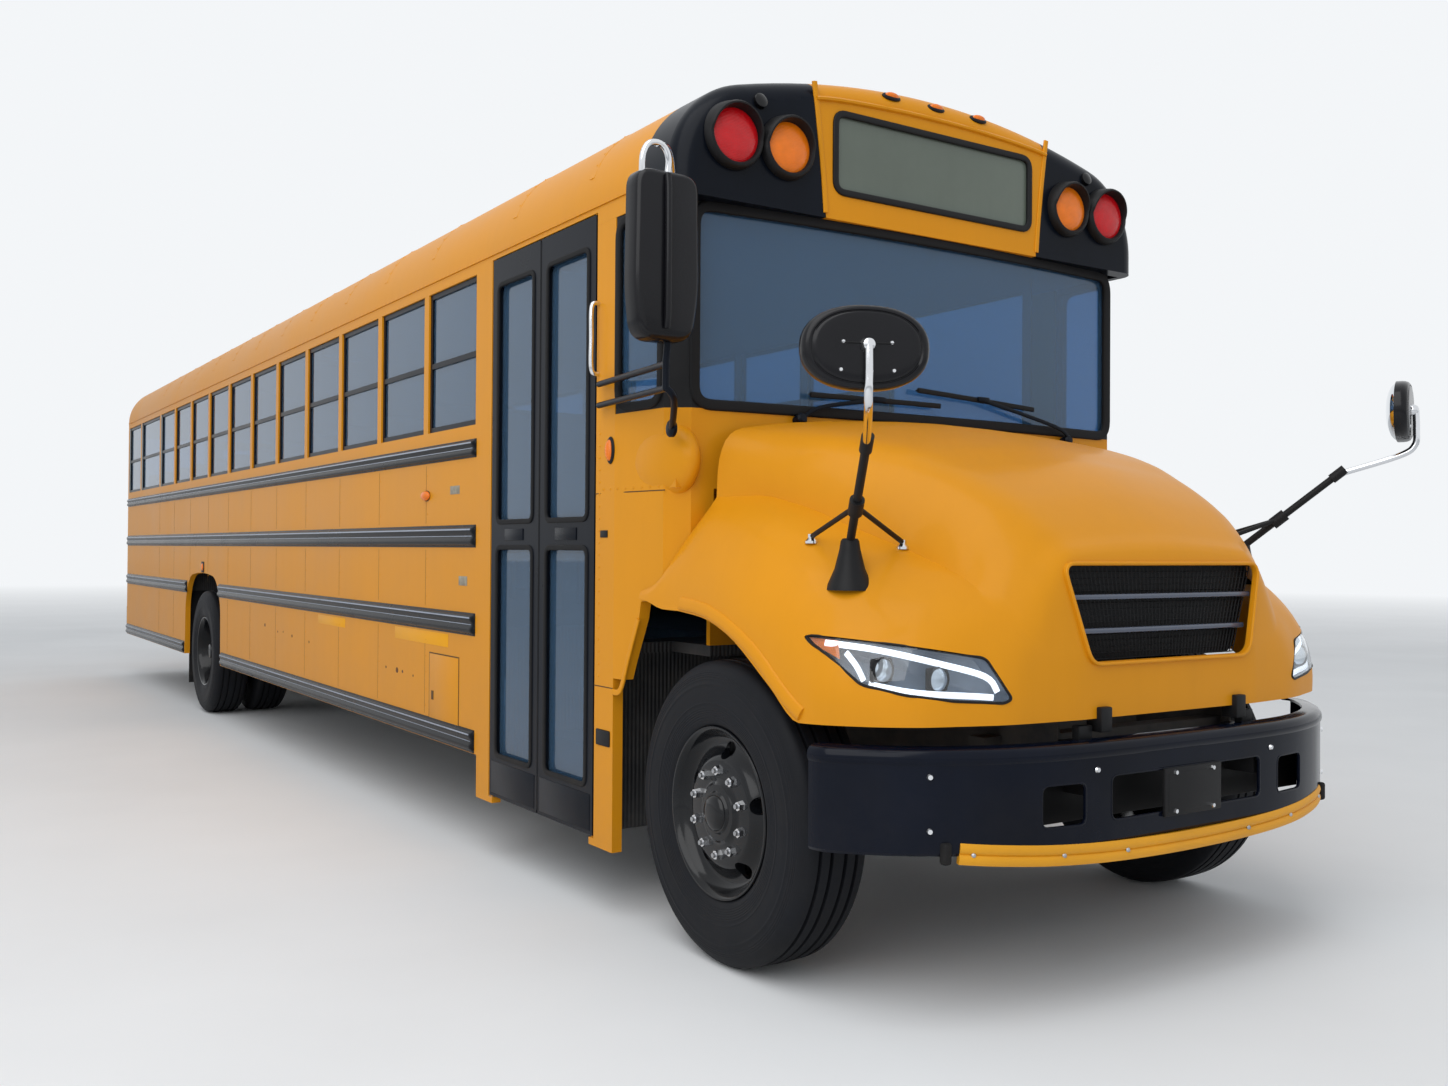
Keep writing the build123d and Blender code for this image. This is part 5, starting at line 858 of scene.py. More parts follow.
HOOD_ROWS = (
    (170, ((430, 870), (430, 920), (430, 960), (430, 1000), (430, 1030), (430, 1050), (425, 1060), (420, 1065),
           (400, 1070), (350, 1075), (0, 1075))),
    (200, ((690, 870), (690, 930), (680, 990), (655, 1050), (630, 1090), (600, 1118), (550, 1220), (500, 1310),
           (460, 1352), (380, 1370), (0, 1385))),
    (250, ((850, 870), (850, 940), (830, 1010), (780, 1085), (720, 1145), (650, 1190), (600, 1280), (540, 1360),
           (470, 1405), (360, 1425), (0, 1445))),
    (300, ((975, 870), (975, 950), (945, 1040), (880, 1120), (790, 1185), (685, 1235), (630, 1330), (570, 1410),
           (500, 1455), (380, 1475), (0, 1500))),
    (400, ((1080, 868), (1080, 970), (1040, 1080), (955, 1180), (840, 1255), (716, 1306), (670, 1410), (610, 1495),
           (530, 1540), (400, 1560), (0, 1590))),
    (560, ((1165, 864), (1160, 1000), (1115, 1130), (1015, 1250), (885, 1330), (745, 1370), (710, 1490), (650, 1585),
           (570, 1635), (420, 1655), (0, 1690))),
    (614, ((1171, 862), (1163, 1022), (1120, 1150), (1028, 1272), (905, 1352), (767, 1393), (733, 1513), (673, 1608),
           (590, 1658), (431, 1678), (0, 1712))),
    (750, ((1182, 957), (1170, 1100), (1130, 1220), (1055, 1330), (950, 1405), (820, 1446), (790, 1570), (730, 1665),
           (640, 1715), (460, 1735), (0, 1765))),
    (1000, ((1184, 1110), (1174, 1210), (1140, 1310), (1080, 1420), (1000, 1500), (908, 1540), (890, 1650),
            (830, 1740), (730, 1785), (500, 1805), (0, 1832))),
    (1150, ((1184, 1155), (1174, 1240), (1145, 1330), (1095, 1430), (1030, 1515), (955, 1570), (950, 1680),
            (890, 1765), (790, 1810), (520, 1840), (0, 1862))),
    (1300, ((1184, 1170), (1176, 1250), (1155, 1335), (1115, 1430), (1070, 1510), (1030, 1566), (1020, 1700),
            (975, 1790), (870, 1825), (550, 1862), (0, 1885))),
)
TAIL_ROWS = (
    (1300, ((1184, 1170), (1176, 1250), (1155, 1335), (1115, 1430), (1070, 1510), (1030, 1566))),
    (1400, ((1190, 1172), (1182, 1238), (1168, 1301), (1142, 1352), (1105, 1405), (1046, 1455))),
    (1500, ((1194, 1196), (1193, 1212), (1188, 1230), (1162, 1266), (1120, 1298), (1080, 1315))),
    (1560, ((1195, 1204), (1193, 1213), (1190, 1222), (1182, 1232), (1160, 1243), (1130, 1250))),
)
# Stations at which the skins are drawn
HOOD_STATIONS = (170, 173, 177, 182, 188, 194, 200, 207, 216, 227, 240, 255, 270, 285, 300, 325, 350, 375, 400, 440,
                 480, 520, 560, 587, 614, 640, 670, 700, 725, 750, 800, 850, 900, 950, 1000, 1060, 1110, 1150, 1200,
                 1250, 1300)
TAIL_STATIONS = (1300, 1330, 1360, 1400, 1435, 1470, 1500, 1530, 1560)
# Place of the crease in a row
CREASE = 5
# The cowl's outline from above, against which the hood ends, as pairs of X and station
COWL_PLAN = ((-1096, 1369), (-800, 1343), (-400, 1321), (0, 1314), (400, 1321), (800, 1343), (1096, 1369),
             (1171, 1436), (1201, 1750), (1201, 1900), (-1201, 1900), (-1201, 1750), (-1171, 1436))
# Wheel arch lip as station and height, then lamp and grille as X and height
ARCH_LIP = ((614, 866), (650, 886), (692, 914), (745, 956), (801, 1001), (868, 1046), (940, 1085), (1030, 1124),
            (1120, 1152), (1205, 1165), (1290, 1171), (1425, 1175), (1500, 1198), (1552, 1206))
LAMP_OUTLINE = ((1140, 1129), (997, 1109), (764, 1070), (689, 945), (717, 931), (869, 941), (1004, 960), (1093, 987),
                (1140, 1087))
# The grille's net: lower edge and height, half width at the bottom and how much it grows, in millimetres
NET_LOW, NET_RISE = 1046, 292
NET_HALF, NET_SPREAD = 384, 92
GRILLE_OUTLINE = ((-478, 1340), (-386, 1044), (386, 1044), (478, 1340))


def hermite(near, far, leave, arrive, t):
    """Value between two ends with given slopes."""
    return (near * (2 * t ** 3 - 3 * t ** 2 + 1) + far * (3 * t ** 2 - 2 * t ** 3)
            + leave * (t ** 3 - 2 * t ** 2 + t) + arrive * (t ** 3 - t ** 2))


def slope(rows, k, j, c):
    """Slope of one coordinate at a row of a table, level at a turn."""
    def chord(a):
        return (rows[a + 1][1][j][c] - rows[a][1][j][c]) / (rows[a + 1][0] - rows[a][0])
    if k == 0:
        return chord(0)
    if k == len(rows) - 1:
        return chord(k - 1)
    before, after = chord(k - 1), chord(k)
    return 2 * before * after / (before + after) if before * after > 0 else 0.0


def row_at(rows, station):
    """Row of points of a table at a station between its rows, rounded and without overshoot."""
    i = max(k for k in range(len(rows) - 1) if k == 0 or rows[k][0] <= station)
    (start, near), (end, far) = rows[i], rows[i + 1]
    span = end - start
    t = (station - start) / span
    return [Vector([hermite(near[j][c], far[j][c], slope(rows, i, j, c) * span, slope(rows, i + 1, j, c) * span, t)
                    for c in range(2)]) for j in range(len(near))]


def hood_ring(station):
    """Section of the whole hood, from the passenger side's fender foot to the driver's side's."""
    row = row_at(HOOD_ROWS, station)
    fender = smooth_line(row[:CREASE + 1], 4)
    half = row[CREASE:]
    top = smooth_line([Vector((-p.x, p.y)) for p in half[:-1]] + list(reversed(half)), 3)
    ring = [Vector((-p.x, p.y)) for p in fender] + top[1:-1] + list(reversed(fender))
    return [place(p.x, station, p.y) for p in ring]


def tail_ring(station, sign):
    """Section of the fender's tail beside the cowl."""
    fender = smooth_line(row_at(TAIL_ROWS, station), 4)
    return [place(sign * p.x, station, p.y) for p in fender]


def band(surface, path, sign, profile):
    """Raised band along a path of station and height pairs on one side, as rings of a closed section."""
    rings = []
    for i, (station, z) in enumerate(path):
        ahead, behind = path[min(i + 1, len(path) - 1)], path[max(i - 1, 0)]
        run = Vector((ahead[0] - behind[0], ahead[1] - behind[1])).normalized()
        rise = Vector((-run.y, run.x))
        outer, inner = [], []
        for across, proud in profile:
            s, h = station + rise.x * across, z + rise.y * across
            hit = touch(surface, place(sign * 1400, s, h), (-sign, 0, 0))
            outer.append(hit + Vector((sign * proud * MM, 0, 0)))
            inner.append(hit - Vector((sign * 5 * MM, 0, 0)))
        rings.append(outer + list(reversed(inner)))
    return rings


class BUS_OT_hood(BusOperator, bpy.types.Operator):
    """Tilting hood with its fenders, wheel lips, grille frame, lamp pockets and hinge lugs."""
    bl_idname = "bus.hood"
    bl_label = "Build the hood"

    def execute(self, context):
        bm = bmesh.new()
        rings = skin(bm, [hood_ring(s) for s in HOOD_STATIONS], closed=False, caps=False)
        bm.faces.new(rings[0])
        for sign in SIDES:
            skin(bm, [tail_ring(s, sign) for s in TAIL_STATIONS], closed=False, caps=False)
        bmesh.ops.remove_doubles(bm, verts=bm.verts, dist=2e-5)
        face_away(bm, place(0, 900, 1000))
        bmesh.ops.triangulate(bm, faces=[face for face in bm.faces if len(face.verts) > 4])
        surface = BVHTree.FromBMesh(bm)
        hood = thicken(shape_object("hood_skin", bm, face_out=False), 9)
        cowl = bmesh.new()
        plate(cowl, [place(x, s, 1100) for x, s in COWL_PLAN], (0, 0, 600 * MM))
        shell = copy_of(hood)
        cut(hood, shape_object("cutter", cowl))
        lamps = []
        for sign in SIDES:
            outline = LAMP_OUTLINE if sign > 0 else mirrored(LAMP_OUTLINE)
            outline = rounded(outline, 16)
            cut(hood, prism(outline, 120, 640))
            lamps.append(cut(copy_of(shell), prism(inset(outline, 4), 120, 640), "INTERSECT"))
        bpy.data.objects.remove(shell)
        opening = rounded(GRILLE_OUTLINE, 42, 6)
        cut(hood, prism(opening, 120, 260))
        dress(hood, "yellow_enamel", "hood_assembly", ("hood",), 32.0)

        lens = dress(join_up(lamps), "lamp_glass", "hood_assembly", ("headlamps",))
        lens.name = "headlamp_lenses"

        trim, lugs = bmesh.new(), bmesh.new()
        path = [from_front(surface, x, z) for x, z in inset(opening, -7)]
        sweep(trim, path, rounded_section(0.012, 0.026, 0.0055), up=(0, -1, 0), loop=True)
        for sign in SIDES:
            profile = ((5, -2), (6, 6), (10, 9), (20, 9.5), (32, 9), (42, 7), (48, 2), (50, -3))
            skin(trim, band(surface, [p for p in ARCH_LIP if p[0] < 1400], sign, profile))
            slab(lugs, place(sign * 310, 150, 828), place(sign * 360, 212, 905), 4 * MM)
        piece_of("hood_lips", trim, "yellow_enamel", "hood_assembly")
        piece_of("hood_lugs", lugs, "moulded_black", "hood_assembly")
        self.lamps(surface)
        self.grille(opening)
        return {"FINISHED"}

    def lamps(self, surface):
        """Housings, projectors, light strips and reflectors behind the lamp lenses."""
        housing, border, strip, lens, ring, reflector = (bmesh.new() for _ in range(6))
        for sign in SIDES:
            outline = rounded([(sign * x, z) for x, z in LAMP_OUTLINE], 16)
            edge = [from_front(surface, x, z) for x, z in inset(outline, 3)]
            middle = sum(edge, Vector()) / len(edge)
            back = Vector((-sign * 0.03, 0.055, -0.004))
            deep = [point + back + (middle - point) * 0.10 for point in edge]
            rings = [[p + Vector((0, 0.010, 0)) for p in edge], deep]
            skin(housing, rings, caps=False)
            made = skin(housing, [deep, [p + (middle + back - p) * 0.96 for p in deep]], caps=False)
            housing.faces.new(made[-1])
            sweep(border, edge, circle_section(0.0045, 8), up=(0, -1, 0), loop=True)
            depth = Vector((-sign * 0.004, 0.022, 0))
            for line in (((1118, 1104), (1032, 1088), (904, 1053), (764, 1012), (728, 966)),
                         ((742, 950), (800, 955), (969, 968), (1068, 990)),
                         ((1076, 1000), (1082, 1040), (1092, 1078))):
                path = [from_front(surface, sign * x, z) + depth for x, z in line]
                sweep(strip, smooth_line(path, 5), rounded_section(0.006, 0.019, 0.0028, 2), up=(0, 0, 1))
            for x, z in ((1030, 1030), (896, 1004)):
                centre = from_front(surface, sign * x, z) + Vector((-sign * 0.006, 0.034, 0))
                facing = Vector((-sign * 0.05, -1, 0))
                turned(lens, [(-0.004, 0.0), (-0.004, 0.034), (0.003, 0.034), (0.009, 0.026), (0.012, 0.014),
                              (0.013, 0.0)], centre, facing, 28)
                low, high = centre + Vector((-0.041, 0.0, -0.036)), centre + Vector((0.041, 0.016, 0.036))
                slab(ring, low, high, 0.008, 3)
                turned(ring, [(0.0, 0.035), (0.007, 0.037), (0.007, 0.039), (0.0, 0.040)], centre, facing, 28,
                       loop=True)
            corner = [(1100, 1112), (1134, 1117), (1134, 1090), (1112, 1058)]
            patch = [from_front(surface, sign * x, z) + Vector((-sign * 0.008, 0.014, 0)) for x, z in corner]
            plate(reflector, patch, (-sign * 0.004, 0.006, 0))
        piece_of("headlamp_housings", housing, "lamp_grey", "hood_assembly")
        piece_of("headlamp_borders", border, "moulded_black", "hood_assembly")
        piece_of("headlamp_strips", strip, "led_white", "hood_assembly")
        piece_of("headlamp_projectors", lens, "projector_glass", "hood_assembly")
        piece_of("headlamp_rings", ring, "gloss_black", "hood_assembly")
        piece_of("headlamp_reflectors", reflector, "lens_amber", "hood_assembly")

    def grille(self, opening):
        """Net, bars and dark back plate of the grille."""
        pitch = bpy.context.scene.bus_details.net_pitch / MM
        columns, rows = int(960 / pitch), int(300 / pitch)
        net = bmesh.new()
        grid = []
        for i in range(rows + 1):
            z = NET_LOW + NET_RISE * i / rows
            half = NET_HALF + NET_SPREAD * i / rows
            grid.append([net.verts.new(place(-half + 2 * half * k / columns, 222, z)) for k in range(columns + 1)])
        for i in range(rows + 1):
            for k in range(columns + 1):
                if k < columns:
                    net.edges.new((grid[i][k], grid[i][k + 1]))
                if i < rows:
                    net.edges.new((grid[i][k], grid[i + 1][k]))
        piece = shape_object("grille_net", net, face_out=False)
        grow(piece, "wires", mesh_tree, {"Wire Radius": 0.0021, "Material": material("moulded_black")})
        dress(piece, "moulded_black", "hood_assembly", ("grille",))
        back = bmesh.new()
        plate(back, [place(x * 1.03, 236, z) for x, z in opening], (0, 0.006, 0))
        piece_of("grille_back", back, "moulded_black", "hood_assembly")
        bars = bmesh.new()
        for z, half in ((1242, 452), (1136, 420)):
            path = [place(x * half, 206 + 8 * x * x, z) for x in (-1.0, -0.6, -0.2, 0.2, 0.6, 1.0)]
            sweep(bars, smooth_line(path, 3), rounded_section(0.020, 0.017, 0.005), up=(0, 0, 1))
        piece_of("grille_bars", bars, "grille_blue", "hood_assembly")


# Bumper

BUMPER_LINE = ((-1196, 530), (-1188, 478), (-1150, 423), (-1100, 372), (-1050, 326), (-1000, 287), (-950, 252),
               (-900, 224), (-800, 178), (-650, 134), (-500, 112), (-350, 103), (-175, 100.5), (0, 100))


def spaced(outline, step):
    """Closed outline with its long edges divided."""
    made = []
    count = len(outline)
    for i in range(count):
        first, last = Vector(outline[i]), Vector(outline[(i + 1) % count])
        parts = max(1, int((last - first).length / step))
        made += [tuple(first.lerp(last, k / parts)) for k in range(parts)]
    return made


def rectangle(left, right, low, high):
    return (left, low), (right, low), (right, high), (left, high)


def gasket(bm, corners, radius, steps, spacing, at, section, up):
    """Strip round a rectangle with rounded corners; at gives the place of a pair."""
    line = spaced(rounded(rectangle(*corners), radius, steps), spacing)
    sweep(bm, [at(a, b) for a, b in line], rounded_section(*section), up=up, loop=True)


def section_of(points):
    return [(a * MM, b * MM) for a, b in points]


def front_line(half=None):
    """The bumper's front line seen from above, from side to side, or its middle stretch."""
    line = list(BUMPER_LINE) + [(-x, s) for x, s in reversed(BUMPER_LINE[:-1])]
    path = smooth_line([place(x, s, 0) for x, s in line], 3)
    if half:
        path = [point for point in path if abs(point.x) < half * MM]
    return path


def bumper_face(x):
    """Station just behind the bumper's face, at a distance from the middle."""
    return 104 + 187 * abs(x / 1000) ** 3.92


class BUS_OT_bumper(BusOperator, bpy.types.Operator):
    """Front bumper with its rounded lip, slots, bolts and blank plate bracket, and the guard bar under it."""
    bl_idname = "bus.bumper"
    bl_label = "Build the bumper"

    def execute(self, context):
        bm = bmesh.new()
        section = section_of(((-62, 500), (-20, 500), (-6, 503), (0, 512), (0, 764), (4, 770), (6, 780), (4, 794),
                              (-4, 805), (-16, 811), (-62, 812), (-62, 803), (-20, 802), (-9, 795), (-8, 780),
                              (-9, 764), (-9, 514), (-14, 509), (-60, 509)))
        sweep(bm, front_line(), section, up=(0, 0, 1))
        bumper = shape_object("front_bumper_shell", bm)
        slots = [rectangle(-368, 368, 570, 706)] + [rectangle(c - 82, c + 82, 568, 694) for c in (-556, 556)]
        for outline in slots:
            cut(bumper, prism(rounded(outline, 26), 40, 190))
        dress(bumper, "bumper_black", "bus_body", ("front_bumper",), 30.0)

        rims = bmesh.new()
        for outline in slots:
            line = spaced(rounded(outline, 26), 60)
            path = [place(x, bumper_face(x), z) for x, z in line]
            sweep(rims, path, rounded_section(0.007, 0.012, 0.003, 2), up=(0, -1, 0), loop=True)
        piece_of("bumper_slot_edges", rims, "bumper_black", "bus_body")
        # Black plate behind the slots: painted shade in the open channel behind the bumper's face.
        backs = bmesh.new()
        slab(backs, place(-780, 236, 548), place(780, 244, 724), 2 * MM)
        piece_of("bumper_backs", backs, "moulded_black", "bus_body")

        plate_block = bmesh.new()
        slab(plate_block, place(-140, 86, 556), place(140, 98.5, 708), 4 * MM)
        slab(plate_block, place(-124, 84.5, 572), place(124, 90, 692), 2 * MM)
        for sign in SIDES:
            slab(plate_block, place(sign * 372, 130, 640), place(sign * 432, 262, 800), 3 * MM)
            slab(plate_block, place(sign * 372, 175, 799), place(sign * 432, 205, 850), 3 * MM)
        piece_of("plate_bracket", plate_block, "moulded_black", "bus_body")

        heads = []
        for x, s, z in ((963, 257, 732), (963, 257, 576), (430, 105, 728)):
            for sign in SIDES:
                aim = (sign * 0.62, -1, 0) if x > 900 else (sign * 0.06, -1, 0)
                heads.append((place(sign * x, s, z), aim))
        studs("bumper_bolts", heads, 10, 7, 6, 16, "chrome", "bus_body", 60.0)
        heads = [(place(x, 86, z), (0, -1, 0)) for x in (-92, 92) for z in (572, 693)]
        studs("plate_bolts", heads, 9, 7, 8, 6, "chrome", "bus_body")

        guard = bmesh.new()
        section = section_of(((-22, 438), (1, 438), (5, 444), (7, 455), (4, 465), (-1, 469), (4, 473), (7, 483),
                              (5, 494), (1, 500), (-22, 500)))
        path = [point + Vector((0, 0, 0.045 * (point.x / 0.94) ** 2)) for point in front_line(930)]
        sweep(guard, path, section, up=(0, 0, 1))
        piece_of("guard_bar", guard, "guard_yellow", "bus_body", ("bumper_guard_bar",))
        ends = bmesh.new()
        for sign in SIDES:
            slab(ends, place(sign * 908, 220, 480), place(sign * 937, 250, 544), 9 * MM, 3)
        piece_of("guard_ends", ends, "rubber_black", "bus_body")
        heads = [(place(sign * x, s, z), (sign * t, -1, 0))
                 for x, s, z, t in ((300, 98, 473.5, 0.0), (560, 116, 485, 0.15), (850, 196, 506, 0.5))
                 for sign in SIDES]
        studs("guard_rivets", heads, 8, 5, 5, 12, "dull_steel", "bus_body", 60.0)
        return {"FINISHED"}


# Front cap

def blob(bm, centre, radii, turn=None, detail=16):
    """Ellipsoid about a point."""
    matrix = Matrix.Translation(centre) @ (turn or Matrix.Identity(4)) @ Matrix.Diagonal((*radii, 1.0))
    bmesh.ops.create_uvsphere(bm, u_segments=detail * 2, v_segments=detail, radius=1.0, matrix=matrix)


def lamp_face(lens, bezel, centre, axis, radius, hood=0.0):
    """Round lamp: domed ribbed lens in a deep bezel whose upper half may reach out as a hood."""
    r = radius * MM
    turned(lens, [(-0.010, 0.0), (-0.010, r), (0.004, r), (0.012, r * 0.86), (0.019, r * 0.55), (0.022, 0.0)],
           centre, axis, 40)
    axis = Vector(axis).normalized()
    across = axis.cross(Vector((0, 0, 1))).normalized()
    rise = across.cross(axis).normalized()
    if rise.z < 0:
        rise = -rise
    rings = []
    for i in range(48):
        angle = 2 * math.pi * i / 48
        out = across * math.cos(angle) + rise * math.sin(angle)
        reach = 0.020 + hood * MM * max(0.0, math.sin(angle)) ** 0.7
        profile = ((-0.012, r + 0.026), (0.004, r + 0.024), (reach * 0.8, r + 0.017), (reach, r + 0.011),
                   (reach, r + 0.005), (reach * 0.7, r + 0.001), (-0.012, r - 0.002))
        rings.append([centre + axis * d + out * q for d, q in profile])
    skin(bezel, rings, caps=False, loop=True)


class BUS_OT_cap(BusOperator, bpy.types.Operator):
    """Warning lamps with hooded bezels, blank sign in its gasket, brow, clearance lamps and side markers."""
    bl_idname = "bus.cap"
    bl_label = "Build the cap's details"

    def execute(self, context):
        red, amber, bezel = bmesh.new(), bmesh.new(), bmesh.new()
        spots = bmesh.new()
        for sign in SIDES:
            lamp_face(red, bezel, place(sign * 972, 1286, 2850), (0, -1, 0), 96, 30)
            lamp_face(amber, bezel, place(sign * 738, 1286, 2847), (0, -1, 0), 92, 30)
            lamp_face(red, bezel, place(sign * 897, 12834, 2830), (0, 1, 0), 92, 30)
            lamp_face(amber, bezel, place(sign * 684, 12834, 2830), (0, 1, 0), 92, 30)
            turned(spots, [(-0.02, 0.0), (-0.02, 0.030), (0.006, 0.027), (0.012, 0.016), (0.013, 0.0)],
                   place(sign * 856, 1296, 2998), (0, -1, 0.25), 24)
        piece_of("red_lenses", red, "lens_red", "bus_body", ("red_warning_lamps",))
        piece_of("amber_lenses", amber, "lens_amber", "bus_body", ("amber_warning_lamps",))
        piece_of("lamp_bezels", bezel, "moulded_black", "bus_body")
        piece_of("cap_spots", spots, "gloss_black", "bus_body")

        gasket, board = bmesh.new(), bmesh.new()
        outline = spaced(rounded(rectangle(-512, 512, 2727, 3024), 46, 6), 80)
        sweep(gasket, [place(x, 1299, z) for x, z in outline], rounded_section(0.026, 0.016, 0.006), up=(0, -1, 0),
              loop=True)
        plate(board, [place(x * 0.985, 1306, z) for x, z in outline], (0, 0.005, 0))
        piece_of("sign_gasket", gasket, "moulded_black", "bus_body")
        piece_of("sign_board", board, "sign_green", "bus_body")

        brow = bmesh.new()
        line = [(-606, 3058), (-540, 3068), (-400, 3079), (-200, 3088), (0, 3091), (200, 3088), (400, 3079),
                (540, 3068), (606, 3058)]
        path = smooth_line([place(x, 1300, z) for x, z in line], 4)
        sweep(brow, path, section_of(((-16, -9), (2, -10), (11, -6), (13, 1), (9, 7), (0, 10), (-16, 15))),
              up=(0, 0, 1))
        for sign in SIDES:
            edge = [(556, 2640), (566, 2760), (582, 2900), (600, 3040), (612, 3120)]
            path = smooth_line([place(sign * x, 1300, z) for x, z in edge], 4)
            sweep(brow, path, rounded_section(0.022, 0.012, 0.005), up=(0, -1, 0))
        piece_of("cap_brow", brow, "yellow_enamel", "bus_body")

        lenses, bases = bmesh.new(), bmesh.new()
        tilt = Matrix.Rotation(math.radians(-38), 4, "X")
        for x in (-230, 0, 230):
            blob(lenses, place(x, 1310, 3143), (0.036, 0.016, 0.014), tilt, 10)
            blob(bases, place(x, 1313, 3141), (0.046, 0.012, 0.021), tilt, 10)
        for sign in SIDES:
            blob(lenses, place(sign * 1200, 3725, 1640), (0.022, 0.050, 0.024), None, 10)
            blob(bases, place(sign * 1196, 3725, 1640), (0.010, 0.050, 0.027), None, 10)
            blob(lenses, place(sign * 1200, 1780, 1752), (0.018, 0.022, 0.041), None, 10)
            blob(bases, place(sign * 1197, 1780, 1752), (0.010, 0.031, 0.052), None, 10)
            blob(lenses, place(sign * 1122, 1800, 2872), (0.012, 0.034, 0.014), Matrix.Rotation(sign * 0.9, 4, "Y"), 10)
            blob(lenses, place(sign * 1199, 8977, 1209), (0.012, 0.030, 0.030), None, 10)
            slab(bases, place(sign * 1190, 8932, 1164), place(sign * 1200, 9022, 1254), 3 * MM)
        piece_of("marker_lenses", lenses, "lens_amber", "bus_body", ("marker_lamps",))
        piece_of("marker_bases", bases, "moulded_black", "bus_body")
        return {"FINISHED"}


# Windshield, wipers and cowl

def glass_station(x):
    """Station of the windshield frame's face at a distance from the middle."""
    return 1320 + 55 * (x / 1090) ** 2


def quarter_x(station):
    """Distance of the front quarter's face from the middle."""
    return 1165 + 30 * (station - 1440) / 310


class BUS_OT_windshield(BusOperator, bpy.types.Operator):
    """Gaskets of the windshield and quarter windows, and the two wipers."""
    bl_idname = "bus.windshield"
    bl_label = "Build the windshield's trim"

    def execute(self, context):
        rubber = bmesh.new()
        gasket(rubber, (-1080, 1080, 1898, 2608), 70, 6, 120, lambda x, z: place(x, glass_station(x) - 1, z),
               (0.040, 0.020, 0.008), (0, -1, 0))
        for sign in SIDES:
            gasket(rubber, (1460, 1730, 1905, 2602), 70, 6, 120,
                   lambda s, z: place(sign * (quarter_x(s) + 1), s, z), (0.034, 0.018, 0.007), (sign, 0, 0))
        piece_of("glass_gaskets", rubber, "rubber_black", "bus_body")

        arms, blades = bmesh.new(), bmesh.new()
        for pivot, elbow, tip, near, far in (
                ((-656, 1306, 1866), (-560, 1302, 1916), (-300, 1297, 1958), (-607, 1960), (20, 1957)),
                ((769, 1312, 1862), (690, 1306, 1912), (250, 1298, 1996), (-95, 2012), (560, 1979))):
            turned(arms, [(-0.030, 0.0), (-0.030, 0.022), (0.004, 0.022), (0.012, 0.015), (0.013, 0.0)],
                   place(*pivot), (0, -1, 0.3), 20)
            path = smooth_line([place(*pivot), place(*elbow), place(*tip)], 6)
            sweep(arms, path, rounded_section(0.016, 0.009, 0.003, 2), up=(0, -1, 0))
            points = [place(x, glass_station(x) - 18, near[1] + (far[1] - near[1]) * (x - near[0]) / (far[0] - near[0]))
                      for x in (near[0] + (far[0] - near[0]) * k / 8 for k in range(9))]
            sweep(blades, points, rounded_section(0.020, 0.012, 0.004, 2), up=(0, -1, 0))
            sweep(blades, [p + Vector((0, 0.009, 0)) for p in points], rounded_section(0.006, 0.010, 0.002, 2),
                  up=(0, -1, 0))
            slab(arms, place(tip[0] - 30, tip[1] - 10, tip[2] - 8), place(tip[0] + 30, tip[1] + 6, tip[2] + 12), 3 * MM)
        piece_of("wiper_arms", arms, "satin_black", "bus_body", ("wipers",))
        piece_of("wiper_blades", blades, "rubber_black", "bus_body")
        return {"FINISHED"}


class BUS_OT_cowl(BusOperator, bpy.types.Operator):
    """Seams, rivets, pads and edges of the cowl and the front posts."""
    bl_idname = "bus.cowl"
    bl_label = "Build the cowl's details"

    def execute(self, context):
        seams, edges, pads, dark, steel = (bmesh.new() for _ in range(5))
        rivets = []
        for sign in SIDES:
            side = [(1752, 850), (1700, 862), (1654, 975), (1588, 1128)]
            path = smooth_line([place(sign * (quarter_x(s) if s < 1750 else SIDE_X), s, z) for s, z in side], 5)
            sweep(edges, path, rounded_section(0.022, 0.010, 0.004), up=(sign, 0, 0))
            for s0, s1, z in ((1430, 1900, 1592), (1752, 1900, 862)):
                line = [place(sign * (min(quarter_x(s), SIDE_X) + 0.4), s, z) for s in (s0, (s0 + s1) / 2, s1)]
                sweep(seams, line, rounded_section(0.004, 0.0022, 0.0008, 1), up=(sign, 0, 0))
            blob(pads, place(sign * 1110, 1530, 1700), (0.078, 0.22, 0.15), None, 24)
            slab(dark, place(sign * 1190, 1800, 1425), place(sign * 1199, 1856, 1452), 2 * MM)
            slab(dark, place(sign * 1192, 1770, 640), place(sign * 1200, 1880, 700), 6 * MM)
            rivets += [(place(sign * SIDE_X, 1868, z), (sign, 0, 0)) for z in range(900, 1860, 46)]
            rivets += [(place(sign * min(quarter_x(s), SIDE_X), s, 1606), (sign, 0, 0)) for s in range(1470, 1860, 52)]
        piece_of("cowl_edges", edges, "yellow_enamel", "bus_body")
        piece_of("cowl_seams", seams, "seam_dark", "bus_body")
        piece_of("cowl_pads", pads, "yellow_enamel", "bus_body")
        piece_of("cowl_plates", dark, "moulded_black", "bus_body")
        grip = ((-1194, 2318), (-1226, 2306), (-1228, 2184), (-1226, 2062), (-1194, 2050))
        rod(steel, [place(x, 1882, z) for x, z in grip], 0.009, 12, 6)
        piece_of("grab_handle", steel, "chrome", "bus_body")
        studs("cowl_rivets", rivets, 5, 3, 3, 10, "yellow_enamel", "bus_body", 60.0)
        return {"FINISHED"}


# Mirrors

# Degrees that a crossview mirror is turned inwards; its back's rings as share of the outline and depth in
# millimetres; its glass's rings as shares; points on a ring and how square its oval is
CROSSVIEW_TURN = 25
SHELL_RINGS = ((1.0, 50), (1.0, 30), (0.99, 20), (0.955, 10), (0.90, 5), (0.87, 5), (0.855, 8), (0.84, 8), (0.82, 4),
               (0.78, 2.5), (0.60, 1.5), (0.30, 1.5))
GLASS_RINGS = (1.0, 0.97, 0.88, 0.72, 0.5, 0.25)
OVAL_POINTS, OVAL_POWER = 56, 2.3


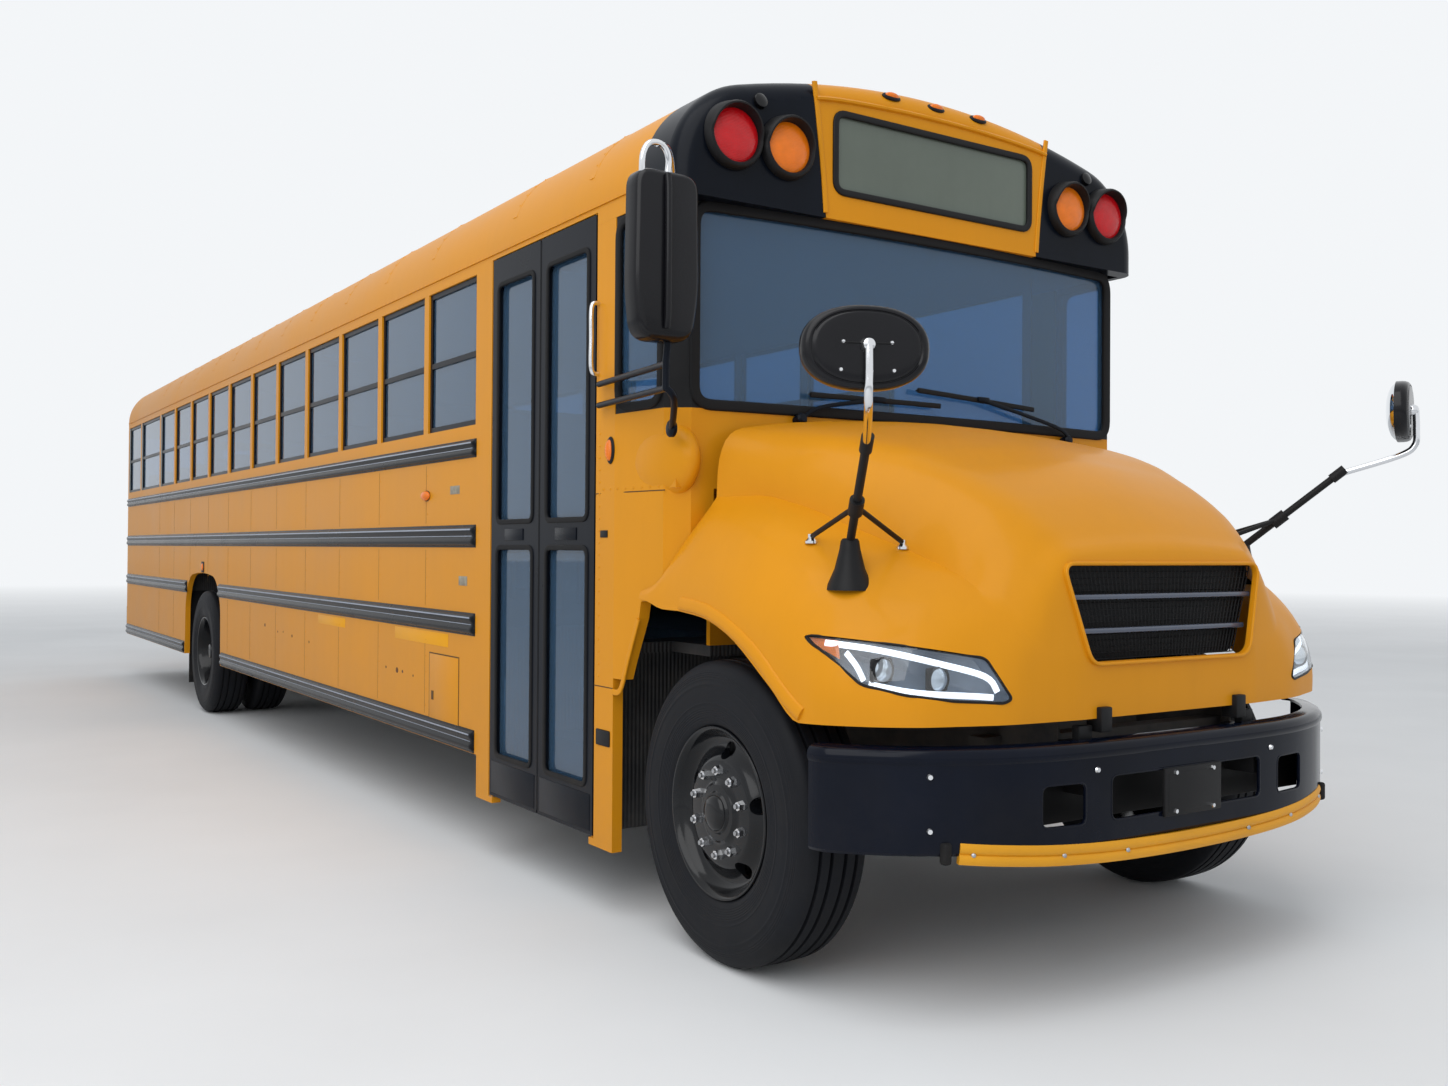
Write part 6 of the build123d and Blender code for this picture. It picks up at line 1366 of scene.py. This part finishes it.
def oval_ring(at, half_x, half_z, depth):
    """Ring of a rounded oval in the frame of a mirror."""
    points = []
    for i in range(OVAL_POINTS):
        angle = 2 * math.pi * i / OVAL_POINTS
        c, s = math.cos(angle), math.sin(angle)
        across = math.copysign(abs(c) ** (2 / OVAL_POWER), c)
        up = math.copysign(abs(s) ** (2 / OVAL_POWER), s)
        points.append(at(across * half_x, depth, up * half_z))
    return points


class BUS_OT_crossview(BusOperator, bpy.types.Operator):
    """Oval crossview mirrors on their poles, cones and braces."""
    bl_idname = "bus.crossview"
    bl_label = "Build the crossview mirrors"

    def execute(self, context):
        shell, glass, poles, metal = (bmesh.new() for _ in range(4))
        spots = []
        for sign in SIDES:
            centre = place(sign * 1320, 112, 1920)
            turn = math.radians(CROSSVIEW_TURN)
            across = Vector((math.cos(turn), sign * math.sin(turn), 0))
            inward = Vector((-sign * math.sin(turn), math.cos(turn), 0))

            def at(x, d, z):
                return centre + across * (x * MM) + inward * (d * MM) + Vector((0, 0, z * MM))

            skin(shell, [oval_ring(at, 176 * k, 114 * k, d) for k, d in SHELL_RINGS])
            skin(glass, [oval_ring(at, 170 * k, 108 * k, 48.5 + 40 * (1 - k * k) ** 0.5) for k in GLASS_RINGS])
            top, foot = Vector((sign * 1310, 60, 1925)), Vector((sign * 983, 607, 1405))
            joint, node = top.lerp(foot, 0.46), top.lerp(foot, 0.79)
            bend = [at(0, -12, 4), at(0, -14, -70), at(0, -8, -128), place(sign * 1288, 148, 1752), place(*joint)]
            sweep(metal, smooth_line(bend, 7), circle_section(0.0120, 14), up=(1, 0, 0))
            turned(metal, [(-0.001, 0.0), (-0.001, 0.022), (0.006, 0.022), (0.020, 0.016), (0.024, 0.008),
                           (0.024, 0.0)], at(0, 2, 4), -inward, 20)
            rod(poles, [place(*joint), place(*foot)], 0.0135, 14)
            turned(poles, [(-0.085, 0.0), (-0.085, 0.074), (-0.070, 0.070), (-0.020, 0.048), (0.040, 0.033),
                           (0.066, 0.029), (0.074, 0.024), (0.076, 0.0)], place(sign * 983, 607, 1345), (0, 0, 1), 32)
            line = place(*top) - place(*foot)
            for spot, radius in ((joint, 0.019), (node, 0.023)):
                turned(poles, [(-0.030, 0.0), (-0.030, radius), (0.030, radius), (0.030, 0.0)], place(*spot), line, 20)
            for x, s, z in ((989, 798, 1408), (764, 613, 1391)):
                rod(poles, [place(*node), place(sign * x, s, z + 18)], 0.0085, 12)
                turned(metal, [(-0.004, 0.0), (-0.004, 0.022), (0.004, 0.022), (0.014, 0.012), (0.026, 0.012),
                               (0.026, 0.0)], place(sign * x, s, z), (0, 0, 1), 20)
            rod(poles, [at(-70, 1, 10), at(70, 1, 10)], 0.003, 6)
            spots += [(at(x, 1.5, z), -inward) for x, z in ((-66, 12), (66, 12), (-72, -62), (72, -62))]
        piece_of("crossview_shells", shell, "mirror_black", "hood_assembly", ("crossview_mirrors",), 50.0)
        piece_of("crossview_glass", glass, "mirror_glass", "hood_assembly")
        piece_of("crossview_poles", poles, "moulded_black", "hood_assembly")
        piece_of("crossview_clamps", metal, "chrome", "hood_assembly")
        studs("crossview_screws", spots, 6, 4.5, 3, 12, "chrome", "hood_assembly", 60.0)
        return {"FINISHED"}


class BUS_OT_flat_mirror(BusOperator, bpy.types.Operator):
    """Tall flat mirror of the passenger's side with its arms and braces."""
    bl_idname = "bus.flat_mirror"
    bl_label = "Build the flat mirror"

    def execute(self, context):
        shell, arms, bright, glass = (bmesh.new() for _ in range(4))
        steps = ((1172, 2), (1172, 12), (1150, 12), (1116, 11), (1104, 6), (1098, -2), (1096, -8))
        outline = rounded(((-1456, 2062), (-1252, 2062), (-1226, 2230), (-1232, 2618), (-1468, 2618), (-1474, 2230)),
                          62, 6)
        rings = [[place(x, s, z) for x, z in (inset(outline, 12 - out) if out < 12 else outline)] for s, out in steps]
        skin(shell, rings)
        channel = [(-1360, 1090, 2100), (-1360, 1084, 2140), (-1360, 1082, 2340), (-1360, 1084, 2560),
                   (-1360, 1090, 2600)]
        sweep(shell, [place(*p) for p in channel], rounded_section(0.022, 0.022, 0.009), up=(0, -1, 0))
        plate(glass, [place(x, 1172, z) for x, z in inset(outline, 16)], (0, 0.004, 0))
        upright = [(-1330, 1136, 2062), (-1330, 1146, 2000), (-1330, 1146, 1905)]
        rod(arms, [place(*p) for p in upright], 0.012, 14)
        for z in (1912, 1992):
            path = smooth_line([place(-1330, 1146, z), place(-1300, 1300, z + 4), place(-1216, 1840, z + 12)], 8)
            sweep(arms, path, circle_section(0.0115, 12))
        path = smooth_line([place(-1330, 1146, 1915), place(-1290, 1160, 1878), place(-1196, 1330, 1800)], 8)
        sweep(arms, path, circle_section(0.0115, 12))
        turned(arms, [(-0.004, 0.0), (-0.004, 0.030), (0.008, 0.030), (0.012, 0.020), (0.012, 0.0)],
               place(-1196, 1330, 1800), (-1, 0, 0), 20)
        loop = [(-1440, 1120, 2600), (-1440, 1112, 2660), (-1415, 1110, 2698), (-1370, 1110, 2698), (-1345, 1112, 2660),
                (-1345, 1120, 2600)]
        rod(bright, [place(*p) for p in loop], 0.0105, 12, 5)
        rod(bright, [place(-1392, 1110, 2698), place(-1300, 1180, 2706), place(-1192, 1330, 2600)], 0.0095, 12, 8)
        rod(bright, [place(-1330, 1140, 2600), place(-1260, 1300, 2560), place(-1196, 1590, 2480)], 0.0095, 12, 8)
        piece_of("flat_mirror_shell", shell, "mirror_black", "bus_body", ("flat_mirror",))
        piece_of("flat_mirror_glass", glass, "mirror_glass", "bus_body")
        piece_of("flat_mirror_arms", arms, "satin_black", "bus_body")
        piece_of("flat_mirror_braces", bright, "chrome", "bus_body")
        return {"FINISHED"}


# Wheels and tyres

def tyre_profile(rings):
    """Closed section of a tyre as pairs of distance from its middle plane and radius."""
    wall = [(113, 284), (122, 291), (128, 302), (132, 322), (135, 345), (137.5, 372), (138.5, 400), (137.5, 428),
            (134, 452), (129, 470), (123, 482), (116, 491), (108, 498), (100, 503)]
    fine = []
    for i in range(len(wall) - 1):
        (d0, r0), (d1, r1) = wall[i], wall[i + 1]
        parts = max(1, int((r1 - r0) / 3.5))
        fine += [(d0 + (d1 - d0) * k / parts, r0 + (r1 - r0) * k / parts) for k in range(parts)]
    fine.append(wall[-1])
    ribbed = []
    for i, (d, r) in enumerate(fine):
        raised = 0.0
        if rings and (306 < r < 356 or 436 < r < 476):
            raised = 0.9 if i % 2 else -0.3
        if 362 < r < 366 or 424 < r < 430:
            raised = 1.6
        ribbed.append((d + raised, r))
    tread = [(92, 504.5), (78, 505.5), (76, 493), (66, 493), (64, 506), (34, 507), (32, 493), (22, 493), (20, 507),
             (0, 507)]
    half = ribbed + tread
    return half + [(-d, r) for d, r in reversed(half[:-1])]


# Section of each wheel from its outer face back along its inside, as pairs of distance from the middle of the
# bus and radius in millimetres; the rear twin's inner rim is a closed section of its own
FRONT_SECTION = ((1176, 0), (1175.5, 26), (1171, 48), (1163, 58), (1158, 60), (1158, 66), (1150, 72), (1148, 92),
                 (1141, 100), (1137, 108), (1136, 118), (1136, 170), (1134, 180), (1124, 192), (1108, 206),
                 (1101, 220), (1100, 236), (1106, 248), (1118, 258), (1134, 266), (1148, 272), (1153, 279),
                 (1153, 285), (1149, 287), (1130, 283), (1116, 266), (1060, 260), (920, 264), (903, 286),
                 (901, 279), (922, 256), (1050, 250), (1088, 244), (1090, 190), (1090, 110), (1060, 60), (1060, 0))
REAR_SECTION = ((1136, 0), (1136, 44), (1131, 56), (1112, 62), (1110, 84), (1104, 92), (1030, 98), (1016, 106),
                (1011, 116), (1010, 176), (1004, 188), (1000, 205), (1004, 228), (1016, 244), (1040, 254),
                (1140, 262), (1160, 269), (1172, 277), (1174, 284), (1170, 287), (1152, 284), (1136, 268),
                (1040, 262), (950, 262), (930, 284), (924, 279), (940, 256), (985, 246), (988, 190), (988, 110),
                (960, 60), (960, 0))
INNER_RIM = ((844, 286), (830, 268), (700, 262), (612, 266), (596, 286), (594, 279), (608, 256), (700, 252),
             (828, 256), (842, 278))
HAND_HOLES, HOLE_CIRCLE = 5, 207
# Tyre node, wheel node and body, each without its side; middle planes and steps of the tyres; sections and
# steps of the wheel; plane and radius of its hand holes; plane of its nuts
WHEELS = (("tyre_front_", "wheel_front_", "front_wheel_", (1026,), 120, (FRONT_SECTION,), 96, 1110, 29, 1136),
          ("tyres_rear_", "wheels_rear_", "rear_wheels_", (1049, 719), 96, (REAR_SECTION, INNER_RIM), 80, 1000, 27,
           1010))


class BUS_OT_wheels(BusOperator, bpy.types.Operator):
    """Tyres with ribs and rings, pressed wheels with hand holes, hubs and nuts."""
    bl_idname = "bus.wheels"
    bl_label = "Build the wheels"

    def execute(self, context):
        details = context.scene.bus_details
        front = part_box("tyre_front_right")
        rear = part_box("tyres_rear_right")
        for side, sign in (("right", -1), ("left", 1)):
            for row, (low, high) in zip(WHEELS, (front, rear)):
                tyre, wheel, body, planes, steps, sections, turns, plane, radius, nut_plane = row
                hub = Vector((0, (low.y + high.y) / 2, TYRE_RADIUS))
                bm = bmesh.new()
                for middle in planes:
                    profile = section_of(tyre_profile(details.tyre_rings))
                    turned(bm, profile, hub + Vector((sign * middle * MM, 0, 0)), (sign, 0, 0), steps, loop=True)
                piece_of(tyre + side + "_rubber", bm, "tyre_black", body + side, (tyre + side,), 28.0)
                bm = bmesh.new()
                for section in sections:
                    turned(bm, section_of(section), hub, (sign, 0, 0), turns, loop=section is INNER_RIM)
                disc = self.holes(shape_object(wheel + side + "_disc", bm), sign, hub, plane, radius)
                dress(disc, "wheel_black", body + side, (wheel + side,), 32.0)
                self.nuts(wheel + side, sign, hub, nut_plane, body + side, details)
        return {"FINISHED"}

    def holes(self, piece, sign, hub, plane, radius):
        """Cuts the ring of hand holes."""
        cutter = bmesh.new()
        for i in range(HAND_HOLES):
            angle = 2 * math.pi * (i + 0.3) / HAND_HOLES
            centre = hub + Vector((sign * plane * MM, HOLE_CIRCLE * MM * math.cos(angle),
                                   HOLE_CIRCLE * MM * math.sin(angle)))
            turned(cutter, [(-0.08, 0.0), (-0.08, radius * MM), (0.08, radius * MM), (0.08, 0.0)], centre,
                   (sign, 0, 0), 28)
        return cut(piece, shape_object("cutter", cutter))

    def nuts(self, node, sign, hub, plane, body, details):
        """Ring of nuts with the ends of their studs."""
        spots, ends = [], []
        for i in range(details.nuts):
            angle = 2 * math.pi * (i + 0.5) / details.nuts
            out = Vector((0, math.cos(angle), math.sin(angle))) * details.nut_circle
            spots.append((hub + out + Vector((sign * plane * MM, 0, 0)), (sign, 0, 0)))
            ends.append((hub + out + Vector((sign * (plane + 18) * MM, 0, 0)), (sign, 0, 0)))
        studs(node + "_nuts", spots, 18.5, 15.5, 20, 6, "chrome", body, 30.0)
        studs(node + "_studs", ends, 9, 8, 12, 12, "dull_steel", body, 60.0)


# Sides

# Rub rail's section: millimetres that it stands out, and share of its height
RAIL_SECTION = ((-1, 0.0), (3, 0.01), (4, 0.08), (11, 0.12), (16, 0.18), (17.4, 0.26), (16, 0.35), (10, 0.42),
                (8.5, 0.5), (10, 0.58), (16, 0.65), (17.4, 0.74), (16, 0.82), (11, 0.88), (4, 0.92), (3, 0.99),
                (-1, 1.0))
# Stations of the pillars, and the run of the rear wheel arch
FIRST_PILLAR, PILLAR_PITCH = 3732, 722
PILLARS = [FIRST_PILLAR + PILLAR_PITCH * i for i in range(11)]
ARCH_RUN = (8300, 9700)
# Lower and upper edge, front and rear station
ACCESS_DOOR = (456, 862, 3282, 3661)
# Foot and head radius, height in millimetres and sides of a body rivet
RIVET = (4.5, 2.5, 2.2, 8)


class BUS_OT_sides(BusOperator, bpy.types.Operator):
    """Rub rails, seams, rivets, patches, rust spots, drip rails and the access door of the side walls."""
    bl_idname = "bus.sides"
    bl_label = "Build the sides"

    def execute(self, context):
        rails, edges = bmesh.new(), bmesh.new()
        for low, high in solid_boxes("rub_rails"):
            sign = 1 if high.x > 0 else -1
            face = low.x if sign > 0 else high.x
            rings = []
            for y, share in ((low.y, 0.1), (low.y + 0.006, 0.62), (low.y + 0.020, 0.95), (low.y + 0.034, 1.0),
                             (high.y - 0.034, 1.0), (high.y - 0.020, 0.95), (high.y - 0.006, 0.62), (high.y, 0.1)):
                rings.append([Vector((face + sign * proud * share * MM, y, low.z + (high.z - low.z) * up))
                              for proud, up in RAIL_SECTION])
            skin(rails, rings)
            # Thin light strips on the top ridge and the middle groove of each rail: painted reflections of the sky, not
            # parts of the rail.
            for up, width in ((0.79, 0.0032), (0.50, 0.0016)):
                z = low.z + (high.z - low.z) * up
                out = face + sign * (16.6 if up > 0.6 else 8.4) * MM
                slab(edges, (out, low.y + 0.03, z - width), (out + sign * 0.0012, high.y - 0.03, z + width))
        piece_of("side_rails", rails, "rail_black", "bus_body", ("rub_rails",))
        piece_of("side_rail_edges", edges, "rail_edge", "bus_body")

        seams, drip, grey, rust, fresh, steel = (bmesh.new() for _ in range(6))
        rivets = []
        pitch = context.scene.bus_details.rivet_pitch / MM
        for sign in SIDES:
            for station in PILLARS:
                for z0, z1 in ((560, 966), (1096, 1372), (1502, 1788)):
                    if ARCH_RUN[0] < station < ARCH_RUN[1] and z0 < 1000:
                        continue
                    slab(seams, place(sign * 1194.5, station - 1, z0), place(sign * 1195.5, station + 1, z1))
                    count = max(2, int((z1 - z0) / pitch))
                    rivets += [(place(sign * SIDE_X, station - 16, z0 + (z1 - z0) * (k + 0.5) / count), (sign, 0, 0))
                               for k in range(count)]
            path = [place(sign * 1193, 1575, 2700), place(sign * 1193, 12800, 2700)]
            section = ((-8, -8), (8, -8), (15, -3), (15, 6), (10, 6), (9, 0), (-8, 2))
            sweep(drip, path, section_of([(-sign * a, b) for a, b in section]), up=(0, 0, 1))
        for s, z, w, h in ((3348, 1657, 60, 20), (3238, 1228, 52, 22)):
            slab(grey, place(-1196.2, s - w, z - h), place(-1194, s + w, z + h), 1 * MM)
        for s, z, size in ((6906, 833, 13), (6199, 797, 11), (5800, 783, 9), (4144, 739, 16), (3589, 735, 12),
                           (6560, 806, 8), (6420, 812, 7), (4320, 742, 8), (4060, 738, 9), (3900, 730, 7)):
            blob(rust, place(-1194.6, s, z), (0.0012, size * MM * 1.3, size * MM), None, 8)
        slab(fresh, place(-1195.8, 3420, 905), place(-1194, 4180, 968), 0.4 * MM)
        slab(fresh, place(-1195.8, 5050, 912), place(-1194, 5600, 966), 0.4 * MM)
        z0, z1, s0, s1 = ACCESS_DOOR
        slab(steel, place(-1197.5, s0, z0), place(-1194, s1, z1), 1.5 * MM)
        slab(seams, place(-1196.5, s0 - 6, z0 - 6), place(-1194.4, s1 + 6, z1 + 6))
        slab(seams, place(-1199, s1 - 60, (z0 + z1) / 2 - 22), place(-1197, s1 - 30, (z0 + z1) / 2 + 22), 1 * MM)
        piece_of("panel_seams", seams, "seam_dark", "bus_body")
        piece_of("drip_rails", drip, "yellow_enamel", "bus_body")
        piece_of("grey_patches", grey, "patch_grey", "bus_body")
        piece_of("rust_spots", rust, "rust", "bus_body")
        piece_of("fresh_patches", fresh, "fresh_yellow", "bus_body")
        piece_of("access_door", steel, "yellow_enamel", "bus_body")
        studs("side_rivets", rivets, *RIVET, "yellow_enamel", "bus_body", 60.0)
        return {"FINISHED"}


class BUS_OT_doors(BusOperator, bpy.types.Operator):
    """Gaskets, meeting edge and plates of the entrance leaves."""
    bl_idname = "bus.doors"
    bl_label = "Build the entrance's details"

    def execute(self, context):
        for name, start, end, meeting in (("front", 1911, 2402, 2408), ("rear", 2414, 2905, None)):
            rubber, recess = bmesh.new(), bmesh.new()
            body = "entry_leaf_" + name
            for low, high in ((470, 1384), (1499, 2545)):
                gasket(rubber, (start + 60, end - 60, low - 2, high + 2), 38, 5, 200,
                       lambda s, z: place(-SIDE_X, s, z), (0.022, 0.012, 0.005), (-1, 0, 0))
            if meeting:
                sweep(rubber, [place(-1192, meeting - 2, 300), place(-1192, meeting - 2, 2655)],
                      rounded_section(0.008, 0.010, 0.003), up=(-1, 0, 0))
            slab(recess, place(-1198.5, start + 150, 1416), place(-1194, end - 150, 1466), 2 * MM)
            slab(recess, place(-1197, start + 20, 300), place(-1194, end - 20, 440), 2 * MM)
            piece_of("leaf_gaskets_" + name, rubber, "rubber_black", body)
            piece_of("leaf_plates_" + name, recess, "satin_black", body)
        return {"FINISHED"}


# Inside

class BUS_OT_seats(BusOperator, bpy.types.Operator):
    """Padded cushions, backs and the driver's seat."""
    bl_idname = "bus.seats"
    bl_label = "Build the seats"

    def execute(self, context):
        for node, fill, bevel in (("seat_cushions", 0.7, 0.034), ("seat_backs", 0.7, 0.036)):
            bm = bmesh.new()
            for low, high in solid_boxes(node):
                slab(bm, low, high, bevel, 4)
            piece_of("padded_" + node, bm, "seat_cloth", "bus_body", (node,), 60.0)
        low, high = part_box("driver_seat")
        bm = bmesh.new()
        slab(bm, (low.x, low.y, 1.410), (high.x, high.y - 0.085, 1.535), 0.042, 4)
        slab(bm, (low.x + 0.01, high.y - 0.13, 1.46), (high.x - 0.01, high.y, 2.12), 0.048, 4)
        slab(bm, (low.x + 0.13, low.y + 0.10, low.z), (high.x - 0.13, high.y - 0.18, 1.42), 0.012, 2)
        piece_of("padded_driver_seat", bm, "seat_cloth", "bus_body", ("driver_seat",), 60.0)
        return {"FINISHED"}


# Rear, roof and stop arm

# Station of the gaskets round the rear windows
REAR_GASKET = 12821


class BUS_OT_rear(BusOperator, bpy.types.Operator):
    """Tail lamps, window gaskets, handle of the emergency door and tail pipe."""
    bl_idname = "bus.rear"
    bl_label = "Build the rear's details"

    def execute(self, context):
        bezel, lens, rubber, handle = (bmesh.new() for _ in range(4))
        for low, high in solid_boxes("tail_lamps"):
            centre = Vector(((low.x + high.x) / 2, high.y - 0.012, (low.z + high.z) / 2))
            lamp_face(lens, bezel, centre, (0, 1, 0), (high.x - low.x) / 2 / MM)
        piece_of("tail_lenses", lens, "lens_red", "bus_body", ("tail_lamps",))
        piece_of("tail_bezels", bezel, "moulded_black", "bus_body")
        for x0, x1, z0, z1 in ((-1040, -400, 1950, 2560), (400, 1040, 1950, 2560)):
            gasket(rubber, (x0, x1, z0, z1), 60, 6, 160, lambda x, z: place(x, REAR_GASKET, z),
                   (0.030, 0.014, 0.005), (0, 1, 0))
        piece_of("rear_gaskets", rubber, "rubber_black", "bus_body")
        edge = bmesh.new()
        for z0, z1 in ((1240, 1700), (1950, 2470)):
            gasket(edge, (-229, 229, z0, z1), 50, 6, 160, lambda x, z: place(x, REAR_GASKET, z),
                   (0.026, 0.012, 0.005), (0, 1, 0))
        piece_of("door_gaskets", edge, "rubber_black", "emergency_door")
        rod(handle, [place(180, 12822, 1840), place(180, 12862, 1840), place(60, 12862, 1840), place(60, 12822, 1840)],
            0.009, 12, 4)
        piece_of("door_handle", handle, "dull_steel", "emergency_door")
        pipe = bmesh.new()
        profile = [(0.0, 0.050), (1.0, 0.050), (1.0, 0.046), (0.0, 0.046)]
        turned(pipe, profile, place(-620, 11850, 420), (0, 1, 0), 24, loop=True)
        piece_of("tail_pipe", pipe, "dull_steel", "bus_body")
        return {"FINISHED"}


# Section of a band over a roof seam, as pairs of place across it and height
BAND_SECTION = ((-0.022, -0.002), (-0.020, 0.0018), (0.020, 0.0018), (0.022, -0.002))


class BUS_OT_roof(BusOperator, bpy.types.Operator):
    """Bands over the roof's seams, with their rivets."""
    bl_idname = "bus.roof"
    bl_label = "Build the roof's details"

    def execute(self, context):
        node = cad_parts["roof_shell"]
        surface = BVHTree.FromPolygons([v.co for v in node.data.vertices],
                                       [tuple(p.vertices) for p in node.data.polygons])
        bands = bmesh.new()
        rivets = []
        for station in [1990, 2720] + [s - 15 for s in PILLARS]:
            middle = Vector((0, station * MM - MIDDLE, 2.2))
            runs = [[]]
            for i in range(49):
                angle = math.radians(-62 + 124 * i / 48)
                out = Vector((math.sin(angle), 0, math.cos(angle)))
                hit = surface.ray_cast(middle + out * 2.0, -out)[0]
                if hit is None or (hit - middle).length < 0.8:
                    runs.append([])
                else:
                    runs[-1].append((hit, out))
            for run in runs:
                if len(run) < 3:
                    continue
                skin(bands, [[point + out * h + Vector((0, w, 0)) for w, h in BAND_SECTION] for point, out in run])
                rivets += [(point + out * 0.0016, out) for point, out in run if point.z < 3.1]
        piece_of("roof_bands", bands, "yellow_enamel", "bus_body")
        studs("roof_rivets", rivets, *RIVET, "yellow_enamel", "bus_body", 60.0)
        return {"FINISHED"}


# Stop sign: station and height of its middle, outer and inner radius of its border, its lamps' height from there
STOP_STATION, STOP_Z = 2410, 1640
STOP_OUTER, STOP_INNER = 238, 218
STOP_LAMP = 150


class BUS_OT_stop_arm(BusOperator, bpy.types.Operator):
    """White border and lamps of the octagonal stop arm, without any lettering."""
    bl_idname = "bus.stop_arm"
    bl_label = "Build the stop arm's details"

    def execute(self, context):
        border, lamps, bezel = bmesh.new(), bmesh.new(), bmesh.new()
        corners = [(math.cos(math.radians(22.5 + 45 * i)), math.sin(math.radians(22.5 + 45 * i))) for i in range(8)]
        for x0, x1 in ((1226.2, 1227.2), (1236.8, 1237.8)):
            outer = [place(x0, STOP_STATION + c * STOP_OUTER, STOP_Z + s * STOP_OUTER) for c, s in corners]
            inner = [place(x0, STOP_STATION + c * STOP_INNER, STOP_Z + s * STOP_INNER) for c, s in corners]
            thick = Vector(((x1 - x0) * MM, 0, 0))
            rings = [outer, inner, [p + thick for p in inner], [p + thick for p in outer]]
            skin(border, rings, caps=False, loop=True)
        for z in (STOP_Z + STOP_LAMP, STOP_Z - STOP_LAMP):
            for axis, x in ((1, 1238), (-1, 1226)):
                lamp_face(lamps, bezel, place(x, STOP_STATION, z), (axis, 0, 0), 42)
        piece_of("stop_arm_border", border, "sign_white", "stop_sign_arm")
        piece_of("stop_arm_lamps", lamps, "lens_red", "stop_sign_arm")
        piece_of("stop_arm_bezels", bezel, "moulded_black", "stop_sign_arm")
        return {"FINISHED"}


# Panel and start

OPERATORS = (BUS_OT_stage, BUS_OT_node_finishes, BUS_OT_hood, BUS_OT_bumper, BUS_OT_cap, BUS_OT_windshield, BUS_OT_cowl,
             BUS_OT_crossview, BUS_OT_flat_mirror, BUS_OT_wheels, BUS_OT_sides, BUS_OT_doors, BUS_OT_seats, BUS_OT_rear,
             BUS_OT_roof, BUS_OT_stop_arm)


class BUS_PT_panel(bpy.types.Panel):
    """Settings, and a button for each group of pieces, in the order of the work."""
    bl_idname = "BUS_PT_panel"
    bl_label = "School Bus"
    bl_space_type = "VIEW_3D"
    bl_region_type = "UI"
    bl_category = "School Bus"

    def draw(self, context):
        layout = self.layout
        for group in (context.scene.bus_finishes, context.scene.bus_details, context.scene.bus_stage):
            box = layout.box()
            for name in group.__annotations__:
                box.prop(group, name)
        for operator in OPERATORS:
            layout.operator(operator.bl_idname)


SETTINGS = (("bus_finishes", BusFinishSettings), ("bus_details", BusDetailSettings), ("bus_stage", BusStageSettings))


def register():
    for name, group in SETTINGS:
        bpy.utils.register_class(group)
        setattr(bpy.types.Scene, name, bpy.props.PointerProperty(type=group))
    for operator in OPERATORS:
        bpy.utils.register_class(operator)
    bpy.utils.register_class(BUS_PT_panel)


def unregister():
    bpy.utils.unregister_class(BUS_PT_panel)
    for operator in reversed(OPERATORS):
        bpy.utils.unregister_class(operator)
    for name, group in reversed(SETTINGS):
        delattr(bpy.types.Scene, name)
        bpy.utils.unregister_class(group)


def main():
    register()
    for operator in OPERATORS:
        group, name = operator.bl_idname.split(".")
        getattr(getattr(bpy.ops, group), name)()


if __name__ == "__main__":
    main()
